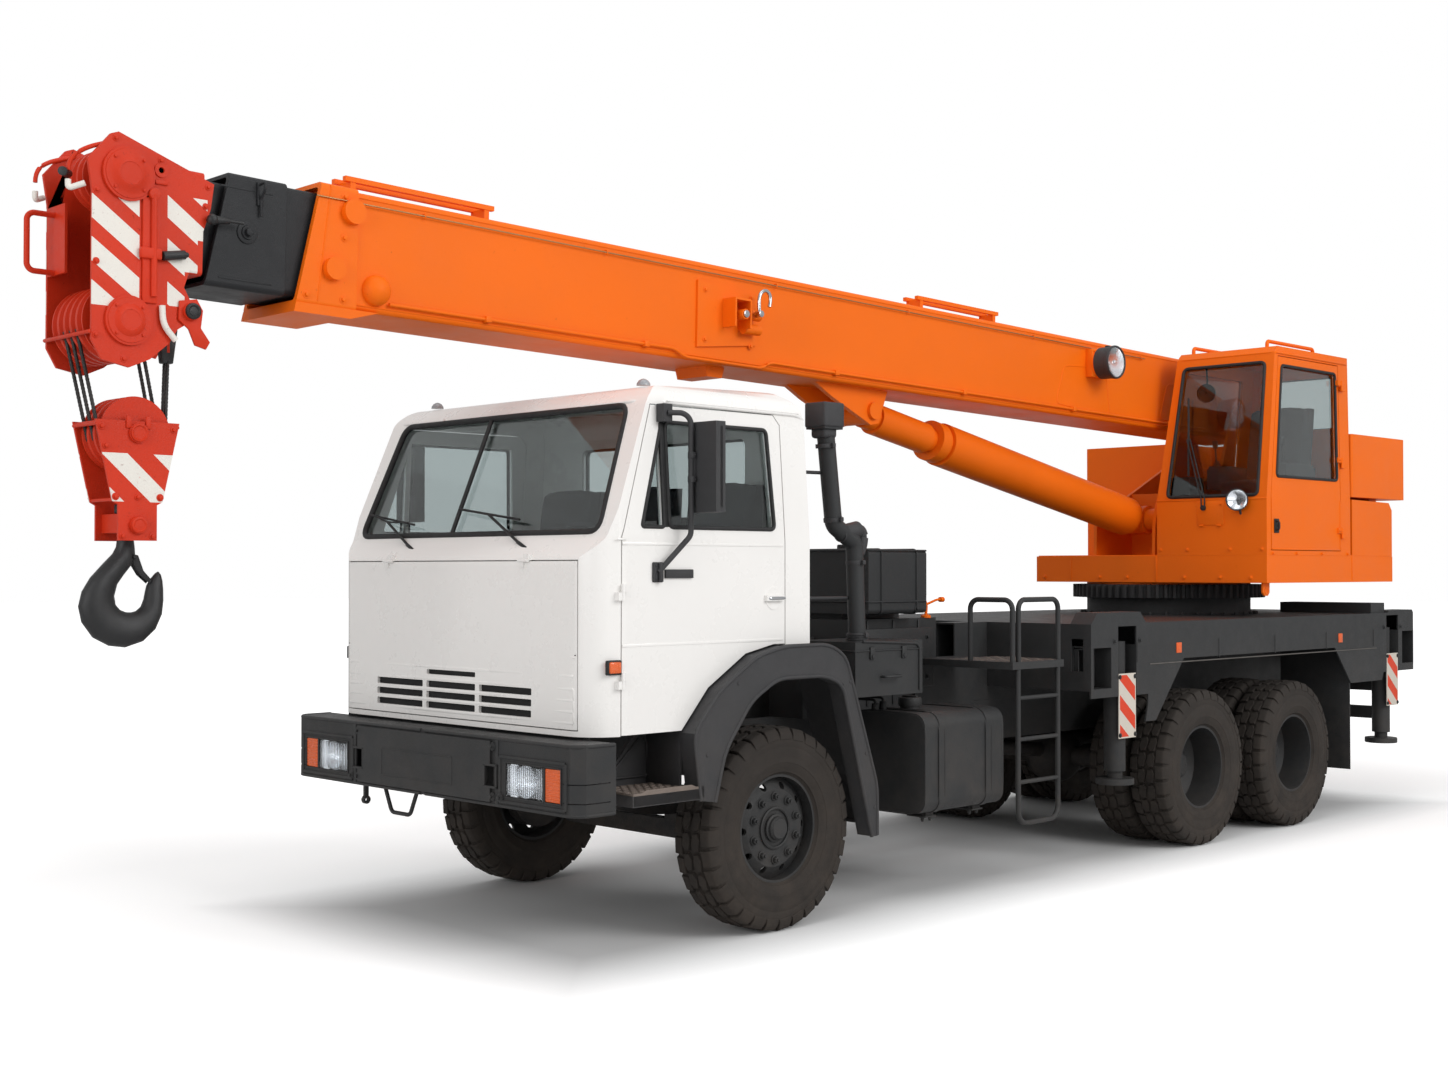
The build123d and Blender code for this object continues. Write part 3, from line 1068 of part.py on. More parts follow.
pad = 90.0
luff_ear_x = (106.0, 142.0)
with BuildPart() as boom_base:
    boom_box((base_rear, base_front + 60), boom_width, boom_height, 30)
    # collar round the mouth, with a deeper lower lip
    boom_box((base_front - 330, base_front + 60), boom_width + 28, boom_height + 24, 30)
    boom_side([(base_front - 460, boom_bottom_h + 2), (base_front - 300, boom_bottom_h - 45),
               (base_front + 60, boom_bottom_h - 45), (base_front + 60, boom_bottom_h + 2)],
              (-boom_width / 2 - 14, boom_width / 2 + 14))
    boom_box((base_rear + 12, base_front + 100), boom_width - 2 * boom_wall, boom_height - 2 * boom_wall, 20,
             mode=Mode.SUBTRACT)
    # pads that guide the middle section inside the mouth
    boom_box((base_front - 260, base_front - 260 + pad), boom_width - 2, boom_height - 2, 20)
    boom_box((base_front - 280, base_front - 240 + pad), middle_width + 2 * seat_gap,
             middle_height + 2 * seat_gap, middle_corner + seat_gap, mode=Mode.SUBTRACT)
    slant_front(base_front, boom_bottom_h)
    # foot: a cross tube and pin through the heel
    rod((-tower_x[0] + seat_gap, boom_foot_y, boom_foot_z), (tower_x[0] - seat_gap, boom_foot_y, boom_foot_z), 180)
    rod((-tower_x[1] - 20, boom_foot_y, boom_foot_z), (tower_x[1] + 20, boom_foot_y, boom_foot_z), pin_diameter)
    # ears for the luffing cylinder
    for s in (1, -1):
        side_prism([
            (luff_pin_y - 560, 3092), (luff_pin_y - 400, 3010), (luff_pin_y - 90, luff_pin_z - 60),
            (luff_pin_y - 20, luff_pin_z - 92), (luff_pin_y + 60, luff_pin_z - 75), (luff_pin_y + 92, luff_pin_z),
            (luff_pin_y + 150, 3085),
        ], sorted((s * luff_ear_x[0], s * luff_ear_x[1])))
        rod((s * luff_ear_x[0], luff_pin_y, luff_pin_z), (s * (luff_ear_x[1] + 24), luff_pin_y, luff_pin_z), 110)
    # side bracket, collar bosses and rest pad
    boom_side([(5710, 300), (5710, 0), (6200, -60), (6200, 330)], (boom_width / 2 - 2, boom_width / 2 + 14))
    stow_x = (boom_width / 2 + 12, boom_width / 2 + 120)
    for start, stop in ((5985, 5997), (5860, 5872)):
        boom_side([(start, 245), (start, 75), (stop, 75), (stop, 245)], stow_x)
    boom_side([(5860, 245), (5860, 233), (5997, 233), (5997, 245)], stow_x)
    for h in (80, 165):
        y, z = at_boom(5810, h)
        rod((boom_width / 2 + 60, y - 62, z), (boom_width / 2 + 60, y + 70, z), 62)
    y, z = at_boom(5930, 150)
    rod((stow_x[0], y, z), (stow_x[1] + 20, y, z), 60)
    for s, h, wide in ((8520, 330, 120), (8620, 40, 110)):
        y, z = at_boom(s, h)
        for x in (boom_width / 2 + 10, -boom_width / 2 - 10):
            rod((x, y, z), (x * 1.16, y, z), wide)
    boom_side([(5860, boom_bottom_h + 2), (5880, boom_bottom_h - 60), (6000, boom_bottom_h - 60),
               (6020, boom_bottom_h + 2)], (-130, 130))
    for start, stop in ((7620, 8520), (3230, 4120)):
        for x in (70, 170):
            boom_side([(start, boom_top_h + 55), (start, boom_top_h + 80), (stop, boom_top_h + 80),
                       (stop, boom_top_h + 55)], (x - 14, x + 14))
        for s in (start + 30, stop - 60):
            boom_side([(s, boom_top_h - 2), (s, boom_top_h + 60), (s + 30, boom_top_h + 60),
                       (s + 30, boom_top_h - 2)], (60, 180))
    # work lamp on the driver's side
    y, z = at_boom(boom_foot_y - front_axle_y - 4318 - 15, 270)
    rod((boom_width / 2 - 2, y, z), (boom_width / 2 + 60, y, z), 90)
    rod((boom_width / 2 + 55, y, z), (boom_width / 2 + 175, y, z), 230)
write(boom_base, "boom_base")

with BuildPart() as boom_middle:
    boom_box((400, middle_front + 60), middle_width, middle_height, middle_corner)
    boom_box((base_front + 40, middle_front + 60), middle_width + 30, middle_height + 24, 28)
    boom_box((390, middle_front + 100), middle_width - 2 * section_wall, middle_height - 2 * section_wall, 18,
             mode=Mode.SUBTRACT)
    boom_box((middle_front - 250, middle_front - 250 + pad), middle_width - 2, middle_height - 2, 18)
    boom_box((middle_front - 270, middle_front - 230 + pad), tip_width + 2 * seat_gap,
             tip_height + 2 * seat_gap, tip_corner + seat_gap, mode=Mode.SUBTRACT)
    slant_front(middle_front, boom_axis_rise - middle_height / 2)
    # cut the collar's rear face clear of the base section's slanted mouth
    with BuildPart(mode=Mode.PRIVATE) as collar_room:
        boom_box((base_front - 300, base_front + 400), boom_width + 60, boom_height + 60, 20)
        boom_box((base_front - 320, base_front + 420), middle_width, middle_height, middle_corner,
                 mode=Mode.SUBTRACT)
        slant_front(base_front + running_gap, boom_bottom_h)
    add(collar_room.part, mode=Mode.SUBTRACT)
write(boom_middle, "boom_middle")

with BuildPart() as boom_tip:
    boom_box((900, tip_front), tip_width, tip_height, tip_corner)
    boom_box((890, tip_front + 100), tip_width - 2 * section_wall, tip_height - 2 * section_wall, 16,
             mode=Mode.SUBTRACT)
write(boom_tip, "boom_tip")

def sheave_row(centre, xs, rim, bore):
    """Grooved rope sheaves side by side on one axle."""
    y, z = centre
    groove = rim - sheave_groove
    half = sheave_pitch / 2
    profile = [(xs[0] - half, bore / 2), (xs[0] - half, rim)]
    for x in xs:
        profile += [(x - half + 10, rim), (x - 12, groove), (x + 12, groove), (x + half - 10, rim)]
    profile += [(xs[-1] + half, rim), (xs[-1] + half, bore / 2)]
    with BuildSketch(Plane(origin=(0, y, z))) as section:
        with BuildLine():
            Polyline(*profile, close=True)
        make_face()
    revolve(section.sketch, axis=Axis((0, y, z), (1, 0, 0)))


# Head: outline of the two side plates, as distances from the sheave line and heights.
head_outline = [
    (-84, 3816), (-48, 3830), (408, 3667), (391, 3549), (262, 3180), (300, 3110), (300, 3030),
    (232, 2987), (193, 2922), (101, 2842), (6, 2799), (-120, 2824), (-167, 2909), (-166, 3557), (-187, 3693),
]
head_upper = (head_y - 4, head_upper_z)
head_lower = (head_y, head_lower_z)
jib_pin_at = (head_y + 290, 3072.0)
dead_end = (head_y + 265, 2900.0)
with BuildPart() as boom_head:
    for s in (1, -1):
        side_prism([(head_y + y, z) for y, z in head_outline],
                   sorted((s * (head_half_width - head_plate), s * head_half_width)))
        for (y, z), wide in ((head_upper, 240), (head_lower, 220)):
            rod((s * (head_half_width - 1), y, z), (s * (head_half_width + 14), y, z), wide)
            rod((s * head_half_width, y, z), (s * (head_half_width + 30), y, z), wide * 0.5)
    for y, z in (head_upper, head_lower):
        rod((-head_half_width, y, z), (head_half_width, y, z), 90)
    # sleeve round the end of the inner section
    boom_box((tip_front - 200, tip_front), 2 * head_half_width - 2, tip_height + 26, 20)
    boom_box((tip_front - 210, tip_front + 10), tip_width + 2 * seat_gap, tip_height + 2 * seat_gap,
             tip_corner + seat_gap, mode=Mode.SUBTRACT)
    block((-head_half_width + 1, -40), (head_y - 166, head_y - 154), (3230, 3540))
    tube_path([(-150, head_y - 160, 3500), (-150, head_y - 290, 3500), (-150, head_y - 290, 3240),
               (-150, head_y - 160, 3240)], 26, 35)
    # cross bar, with a jib's pins at its free ends, and the socket of the rope's dead end
    rod((-head_half_width, *jib_pin_at), (head_half_width, *jib_pin_at), jib_pin_diameter - 10)
    for s in (1, -1):
        rod((s * head_half_width, *jib_pin_at), (s * (head_half_width + jib_pin_length), *jib_pin_at),
            jib_pin_diameter)
    rod((sheave_pitch, dead_end[0], jib_pin_at[1]), (sheave_pitch, *dead_end), 46)
    sheave_row(head_lower, [n * sheave_pitch for n in (-2, -1, 0, 1, 2)], head_sheave_radius, 90 + 2 * seat_gap)
    sheave_row(head_upper, [0, sheave_pitch], 140, 90 + 2 * seat_gap)
write(boom_head, "boom_head")

# Luffing cylinder, drawn along the line between its two pins.
luff_way = Vector(0, luff_pin_y - luff_base_y, luff_pin_z - luff_base_z)
luff_length = luff_way.length
luff_unit = luff_way.normalized()


def on_cylinder(distance):
    return (0, luff_base_y + luff_unit.Y * distance, luff_base_z + luff_unit.Z * distance)


eye_half = luff_ear_x[0] - running_gap
with BuildPart() as luff_barrel:
    rod((-125, luff_base_y, luff_base_z), (125, luff_base_y, luff_base_z), 220)
    rod(on_cylinder(60), on_cylinder(barrel_length), barrel_diameter - 50)
    rod(on_cylinder(150), on_cylinder(barrel_length - 120), barrel_diameter)
    rod(on_cylinder(barrel_length - 90), on_cylinder(barrel_length), barrel_diameter - 20)
    rod(on_cylinder(260), on_cylinder(barrel_length + 1), rod_diameter + 2 * seat_gap, mode=Mode.SUBTRACT)
    rod((-126, luff_base_y, luff_base_z), (126, luff_base_y, luff_base_z), pin_diameter + 2 * seat_gap,
        mode=Mode.SUBTRACT)
with BuildPart() as luff_rod:
    rod(on_cylinder(300), on_cylinder(luff_length - 60), rod_diameter)
    rod(on_cylinder(barrel_length + 60), on_cylinder(luff_length - 160), rod_diameter + 40)
    rod((-eye_half, luff_pin_y, luff_pin_z), (eye_half, luff_pin_y, luff_pin_z), 170)
write(luff_barrel, "luff_barrel")
write(luff_rod, "luff_rod")


# ---------------------------------------------------------------- hook block
fall_xs = [n * sheave_pitch for n in (-1, 0, 1)]
rope_reach = rope_diameter / 2 + seat_gap - sheave_groove


def rope_fall(x, side):
    """The straight run that touches a head sheave and a block sheave on one side."""
    top = Vector(0, head_y, head_lower_z)
    bottom = Vector(0, block_y, block_sheave_z)
    down = (bottom - top).normalized()
    across = Vector(0, down.Z, -down.Y) * -side
    lean = (head_sheave_radius - block_sheave_radius) / (bottom - top).length
    outward = down * lean + across * (1 - lean ** 2) ** 0.5
    start = top + outward * (head_sheave_radius + rope_reach)
    end = bottom + outward * (block_sheave_radius + rope_reach)
    return (x, start.Y, start.Z), (x, end.Y, end.Z)


falls = [rope_fall(x, side) for side in (-1, 1) for x in fall_xs]
with BuildPart() as hoist_ropes:
    for top, bottom in falls:
        rod(top, bottom, rope_diameter)
write(hoist_ropes, "hoist_ropes")

with BuildPart() as hook_block:
    for s in (1, -1):
        side_prism([
            (block_y - 198, 2575), (block_y - 118, 2215), (block_y - 91, 2200), (block_y - 91, 2040),
            (block_y + 91, 2040), (block_y + 91, 2200), (block_y + 118, 2215), (block_y + 198, 2575),
        ], sorted((s * (block_half_width - 14), s * block_half_width)))
        rod((s * (block_half_width - 1), block_y, block_sheave_z),
            (s * (block_half_width + 12), block_y, block_sheave_z), 90)
        rod((s * (block_half_width - 1), block_y, 2110), (s * (block_half_width + 16), block_y, 2110), 80)
    rod((-block_half_width, block_y, block_sheave_z), (block_half_width, block_y, block_sheave_z), 70)
    block((-block_half_width + 1, block_half_width - 1), (block_y - 62, block_y + 62), (2075, 2160))
    for y, z in ((block_y - 190, 2556), (block_y + 190, 2556), (block_y - 110, 2222), (block_y + 110, 2222)):
        rod((-block_half_width, y, z), (block_half_width, y, z), 16)
    rod((0, block_y, 2070), (0, block_y, 2165), 70 + 2 * seat_gap, mode=Mode.SUBTRACT)
    sheave_row((block_y, block_sheave_z), fall_xs, block_sheave_radius, 70 + 2 * seat_gap)
write(hook_block, "hook_block")

hook_neck_z = 1985.0
with BuildPart() as hook:
    with BuildSketch(Plane.YZ.offset(-48)):
        with Locations((block_y - 18, 1755)):
            Circle(198)
        with BuildLine():
            Polyline((block_y - 180, 1840), (block_y - 60, hook_neck_z), (block_y - 52, 2030), (block_y + 52, 2030),
                     (block_y + 48, 1980), (block_y - 20, 1880), close=True)
        make_face()
        with BuildLine():
            Polyline((block_y + 105, 1800), (block_y + 130, 1870), (block_y + 148, 1900), (block_y + 170, 1892),
                     (block_y + 179, 1755), close=True)
        make_face()
        with Locations((block_y + 18, 1790)):
            Circle(72, mode=Mode.SUBTRACT)
        with BuildLine():
            Polyline((block_y - 54, 1790), (block_y - 42, 1850), (block_y - 10, 1905), (block_y + 52, hook_neck_z),
                     (block_y + 200, 1990), (block_y + 148, 1901), (block_y + 112, 1860), (block_y + 90, 1790),
                     close=True)
        make_face(mode=Mode.SUBTRACT)
    extrude(amount=96)
    rod((0, block_y, 2020), (0, block_y, 2200), 70)
    rod((0, block_y, 2160 + seat_gap), (0, block_y, 2205), 110)
write(hook, "hook")
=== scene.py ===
# %% [markdown]
# # Dressing a mobile crane
# The crane comes in as a fixed frame: every plate, wheel and boom section is already in its place, in metres.
# The cells below add what a plain solid lacks, such as tyre tread, window seals, rivets, hoses, rope and paint.
# The front of the truck looks along -Y, the driver's side is +X, and the ground is at z = 0.

# %% Load the frame
import json
from math import cos, pi, radians, sin

import bmesh
import bpy
from mathutils import Matrix, Vector


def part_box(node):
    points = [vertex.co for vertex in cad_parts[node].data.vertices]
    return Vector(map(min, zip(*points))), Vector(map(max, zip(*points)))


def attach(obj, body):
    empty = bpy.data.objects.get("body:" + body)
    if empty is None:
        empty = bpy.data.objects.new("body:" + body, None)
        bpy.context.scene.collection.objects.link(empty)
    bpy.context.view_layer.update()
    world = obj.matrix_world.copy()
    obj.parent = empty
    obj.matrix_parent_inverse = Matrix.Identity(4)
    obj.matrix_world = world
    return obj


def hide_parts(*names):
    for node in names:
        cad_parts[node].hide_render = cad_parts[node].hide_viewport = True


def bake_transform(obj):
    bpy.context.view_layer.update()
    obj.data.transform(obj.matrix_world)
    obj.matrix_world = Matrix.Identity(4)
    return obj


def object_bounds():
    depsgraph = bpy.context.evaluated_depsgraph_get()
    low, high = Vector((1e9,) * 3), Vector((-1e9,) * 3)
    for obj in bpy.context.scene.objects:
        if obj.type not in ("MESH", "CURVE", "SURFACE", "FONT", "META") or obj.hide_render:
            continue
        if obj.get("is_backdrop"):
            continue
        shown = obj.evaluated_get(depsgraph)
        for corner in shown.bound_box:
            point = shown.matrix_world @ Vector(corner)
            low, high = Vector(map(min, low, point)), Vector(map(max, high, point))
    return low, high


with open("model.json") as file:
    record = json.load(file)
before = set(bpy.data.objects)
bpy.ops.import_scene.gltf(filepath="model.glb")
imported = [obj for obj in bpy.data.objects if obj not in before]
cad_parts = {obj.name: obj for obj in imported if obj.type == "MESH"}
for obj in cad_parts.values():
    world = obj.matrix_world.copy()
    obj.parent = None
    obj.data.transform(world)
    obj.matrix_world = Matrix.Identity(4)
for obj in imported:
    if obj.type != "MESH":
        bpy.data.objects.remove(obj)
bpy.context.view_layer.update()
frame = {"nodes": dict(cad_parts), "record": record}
nodes = frame["nodes"]

# %% [markdown]
# A full-size vehicle looks right when the lens stands where a person would. This one is about eye height, off
# the driver's front corner, a little below the middle of the machine so that the horizon runs through the wheels.

# %% Camera
camera_data = bpy.data.cameras.new("camera")
camera_data.lens = 43.19
camera_data.sensor_width = 36.0
camera_data.clip_end = 200.0
camera = bpy.data.objects.new("camera", camera_data)
camera.location = (7.500, -8.666, 1.912)
camera.rotation_euler = (radians(90.865), 0.0, radians(45.464))
bpy.context.scene.collection.objects.link(camera)
bpy.context.scene.camera = camera

# %% [markdown]
# Studio pictures of machines are lit by very large soft lamps. A white sky gives the even base, one big lamp
# above the driver's side makes that flank the brightest, and a weaker one opens up the front.
# The lens sees a brighter, plain white sky, so that the machine stands free.

# %% Light
def seen_by_lens(tree):
    """One where a ray comes straight from the lens or through a pane of glass, else nought."""
    rays = tree.nodes.new("ShaderNodeLightPath")
    most = tree.nodes.new("ShaderNodeMath")
    most.operation = "MAXIMUM"
    tree.links.new(rays.outputs["Is Camera Ray"], most.inputs[0])
    tree.links.new(rays.outputs["Is Transmission Ray"], most.inputs[1])
    return most.outputs[0]


scene = bpy.context.scene
scene.view_settings.view_transform = "Standard"
sky = bpy.data.worlds.new("sky")
scene.world = sky
sky.use_nodes = True
sky.node_tree.nodes["Background"].inputs["Color"].default_value = (1.0, 1.0, 1.0, 1.0)
sky.node_tree.nodes["Background"].inputs["Strength"].default_value = 0.60
plain_white = sky.node_tree.nodes.new("ShaderNodeBackground")
plain_white.inputs["Color"].default_value = (1.0, 1.0, 1.0, 1.0)
either = sky.node_tree.nodes.new("ShaderNodeMixShader")
sky.node_tree.links.new(seen_by_lens(sky.node_tree), either.inputs[0])
sky.node_tree.links.new(sky.node_tree.nodes["Background"].outputs[0], either.inputs[1])
sky.node_tree.links.new(plain_white.outputs[0], either.inputs[2])
sky.node_tree.links.new(either.outputs[0], sky.node_tree.nodes["World Output"].inputs["Surface"])


def soft_lamp(name, place, target, size, power):
    """One square studio lamp that points at a place on the machine."""
    lamp_data = bpy.data.lights.new(name, "AREA")
    lamp_data.size = size
    lamp_data.energy = power
    lamp = bpy.data.objects.new(name, lamp_data)
    lamp.location = place
    lamp.rotation_euler = (Vector(target) - Vector(place)).to_track_quat("-Z", "Y").to_euler()
    scene.collection.objects.link(lamp)


soft_lamp("flank_lamp", (14.0, 1.0, 9.0), (0.0, -0.5, 1.8), 8.0, 1250.0)
soft_lamp("top_lamp", (1.0, -3.0, 14.0), (0.0, 0.0, 1.5), 9.0, 350.0)
soft_lamp("front_lamp", (3.0, -15.0, 5.0), (0.0, -3.0, 2.0), 6.0, 420.0)

# %% [markdown]
# ## Finishes
# A finish is a small node tree. Paint on a working machine isn't one flat colour: it fades in patches, its
# gloss varies, it has the fine ripple of sprayed paint, and road dust settles on what is low. All patterns
# read Object coordinates, so they stay fixed to the steel when a part moves.

# %% Node helpers
def add_node(tree, kind, settings=None, **sockets):
    """A shader node with its settings and its inputs filled in. An underscore stands for a space."""
    made = tree.nodes.new(kind)
    for key, value in (settings or {}).items():
        setattr(made, key, value)
    for key, value in sockets.items():
        socket = made.inputs[int(key[1:]) if key[0] == "i" and key[1:].isdigit() else key.replace("_", " ")]
        if isinstance(value, bpy.types.NodeSocket):
            tree.links.new(value, socket)
        else:
            socket.default_value = value
    return made


def sums(tree, operation, *values):
    """A Math node of one operation on two or three values."""
    return add_node(tree, "ShaderNodeMath", {"operation": operation},
                    **{f"i{n}": value for n, value in enumerate(values)}).outputs[0]


def noise(tree, place, scale, detail=3.0, roughness=0.5):
    """A smooth random field between nought and one."""
    return add_node(tree, "ShaderNodeTexNoise", Vector=place, Scale=scale, Detail=detail,
                    Roughness=roughness).outputs["Fac"]


def spread(tree, value, low, high, out_low=0.0, out_high=1.0):
    """Stretch part of a value's range over another range, held at both ends."""
    return add_node(tree, "ShaderNodeMapRange", Value=value, From_Min=low, From_Max=high,
                    To_Min=out_low, To_Max=out_high).outputs["Result"]


def mixed(tree, share, first, second):
    """Blend two colours by a share."""
    made = add_node(tree, "ShaderNodeMix", {"data_type": "RGBA"}, i0=share)
    for socket, value in ((made.inputs[6], first), (made.inputs[7], second)):
        if isinstance(value, bpy.types.NodeSocket):
            tree.links.new(value, socket)
        else:
            socket.default_value = (*value, 1.0) if len(value) == 3 else value
    return made.outputs[2]


def shade(colour, factor):
    """The same colour, darker or lighter."""
    return tuple(min(1.0, channel * factor) for channel in colour)


def linear(red, green, blue):
    """A screen colour, 0 to 255, as the linear values that a shader wants."""
    return tuple(((c / 255 + 0.055) / 1.055) ** 2.4 if c > 10 else c / 3295 for c in (red, green, blue))


road_dust = linear(128, 112, 98)

# %% [markdown]
# The floor is one very large plate, so its edge stays behind the horizon. The lens sees it lighter than it lights
# the machine, as an overexposed studio floor is. Its tone follows its place: darker under the machine, so the soft
# shadow there is as deep as in a studio, and lighter far off. It is staged, which keeps it out of the machine.

# %% Floor
floor_mesh = bpy.data.meshes.new("floor")
floor_shape = bmesh.new()
bmesh.ops.create_grid(floor_shape, x_segments=1, y_segments=1, size=90.0)
floor_shape.to_mesh(floor_mesh)
floor_shape.free()
floor = bpy.data.objects.new("floor", floor_mesh)
scene.collection.objects.link(floor)
shade_half_x, shade_half_y, shade_middle_y = 1.15, 4.3, 0.9
under_tone, beside_tone, far_tone = 0.62, 1.20, 0.80
lighting_tone = (0.62, 0.62, 0.62, 1.0)
studio_white = bpy.data.materials.new("studio_white")
studio_white.use_nodes = True
tree = studio_white.node_tree
spot = add_node(tree, "ShaderNodeSeparateXYZ", Vector=add_node(tree, "ShaderNodeTexCoord").outputs["Object"])
beside = sums(tree, "SUBTRACT", sums(tree, "ABSOLUTE", spot.outputs["X"]), shade_half_x)
along = sums(tree, "SUBTRACT", spot.outputs["Y"], shade_middle_y)
beyond = sums(tree, "SUBTRACT", sums(tree, "ABSOLUTE", along), shade_half_y)
clear = sums(tree, "MAXIMUM", beside, beyond)
near = spread(tree, clear, -0.25, 0.55, under_tone, beside_tone)
brightness = sums(tree, "ADD", near, spread(tree, clear, 2.0, 9.0, 0.0, far_tone))
add_node(tree, "ShaderNodeMix", {"data_type": "RGBA"}, i0=seen_by_lens(tree), i6=lighting_tone,
         i7=brightness)
shader = tree.nodes["Principled BSDF"]
tree.links.new(tree.nodes["Mix"].outputs[2], shader.inputs["Base Color"])
shader.inputs["Roughness"].default_value = 0.9
shader.inputs["Specular IOR Level"].default_value = 0.1
floor_mesh.materials.append(studio_white)
floor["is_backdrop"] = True

# %% The general finish
def make_finish(name, colour, roughness, metallic=0.0, fade=0.10, patch=1.3, ripple=0.012, ripple_scale=260.0,
                coat=0.0, dust=0.0, dust_top=1.6, specks=0.0, mirror=0.5, paint_over=None):
    """Paint, rubber, plastic or metal with faded patches, uneven gloss, a fine surface and dust on what is low."""
    material = bpy.data.materials.new(name)
    material.use_nodes = True
    tree = material.node_tree
    shader = tree.nodes["Principled BSDF"]
    shader.inputs["Metallic"].default_value = metallic
    shader.inputs["Specular IOR Level"].default_value = mirror
    shader.inputs["Coat Weight"].default_value = coat
    shader.inputs["Coat Roughness"].default_value = 0.12
    place = add_node(tree, "ShaderNodeTexCoord").outputs["Object"]
    patches = noise(tree, place, patch, 4.0, 0.6)
    shown = mixed(tree, spread(tree, patches, 0.3, 0.7), shade(colour, 1 - fade), shade(colour, 1 + fade * 0.6))
    if paint_over:
        shown = paint_over(tree, place, shown)
    if specks:
        speck = spread(tree, noise(tree, place, 38.0, 6.0, 0.75), 0.66 - specks * 0.1, 0.74)
        shown = mixed(tree, speck, shown, shade(colour, 0.35))
    if dust:
        height = add_node(tree, "ShaderNodeSeparateXYZ", Vector=place).outputs["Z"]
        low_down = spread(tree, height, dust_top, 0.1)
        film = spread(tree, noise(tree, place, 5.5, 6.0, 0.68), 0.35, 0.75)
        share = sums(tree, "MULTIPLY", sums(tree, "MULTIPLY", low_down, film), dust)
        shown = mixed(tree, share, shown, road_dust)
    tree.links.new(shown, shader.inputs["Base Color"])
    gloss = spread(tree, noise(tree, place, patch * 4.0, 5.0, 0.65), 0.25, 0.75,
                   max(0.03, roughness - 0.09), min(1.0, roughness + 0.12))
    tree.links.new(gloss, shader.inputs["Roughness"])
    grain = noise(tree, place, ripple_scale, 2.0, 0.5)
    bump = add_node(tree, "ShaderNodeBump", Strength=0.35, Distance=ripple, Height=grain)
    tree.links.new(bump.outputs["Normal"], shader.inputs["Normal"])
    return material


def bands(direction, pitch, share, colour, areas, phase=0.0):
    """Painted stripes that cross the given boxes, as a step for make_finish."""
    def paint(tree, place, below):
        across = add_node(tree, "ShaderNodeVectorMath", {"operation": "DOT_PRODUCT"}, i0=place, i1=direction)
        wave = sums(tree, "FRACT", sums(tree, "ADD", sums(tree, "DIVIDE", across.outputs["Value"], pitch), phase))
        stripe = sums(tree, "LESS_THAN", wave, share)
        split = add_node(tree, "ShaderNodeSeparateXYZ", Vector=place)
        covered = None
        for low, high in areas:
            inside = stripe
            for axis, start, stop in zip("XYZ", low, high):
                inside = sums(tree, "MULTIPLY", inside, sums(tree, "GREATER_THAN", split.outputs[axis], start))
                inside = sums(tree, "MULTIPLY", inside, sums(tree, "LESS_THAN", split.outputs[axis], stop))
            covered = inside if covered is None else sums(tree, "MAXIMUM", covered, inside)
        worn = sums(tree, "MULTIPLY", covered, spread(tree, noise(tree, place, 55.0, 6.0, 0.7), 0.2, 0.36))
        return mixed(tree, worn, below, colour)
    return paint

# %% [markdown]
# The colours are those of the real machine: a white truck cab, an orange crane, a redder head and hook block,
# and dark grey steel below. Rubber is brown-black where it is dusty.

# %% The paints and materials
cab_white = make_finish("cab_white", linear(236, 234, 231), 0.28, fade=0.012, patch=0.9, ripple=0.0015, coat=0.35,
                        dust=0.05, dust_top=1.4)
crane_orange = make_finish("crane_orange", linear(238, 107, 11), 0.40, fade=0.06, patch=0.8, ripple=0.006, specks=0.1,
                           mirror=0.16)
red_recipe = {"colour": linear(202, 52, 24), "roughness": 0.40, "fade": 0.10, "patch": 2.2, "ripple": 0.006,
              "specks": 0.4, "mirror": 0.2}
grey_recipe = {"colour": linear(46, 47, 48), "roughness": 0.46, "fade": 0.14, "patch": 2.4, "ripple": 0.008,
               "dust": 0.16, "specks": 0.2, "mirror": 0.3}
signal_red = make_finish("signal_red", **red_recipe)
chassis_grey = make_finish("chassis_grey", **grey_recipe)
boom_grey = make_finish("boom_grey", linear(40, 41, 43), 0.42, fade=0.12, patch=1.8, ripple=0.006, mirror=0.2)
black_plastic = make_finish("black_plastic", linear(46, 46, 48), 0.5, fade=0.10, patch=3.0, ripple=0.012,
                            ripple_scale=700.0, dust=0.18, dust_top=1.5)
seal_rubber = make_finish("seal_rubber", linear(26, 26, 27), 0.62, fade=0.10, patch=6.0, ripple=0.006)
tyre_rubber = make_finish("tyre_rubber", linear(52, 48, 45), 0.78, fade=0.16, patch=5.0, ripple=0.02,
                          ripple_scale=420.0, dust=0.16, dust_top=1.3, mirror=0.2)
rim_grey = make_finish("rim_grey", linear(48, 49, 50), 0.48, fade=0.14, patch=4.0, ripple=0.008, dust=0.14,
                       dust_top=1.3, mirror=0.3)
cast_steel = make_finish("cast_steel", linear(44, 44, 45), 0.6, metallic=0.3, fade=0.2, patch=6.0, ripple=0.03,
                         ripple_scale=160.0, dust=0.35)
bright_steel = make_finish("bright_steel", linear(190, 192, 195), 0.16, metallic=1.0, fade=0.04, ripple=0.001)
hook_black = make_finish("hook_black", linear(40, 40, 41), 0.36, metallic=0.3, fade=0.15, patch=9.0, ripple=0.004,
                         ripple_scale=420.0)
seat_cloth = make_finish("seat_cloth", linear(58, 58, 62), 0.85, fade=0.12, patch=8.0, ripple=0.01,
                         ripple_scale=900.0)
amber_lens = make_finish("amber_lens", linear(226, 92, 4), 0.22, fade=0.06, patch=9.0, ripple=0.012,
                         ripple_scale=300.0, coat=0.6)
clear_lens = make_finish("clear_lens", linear(150, 152, 156), 0.2, fade=0.05, patch=20.0, ripple=0.01, coat=0.6)
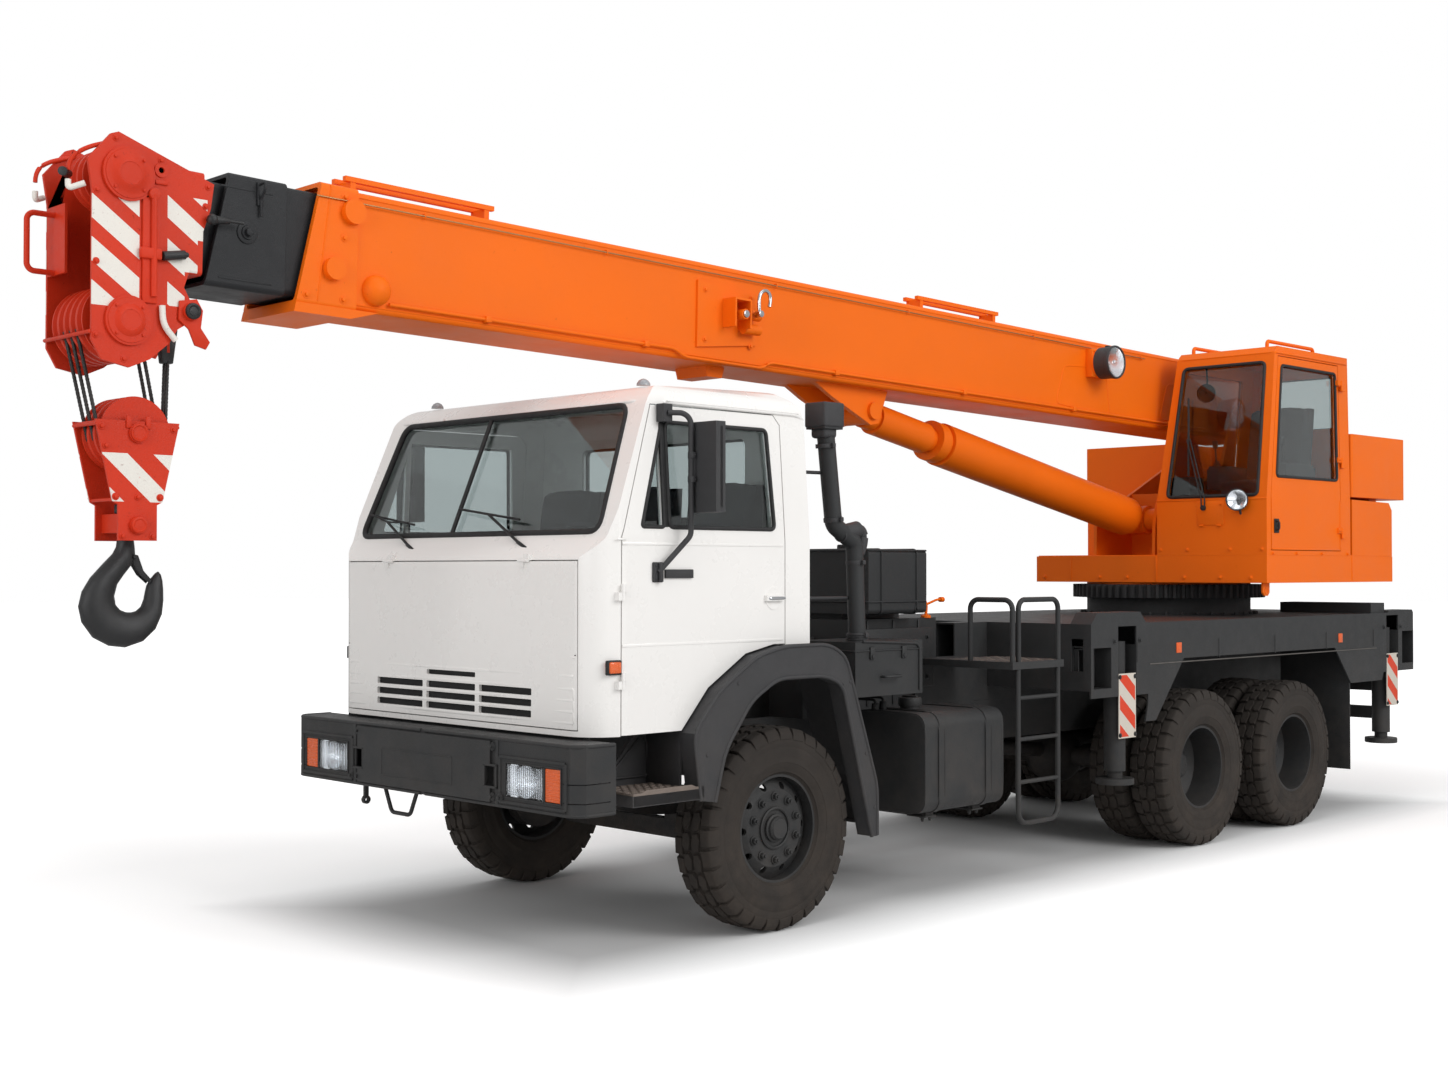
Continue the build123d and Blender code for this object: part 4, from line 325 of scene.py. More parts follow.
# This near-black stands for the shade inside gaps, slots and holes: painted shade. The radiator behind the slots
# takes it too, partly its own black and partly painted shade.
gap_shade_black = make_finish("gap_shade_black", linear(14, 14, 15), 0.8, fade=0.1, ripple=0.004)
signal_white = linear(228, 224, 216)

# %% [markdown]
# ## Shapes from operators
# Every new piece is a bmesh: a box, a drum, a turned profile, a plate or a bent pipe, each with its sharp edges
# rounded a little, because a real edge always catches a thin line of light.

# %% Shape helpers
def round_edges(shape, verts, width, segments=2, sharper_than=32):
    """Bevel the sharp edges between these vertices."""
    sharp = {edge for vert in verts for edge in vert.link_edges
             if len(edge.link_faces) == 2 and edge.calc_face_angle(0.0) > radians(sharper_than)}
    if width and sharp:
        bmesh.ops.bevel(shape, geom=list(sharp), offset=width, offset_type="OFFSET", segments=segments,
                        profile=0.5, affect="EDGES", clamp_overlap=True, material=-1)


def block(shape, low, high, rounding=0.004, segments=2, turn=None):
    """A box between two corners, turned about its middle if asked."""
    middle = (Vector(low) + Vector(high)) / 2
    size = Vector(high) - Vector(low)
    place = Matrix.Translation(middle) @ (turn or Matrix.Identity(4)) @ Matrix.Diagonal((*size, 1.0))
    made = bmesh.ops.create_cube(shape, size=1.0, matrix=place)["verts"]
    round_edges(shape, made, rounding, segments)


def side_block(shape, s, low, high, rounding=0.004):
    """A box given for the driver's side, where s is 1, and mirrored to the other, where s is -1."""
    left, right = sorted((s * low[0], s * high[0]))
    block(shape, (left, *low[1:]), (right, *high[1:]), rounding)


def drum(shape, start, end, radius, end_radius=None, rounding=0.002, sides=32):
    """A round bar, disc or cone between two points."""
    way = Vector(end) - Vector(start)
    place = Matrix.Translation((Vector(start) + Vector(end)) / 2) @ way.to_track_quat("Z", "Y").to_matrix().to_4x4()
    made = bmesh.ops.create_cone(shape, cap_ends=True, cap_tris=False, segments=sides, radius1=radius,
                                 radius2=radius if end_radius is None else end_radius, depth=way.length,
                                 matrix=place)["verts"]
    round_edges(shape, made, rounding, 2, 50)


def turned(shape, centre, axis, profile, steps=48):
    """A lathe shape: pairs of distance along the axis and radius, spun all the way round."""
    way = Vector(axis).normalized()
    out = way.orthogonal().normalized()
    line = [shape.verts.new(Vector(centre) + way * along + out * radius) for along, radius in profile]
    edges = [shape.edges.new(pair) for pair in zip(line, line[1:])]
    bmesh.ops.spin(shape, geom=line + edges, cent=centre, axis=way, angle=2 * pi, steps=steps, use_merge=True,
                   use_duplicate=False)
    poles = [vert for vert in shape.verts if (vert.co - Vector(centre)).cross(way).length < 1e-5]
    bmesh.ops.remove_doubles(shape, verts=poles, dist=1e-5)


def plate(shape, outline, thickness, rounding=0.003, segments=2):
    """A flat outline carried along a vector."""
    verts = [shape.verts.new(point) for point in outline]
    face = shape.faces.new(verts)
    grown = bmesh.ops.extrude_face_region(shape, geom=[face])["geom"]
    far = [item for item in grown if isinstance(item, bmesh.types.BMVert)]
    bmesh.ops.translate(shape, verts=far, vec=thickness)
    round_edges(shape, verts + far, rounding, segments)


def side_plate(shape, outline, x_low, x_high, rounding=0.003):
    """A plate whose outline is drawn as seen from the side."""
    plate(shape, [(x_low, y, z) for y, z in outline], (x_high - x_low, 0.0, 0.0), rounding)


def bends(points, bend, steps=5):
    """A route whose corners are eased, for bent steel pipe."""
    route = [Vector(points[0])]
    for before, corner, after in zip(points, points[1:], points[2:]):
        corner = Vector(corner)
        come = corner + (Vector(before) - corner).normalized() * bend
        leave = corner + (Vector(after) - corner).normalized() * bend
        for step in range(steps + 1):
            t = step / steps
            route.append(come * (1 - t) ** 2 + corner * 2 * t * (1 - t) + leave * t ** 2)
    return route + [Vector(points[-1])]


def skin(shape, rings):
    """Faces between rings of vertices that follow each other, with both ends closed."""
    for ring, following in zip(rings, rings[1:]):
        for n in range(len(ring)):
            after = (n + 1) % len(ring)
            shape.faces.new([ring[n], ring[after], following[after], following[n]])
    shape.faces.new(rings[0][::-1])
    shape.faces.new(rings[-1])


def pipe(shape, points, radius, bend=0.0, soft=False, sides=4):
    """A pipe along a route, or a hose if soft. The curve gives the mesh and isn't kept."""
    curve = bpy.data.curves.new("route", "CURVE")
    curve.dimensions = "3D"
    curve.bevel_depth = radius
    curve.bevel_resolution = sides
    curve.use_fill_caps = True
    curve.resolution_u = 6
    route = bends(points, bend) if bend else [Vector(point) for point in points]
    spline = curve.splines.new("NURBS" if soft else "POLY")
    spline.points.add(len(route) - 1)
    for knot, point in zip(spline.points, route):
        knot.co = (*point, 1.0)
    if soft:
        spline.order_u = 3
        spline.use_endpoint_u = True
    holder = bpy.data.objects.new("route", curve)
    mesh = bpy.data.meshes.new_from_object(holder)
    shape.from_mesh(mesh)
    bpy.data.meshes.remove(mesh)
    bpy.data.objects.remove(holder)
    bpy.data.curves.remove(curve)


def bolt(shape, place, way, size=0.018, head=0.012, washer=True):
    """A hexagon head on a washer, standing out along a direction."""
    place, way = Vector(place), Vector(way).normalized()
    if washer:
        drum(shape, place - way * 0.002, place + way * 0.003, size * 0.85, rounding=0.0006, sides=20)
    drum(shape, place, place + way * (0.003 + head), size / 2, rounding=0.0012, sides=6)


def finish_piece(name, shape, material, body, seam=38):
    """Close a bmesh into a piece that rides on a body and takes the finish it is given."""
    bmesh.ops.recalc_face_normals(shape, faces=shape.faces)
    mesh = bpy.data.meshes.new(name)
    shape.to_mesh(mesh)
    shape.free()
    mesh.materials.append(material)
    for face in mesh.polygons:
        face.use_smooth = True
    mesh.set_sharp_from_angle(angle=radians(seam))
    piece = bpy.data.objects.new(name, mesh)
    scene.collection.objects.link(piece)
    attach(piece, body)
    print(name, len(mesh.polygons), "faces")
    return piece

# %% [markdown]
# ## The frame's own solids
# Most of the crane's plates are right as they come. Each gets its finish, and the ones with long straight edges
# get a narrow live bevel: the loose triangles are welded, flat areas are joined, and sharp edges are rounded.

# %% Finishes for the frame's solids
def give(material, *names, bevel=0.0):
    """Put a finish on nodes of the frame and round their sharp edges."""
    for name in names:
        node = nodes[name]
        node.data.materials.clear()
        node.data.materials.append(material)
        if bevel:
            weld = node.modifiers.new("weld", "WELD")
            weld.merge_threshold = 0.0002
            flat = node.modifiers.new("flat", "DECIMATE")
            flat.decimate_type = "DISSOLVE"
            flat.angle_limit = radians(1.5)
            edge = node.modifiers.new("edge", "BEVEL")
            edge.width = bevel
            edge.segments = 2
            edge.limit_method = "ANGLE"
            edge.angle_limit = radians(35)
            edge.harden_normals = False
            level = node.modifiers.new("level", "WEIGHTED_NORMAL")
            level.keep_sharp = False
            level.weight = 100


every_beam = [name for name in nodes if name.startswith("beam_")]
every_jack = [name for name in nodes if name.startswith("jack_")]
every_rim = [name for name in nodes if name.startswith("rim_")]

# %% [markdown]
# ## Places
# All stations are read off the frame's boxes, so that the dressing follows the solids if they change.

# %% Stations on the frame
def box(name):
    """The two corners of a node's box."""
    low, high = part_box(name)
    return Vector(low), Vector(high)


lid_low = box("front_panel")[0]
shell_low, shell_high = box("cab_shell")
door_low, door_high = box("door_left")
cab_front = lid_low.y + 0.012
cab_rear = shell_high.y
cab_roof = shell_high.z
cab_floor = shell_low.z
cab_waist = cab_roof - 0.806
cab_half = door_high.x - 0.022
joint_place = {joint["name"]: Vector(joint["pos_m"]) for joint in frame["record"]["behaviour"]["joints"]
               if "pos_m" in joint}
wheel_radius = (box("tyre_front_left")[1].z - box("tyre_front_left")[0].z) / 2


def cab_side(z):
    """Half width of the cab's flank at a height: upright below the waist, leaning in above."""
    return cab_half - max(0.0, z - cab_waist) * 0.050 / 0.730


def screen_y(z):
    """Where the leaning windscreen stands at a height."""
    return cab_front + 0.110 + (z - cab_waist - 0.010) * 0.275 / 0.695


def loop(shape, points, radius, bend, steps=5):
    """A closed bent pipe, such as the rubber round a window."""
    middle = (Vector(points[0]) + Vector(points[-1])) / 2
    pipe(shape, bends([middle, *points, middle], bend, steps), radius)


def oblong(shape, axis, at, first, second, radius, bend, steps=5):
    """A closed oblong pipe in the plane that crosses the y or z axis at a place, between two pairs of ends."""
    corners = [(first[0], second[0]), (first[1], second[0]), (first[1], second[1]), (first[0], second[1])]
    loop(shape, [(a, at, b) if axis == "y" else (a, b, at) for a, b in corners], radius, bend, steps)


def strip(shape, start, end, across, out, rounding=0.002):
    """A flat bar between two points, as wide as one vector and as deep as another."""
    start, end, across = Vector(start), Vector(end), Vector(across) / 2
    plate(shape, [start - across, end - across, end + across, start + across], Vector(out), rounding)


print("cab from", round(cab_front, 3), "to", round(cab_rear, 3), "roof", round(cab_roof, 3))

# %% [markdown]
# ## Tyres
# The real tread is moulded: two rows of uneven six-sided blocks in the middle and a row of long lugs that fold
# over each shoulder, staggered from side to side. One block of each kind is drawn, rounded, and spun round the
# wheel on top of a turned carcass, which is quicker than carving grooves and keeps each block's edges crisp.

# %% Tyres with tread
def spun(shape, made, centre, count):
    """Repeat what a function makes, evenly round a wheel's axle."""
    start = len(shape.verts)
    made()
    shape.verts.ensure_lookup_table()
    verts = shape.verts[start:]
    edges = {edge for vert in verts for edge in vert.link_edges}
    faces = {face for vert in verts for face in vert.link_faces}
    bmesh.ops.spin(shape, geom=[*verts, *edges, *faces], cent=centre, axis=(1, 0, 0), use_duplicate=True,
                   angle=2 * pi * (count - 1) / count, steps=count - 1)


tread_foot, tread_top = 0.519, wheel_radius - 0.0024
tread_wide, tread_skew, tread_count = 0.064, 0.10, 31
tread_pitch = 2 * pi * wheel_radius / tread_count
tyre_half, tyre_bead = 0.145, 0.286


def tread_block(shape, centre, at):
    """An uneven six-sided block that stands on the carcass, narrower at its top."""
    long = tread_pitch * 0.93
    corners = [(-0.5, -0.18), (-0.16, -0.5), (0.34, -0.46), (0.5, 0.16), (0.18, 0.5), (-0.36, 0.44)]
    rings = []
    for radius, size in ((tread_foot, 1.0), (tread_top, 0.9)):
        rings.append([shape.verts.new(centre + Vector((at + a * tread_wide * size + tread_skew * b * tread_wide,
                                                       b * long * size, radius))) for a, b in corners])
    shape.faces.new(rings[1])
    shape.faces.new(rings[0][::-1])
    for n in range(6):
        shape.faces.new([rings[0][n], rings[0][(n + 1) % 6], rings[1][(n + 1) % 6], rings[1][n]])
    round_edges(shape, rings[1], 0.0022, 1)


def shoulder_lug(shape, centre, side):
    """A lug that folds over the shoulder: its section, seen along the tread, carried round."""
    shift, long = tread_pitch * 0.25 * side, tread_pitch * 0.78
    section = [(0.066, 0.522), (0.070, wheel_radius - 0.0052), (0.108, 0.5330), (0.1255, 0.5285), (0.1405, 0.500),
               (0.1438, 0.470), (0.134, 0.468), (0.120, 0.505)]
    outline = [centre + Vector((side * a, shift - long / 2, r)) for a, r in section]
    plate(shape, outline, (0.0, long, 0.0), 0.0025, 1)


def tyre_pieces(name, body):
    """Carcass and tread of every tyre in one node."""
    low, high = box(name)
    middle_y, middle_z = (low.y + high.y) / 2, (low.z + high.z) / 2
    is_twin = high.x - low.x > 0.4
    wall = [(0.107, 0.0), (0.118, 0.012), (0.124, 0.014), (0.127, 0.028), (0.134, 0.040), (0.1385, 0.062),
            (0.1408, 0.064), (0.1412, 0.070), (0.1398, 0.074), (0.1425, 0.100), (0.1425, 0.142), (0.1405, 0.146),
            (0.1405, 0.150), (0.142, 0.154), (0.1400, 0.188)]
    wall = [(a, tyre_bead + r) for a, r in wall] + [(0.1330, 0.496), (0.118, 0.517), (0.060, 0.5235)]
    profile = [(-a, r) for a, r in wall] + [(a, r) for a, r in reversed(wall)]
    profile += [(0.09, tyre_bead + 0.02), (-0.09, tyre_bead + 0.02), profile[0]]
    shape = bmesh.new()
    for x in ({low.x + tyre_half, high.x - tyre_half} if is_twin else {(low.x + high.x) / 2}):
        centre = Vector((x, middle_y, middle_z))
        turned(shape, centre, (1, 0, 0), profile, 72)
        for at in (-0.034, 0.034):
            spun(shape, lambda: tread_block(shape, centre, at), centre, tread_count)
        for side in (-1, 1):
            spun(shape, lambda: shoulder_lug(shape, centre, side), centre, tread_count)
    piece = finish_piece(f"{name}_tread", shape, tyre_rubber, body, 32)
    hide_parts(name)


for name in [name for name in nodes if name.startswith("tyre_")]:
    tyre_pieces(name, name.replace("tyre_", "wheel_"))

# %% [markdown]
# ## Wheel centres
# A forged nut on every stud, with the stud's end showing, and a ring of small screws on the hub's cover. These
# are bought parts on the real machine, all alike, so each is one shape repeated round the hub.

# %% Wheel nuts and hub covers
def wheel_centre(side, s, place, track, face_out, hub_out, hub_radius):
    """Nuts, hub cover with its screws and a ring on the face of one wheel."""
    rim = f"rim_{place}_{side}"
    low, high = box(rim)
    centre = Vector((s * track / 2, (low.y + high.y) / 2, (low.z + high.z) / 2))
    out = Vector((s, 0, 0))
    shape = bmesh.new()

    def nut():
        spot = centre + out * face_out + Vector((0, 0, 0.1675))
        drum(shape, spot - out * 0.002, spot + out * 0.007, 0.025, rounding=0.001, sides=20)
        drum(shape, spot, spot + out * 0.026, 0.0185, rounding=0.0015, sides=6)
        drum(shape, spot, spot + out * 0.036, 0.0095, 0.008, rounding=0.0, sides=12)

    def cover_screw():
        spot = centre + out * hub_out + Vector((0, 0, hub_radius * 0.74))
        drum(shape, spot - out * 0.004, spot + out * 0.008, 0.007, rounding=0.001, sides=6)

    spun(shape, nut, centre, 10)
    spun(shape, cover_screw, centre, 8)
    turned(shape, centre, out, [(hub_out - 0.03, 0.0), (hub_out - 0.03, hub_radius + 0.014),
                                (hub_out - 0.018, hub_radius + 0.014), (hub_out - 0.012, hub_radius + 0.002),
                                (hub_out - 0.002, hub_radius), (hub_out + 0.004, hub_radius * 0.55),
                                (hub_out + 0.006, 0.0)], 32)
    turned(shape, centre, out, [(face_out - 0.004, 0.098), (face_out + 0.010, 0.098), (face_out + 0.014, 0.104),
                                (face_out + 0.010, 0.112), (face_out - 0.004, 0.112), (face_out - 0.004, 0.098)], 40)
    finish_piece(f"nuts_{place}_{side}", shape, rim_grey, f"wheel_{place}_{side}")


front_track, rear_track = 2.050, 1.890
for side, s in (("left", 1), ("right", -1)):
    wheel_centre(side, s, "front", front_track, 0.080, 0.112, 0.060)
    for place in ("middle", "rear"):
        wheel_centre(side, s, place, rear_track, 0.016, 0.112, 0.074)

# %% [markdown]
# ## Truck cab
# The windows sit in black rubber sections that grip both the glass and the sheet metal. Each is a closed loop of
# thick rubber round its opening. The windscreen is in two panes with a rubber bar between them.

# %% Window rubbers of the cab
def screen_point(x, z, out=0.0):
    """A point on the windscreen, or a little in front of it."""
    return Vector((x, screen_y(z) - out, z + out * 0.35))


def flank_point(s, y, z, out=0.0):
    """A point on the cab's flank, or a little outside it."""
    return Vector((s * (cab_side(z) + out), y, z))


screen_low, screen_high = cab_waist + 0.035, cab_roof - 0.131
shape = bmesh.new()
loop(shape, [screen_point(-1.045, screen_low), screen_point(-0.972, screen_high), screen_point(0.972, screen_high),
             screen_point(1.045, screen_low)], 0.017, 0.075)
divider_x = -0.16
strip(shape, screen_point(divider_x - 0.012, screen_low), screen_point(divider_x + 0.012, screen_high), (0.030, 0, 0),
      (0, -0.010, 0.004))
loop(shape, [(-0.70, cab_rear + 0.001, cab_waist + 0.14), (-0.70, cab_rear + 0.001, cab_roof - 0.226),
             (0.70, cab_rear + 0.001, cab_roof - 0.226), (0.70, cab_rear + 0.001, cab_waist + 0.14)], 0.013, 0.05)
finish_piece("cab_window_rubbers", shape, seal_rubber, "chassis")

sill, head = cab_waist + 0.062, cab_roof - 0.218
post = cab_front + 0.470
for side, s in (("left", 1), ("right", -1)):
    shape = bmesh.new()
    lean = 0.170 / (head - sill)
    post_low = post - 0.016
    loop(shape, [flank_point(s, cab_front + 0.305, sill),
                 flank_point(s, cab_front + 0.305 + lean * (head - sill) * 0.9, head - 0.02),
                 flank_point(s, post_low, head), flank_point(s, post_low, sill)], 0.010, 0.018)
    loop(shape, [flank_point(s, post + 0.018, sill), flank_point(s, post + 0.018, head),
                 flank_point(s, cab_rear - 0.300, head), flank_point(s, cab_rear - 0.270, sill)], 0.011, 0.032)
    strip(shape, flank_point(s, post, sill, -0.004), flank_point(s, post, head, -0.004), (0, 0.020, 0),
          (s * 0.006, 0, 0))
    finish_piece(f"door_rubbers_{side}", shape, seal_rubber, f"door_{side}")

# %% [markdown]
# Two wipers park along the lower edge of the windscreen. Each has a spindle on the cowl, a sprung arm and a blade
# with its claws; the blade is thin sheet with a rubber lip.

# %% Windscreen wipers
shape = bmesh.new()
for pivot_x, tip, blade_a, blade_b in ((-0.457, (-0.78, 2.165), (-1.00, 2.215), (-0.53, 2.150)),
                                       (0.539, (0.15, 2.185), (-0.155, 2.228), (0.405, 2.160))):
    pivot = Vector((pivot_x, cab_front + 0.088, cab_waist - 0.055))
    drum(shape, pivot + Vector((0, 0.03, -0.02)), pivot + Vector((0, -0.022, 0.012)), 0.019, 0.013, sides=20)
    joint = screen_point(tip[0], tip[1], 0.034)
    knee = pivot + (joint - pivot) * 0.22 + Vector((0, -0.018, 0.004))
    pipe(shape, [pivot + Vector((0, -0.018, 0.012)), knee, joint], 0.0075)
    strip(shape, pivot + Vector((0, -0.022, 0.012)), knee, (0.022, 0, 0.012), (0, -0.008, 0.003))
    ends = [screen_point(*blade_a, 0.020), screen_point(*blade_b, 0.020)]
    pipe(shape, ends, 0.0065)
    along = ends[1] - ends[0]
    for share in (0.12, 0.38, 0.62, 0.88):
        foot = ends[0] + along * share
        drum(shape, foot, foot + Vector((0, -0.010, 0.004)), 0.006, sides=10)
    pipe(shape, [ends[0] + along * 0.12 + Vector((0, -0.012, 0.004)), joint,
                 ends[0] + along * 0.88 + Vector((0, -0.012, 0.004))], 0.005)
finish_piece("cab_wipers", shape, seal_rubber, "chassis")

# %% [markdown]
# Pressed steel gets its stiffness from creases. The grille half of the lid is one pressing with long ribs above,
# between and below the air slots; the upper half is a flat panel set on it, with a shadow line between them.

# %% Ribs and seams of the front lid
slot_foot = cab_floor + 0.0645
rows = [slot_foot + 0.055 * n for n in range(4)]


def nose_y(z):
    """Where the flat nose, which leans back a little, stands at a height."""
    return cab_front + 0.012 * (z - cab_floor) / (cab_waist - 0.095 - cab_floor)


def nose_skin(x, z):
    """The nose is bowed a little in plan, and its lower half stands slightly further out."""
    return max(nose_y(z), cab_front - 0.012 + 0.020 * abs(x))


shape = bmesh.new()
for z in [*rows, rows[-1] + 0.064]:
    for start, stop in ((-0.985, -0.35), (-0.35, 0.32), (0.32, 0.985)):
        strip(shape, (start, nose_skin(start, z) + 0.001, z), (stop, nose_skin(stop, z) + 0.001, z), (0, 0, 0.016),
              (0, -0.0085, 0), 0.004)
for x in (-0.985, -0.735, -0.2485, 0.2185, 0.705, 0.985):
    for low, high in zip(rows, rows[1:]):
        strip(shape, (x, nose_skin(x, low) + 0.001, low), (x, nose_skin(x, high) + 0.001, high), (0.014, 0, 0),
              (0, -0.007, 0), 0.004)
crease_z = cab_floor + 0.385
for start, stop in ((-1.0, 0.0), (0.0, 1.0)):
    strip(shape, (start, nose_skin(start, crease_z), crease_z), (stop, nose_skin(stop, crease_z), crease_z),
          (0, 0, 0.012), (0, -0.006, 0), 0.003)
finish_piece("lid_ribs", shape, cab_white, "front_panel")

shape = bmesh.new()
for start, stop in ((-1.0, 0.0), (0.0, 1.0)):
    strip(shape, (start, nose_skin(start, crease_z), crease_z + 0.0095),
          (stop, nose_skin(stop, crease_z), crease_z + 0.0095), (0, 0, 0.005), (0, -0.002, 0), 0.0)
finish_piece("lid_shadow_line", shape, gap_shade_black, "front_panel")

# Painted shade: a near-black strip just behind each air slot stands for the shade inside the opening.
shape = bmesh.new()
for column in (-1, 0, 1):
    middle = -0.015 + 0.467 * column
    for z, tall in ((0.092, 0.045), (0.147, 0.045), (0.202, 0.045), (0.267, 0.036)):
        slot_x = (middle - 0.225, middle + 0.225)
        start, stop = [(x, nose_skin(x, cab_floor + z) + 0.010, cab_floor + z) for x in slot_x]
        strip(shape, start, stop, (0, 0, tall), (0, 0.004, 0), 0.0)
finish_piece("slot_painted_shade", shape, gap_shade_black, "front_panel")
# Painted shade: a near-black sheet across the front, behind the lid from 1.03 m up to the cab floor, stands for the
# shade in the space under the cab.
shape = bmesh.new()
block(shape, (-1.06, cab_front + 0.040, 1.030), (1.06, cab_front + 0.050, cab_floor - 0.003), 0.003)
finish_piece("under_cab_painted_shade", shape, gap_shade_black, "chassis")

shape = bmesh.new()
block(shape, (-0.80, cab_front + 0.050, cab_floor + 0.05), (0.80, cab_front + 0.058, cab_floor + 0.30), 0.0)
for n in range(34):
    x = -0.78 + n * 0.0473
    block(shape, (x, cab_front + 0.046, cab_floor + 0.05), (x + 0.006, cab_front + 0.052, cab_floor + 0.30), 0.0)
finish_piece("radiator_mesh", shape, gap_shade_black, "chassis")

# %% [markdown]
# The gutter over the doors is a folded flange along the roof, painted with the cab. A crease runs round the cab at
# the waist, and a second one lower down across the doors.

# %% Gutters, creases, roof lamp and side lamps
shape = bmesh.new()
gutter_z = max(cab_roof - 0.118, door_high.z + 0.016)
print("gutter at", round(gutter_z, 4), "above the door's head at", round(door_high.z, 4))
for s in (1, -1):
    route = [(s * 0.60, screen_y(gutter_z) - 0.004, gutter_z + 0.004),
             (s * 1.02, screen_y(gutter_z) - 0.002, gutter_z + 0.004),
             (s * (cab_side(gutter_z) + 0.006), cab_front + 0.50, gutter_z),
             (s * (cab_side(gutter_z) + 0.006), cab_rear - 0.05, gutter_z - 0.004),
             (s * (cab_side(gutter_z) - 0.01), cab_rear + 0.001, gutter_z - 0.03)]
    pipe(shape, route, 0.0095, 0.05)
    lip = [Vector(point) + Vector((s * 0.006, 0, 0.007)) for point in route[2:4]]
    pipe(shape, lip, 0.005)
    strip(shape, (s * cab_half, cab_front + 0.200, cab_waist), (s * cab_half, door_low.y - 0.020, cab_waist),
          (0, 0, 0.010), (s * 0.004, 0, 0))
finish_piece("cab_gutters", shape, cab_white, "chassis")

for side, s in (("left", 1), ("right", -1)):
    shape = bmesh.new()
    y_from, y_to = box(f"door_{side}")[0].y + 0.012, box(f"door_{side}")[1].y - 0.012
    for z, reach in ((cab_waist - 0.022, 0.0045), (cab_floor + 0.44, 0.003)):
        strip(shape, (s * (cab_half - 0.001), y_from, z), (s * (cab_half - 0.001), y_to, z), (0, 0, 0.014),
              (s * reach, 0, 0), 0.003)
    finish_piece(f"door_creases_{side}", shape, cab_white, f"door_{side}")
    # chromed handle over a shallow dish
    shape = bmesh.new()
    hand = Vector((s * (cab_half + 0.012), cab_rear - 0.280, cab_waist - 0.30))
    turned(shape, (s * (cab_half - 0.002), hand.y, hand.z), (s, 0, 0),
           [(0.0, 0.0), (0.0, 0.062), (0.004, 0.062), (0.005, 0.058), (0.0025, 0.048), (0.0015, 0.0)], 32)
    finish_piece(f"handle_dish_{side}", shape, cab_white, f"door_{side}")
    shape = bmesh.new()
    pipe(shape, [hand + Vector((-s * 0.006, -0.062, 0)), hand + Vector((s * 0.008, -0.050, 0)),
                 hand + Vector((s * 0.009, 0.040, 0)), hand + Vector((s * 0.002, 0.066, 0))], 0.0095, 0.012)
    finish_piece(f"door_handle_{side}", shape, bright_steel, f"door_{side}")

shape = bmesh.new()
for s in (1, -1):
    spot = Vector((s * (cab_half - 0.010), cab_front + 0.128, cab_floor + 0.336))
    block(shape, spot + Vector((-0.02, -0.036, -0.028)), spot + Vector((0.02, 0.036, 0.028)), 0.008)
finish_piece("side_lamps", shape, amber_lens, "chassis")
shape = bmesh.new()
for s in (1, -1):
    dome = Vector((s * 0.90, cab_front + 0.535, cab_roof - 0.016))
    turned(shape, dome, (0, 0, 1), [(0.0, 0.0), (0.0, 0.036), (0.012, 0.034), (0.026, 0.024), (0.034, 0.010),
                                    (0.036, 0.0)], 28)
finish_piece("roof_lamps", shape, clear_lens, "chassis")
shape = bmesh.new()
for s in (1, -1):
    spot = Vector((s * (cab_half - 0.012), cab_front + 0.128, cab_floor + 0.336))
    block(shape, spot + Vector((-0.012, -0.044, -0.036)), spot + Vector((0.012, 0.044, 0.036)), 0.006)
finish_piece("side_lamp_feet", shape, seal_rubber, "chassis")

# %% [markdown]
# The mirror is a moulded shell with rounded edges round its glass, clamped to a bent steel tube. It faces back, so
# the driver sees the crane's flank in it. Below it a hinge bracket is screwed to the door, beside a blank plate.

# %% Mirror shells and brackets
for side, s in (("left", 1), ("right", -1)):
    arm = Vector((s * (cab_half + 0.080), cab_front + 0.563, cab_waist + 0.36))
    middle = Vector((s * (cab_half + 0.135), arm.y + 0.056, cab_waist + 0.36))
    shape = bmesh.new()
    block(shape, middle - Vector((0.100, 0.035, 0.227)), middle + Vector((0.100, 0.035, 0.227)), 0.026, 4)
    for z in (0.30, 0.42):
        drum(shape, (arm.x, arm.y, cab_waist + z - 0.016), (arm.x, arm.y, cab_waist + z + 0.016), 0.021, sides=24)
        bolt(shape, (arm.x + s * 0.020, arm.y, cab_waist + z), (s, 0, 0), 0.010, 0.006, washer=False)
    block(shape, (arm.x - 0.016, arm.y, cab_waist + 0.31), (arm.x + 0.016, middle.y - 0.020, cab_waist + 0.41), 0.005)
    foot = Vector((s * (cab_half + 0.001), cab_front + 0.405, cab_waist - 0.162))
    block(shape, foot + Vector((-0.004, -0.034, -0.050)), foot + Vector((0.006, 0.034, 0.050)), 0.004)
    drum(shape, foot + Vector((s * 0.020, 0.004, -0.046)), foot + Vector((s * 0.020, 0.004, 0.046)), 0.013, sides=20)
    for dz in (-0.034, 0.034):
        bolt(shape, foot + Vector((s * 0.006, -0.022, dz)), (s, 0, 0), 0.013, 0.006)
    block(shape, foot + Vector((min(s * 0.012, 0.0), 0.045, -0.030)),
          foot + Vector((max(s * 0.012, 0.0), 0.235, 0.014)), 0.003)
    finish_piece(f"mirror_shell_{side}", shape, black_plastic, f"door_{side}")
    shape = bmesh.new()
    block(shape, middle + Vector((-0.086, 0.0345, -0.212)), middle + Vector((0.086, 0.0362, 0.212)), 0.0)
    finish_piece(f"mirror_glass_{side}", shape, bright_steel, f"door_{side}")

# %% [markdown]
# ## Bumper and lamps
# The bumper is three pressings bolted to brackets: a middle panel with a blank plate, and two ends that hold the
# lamps in a sunk frame. A head lamp is a polished bowl behind a ribbed lens; the amber lamp beside it is one
# moulding. The bowls are really bright, the lens really clear.

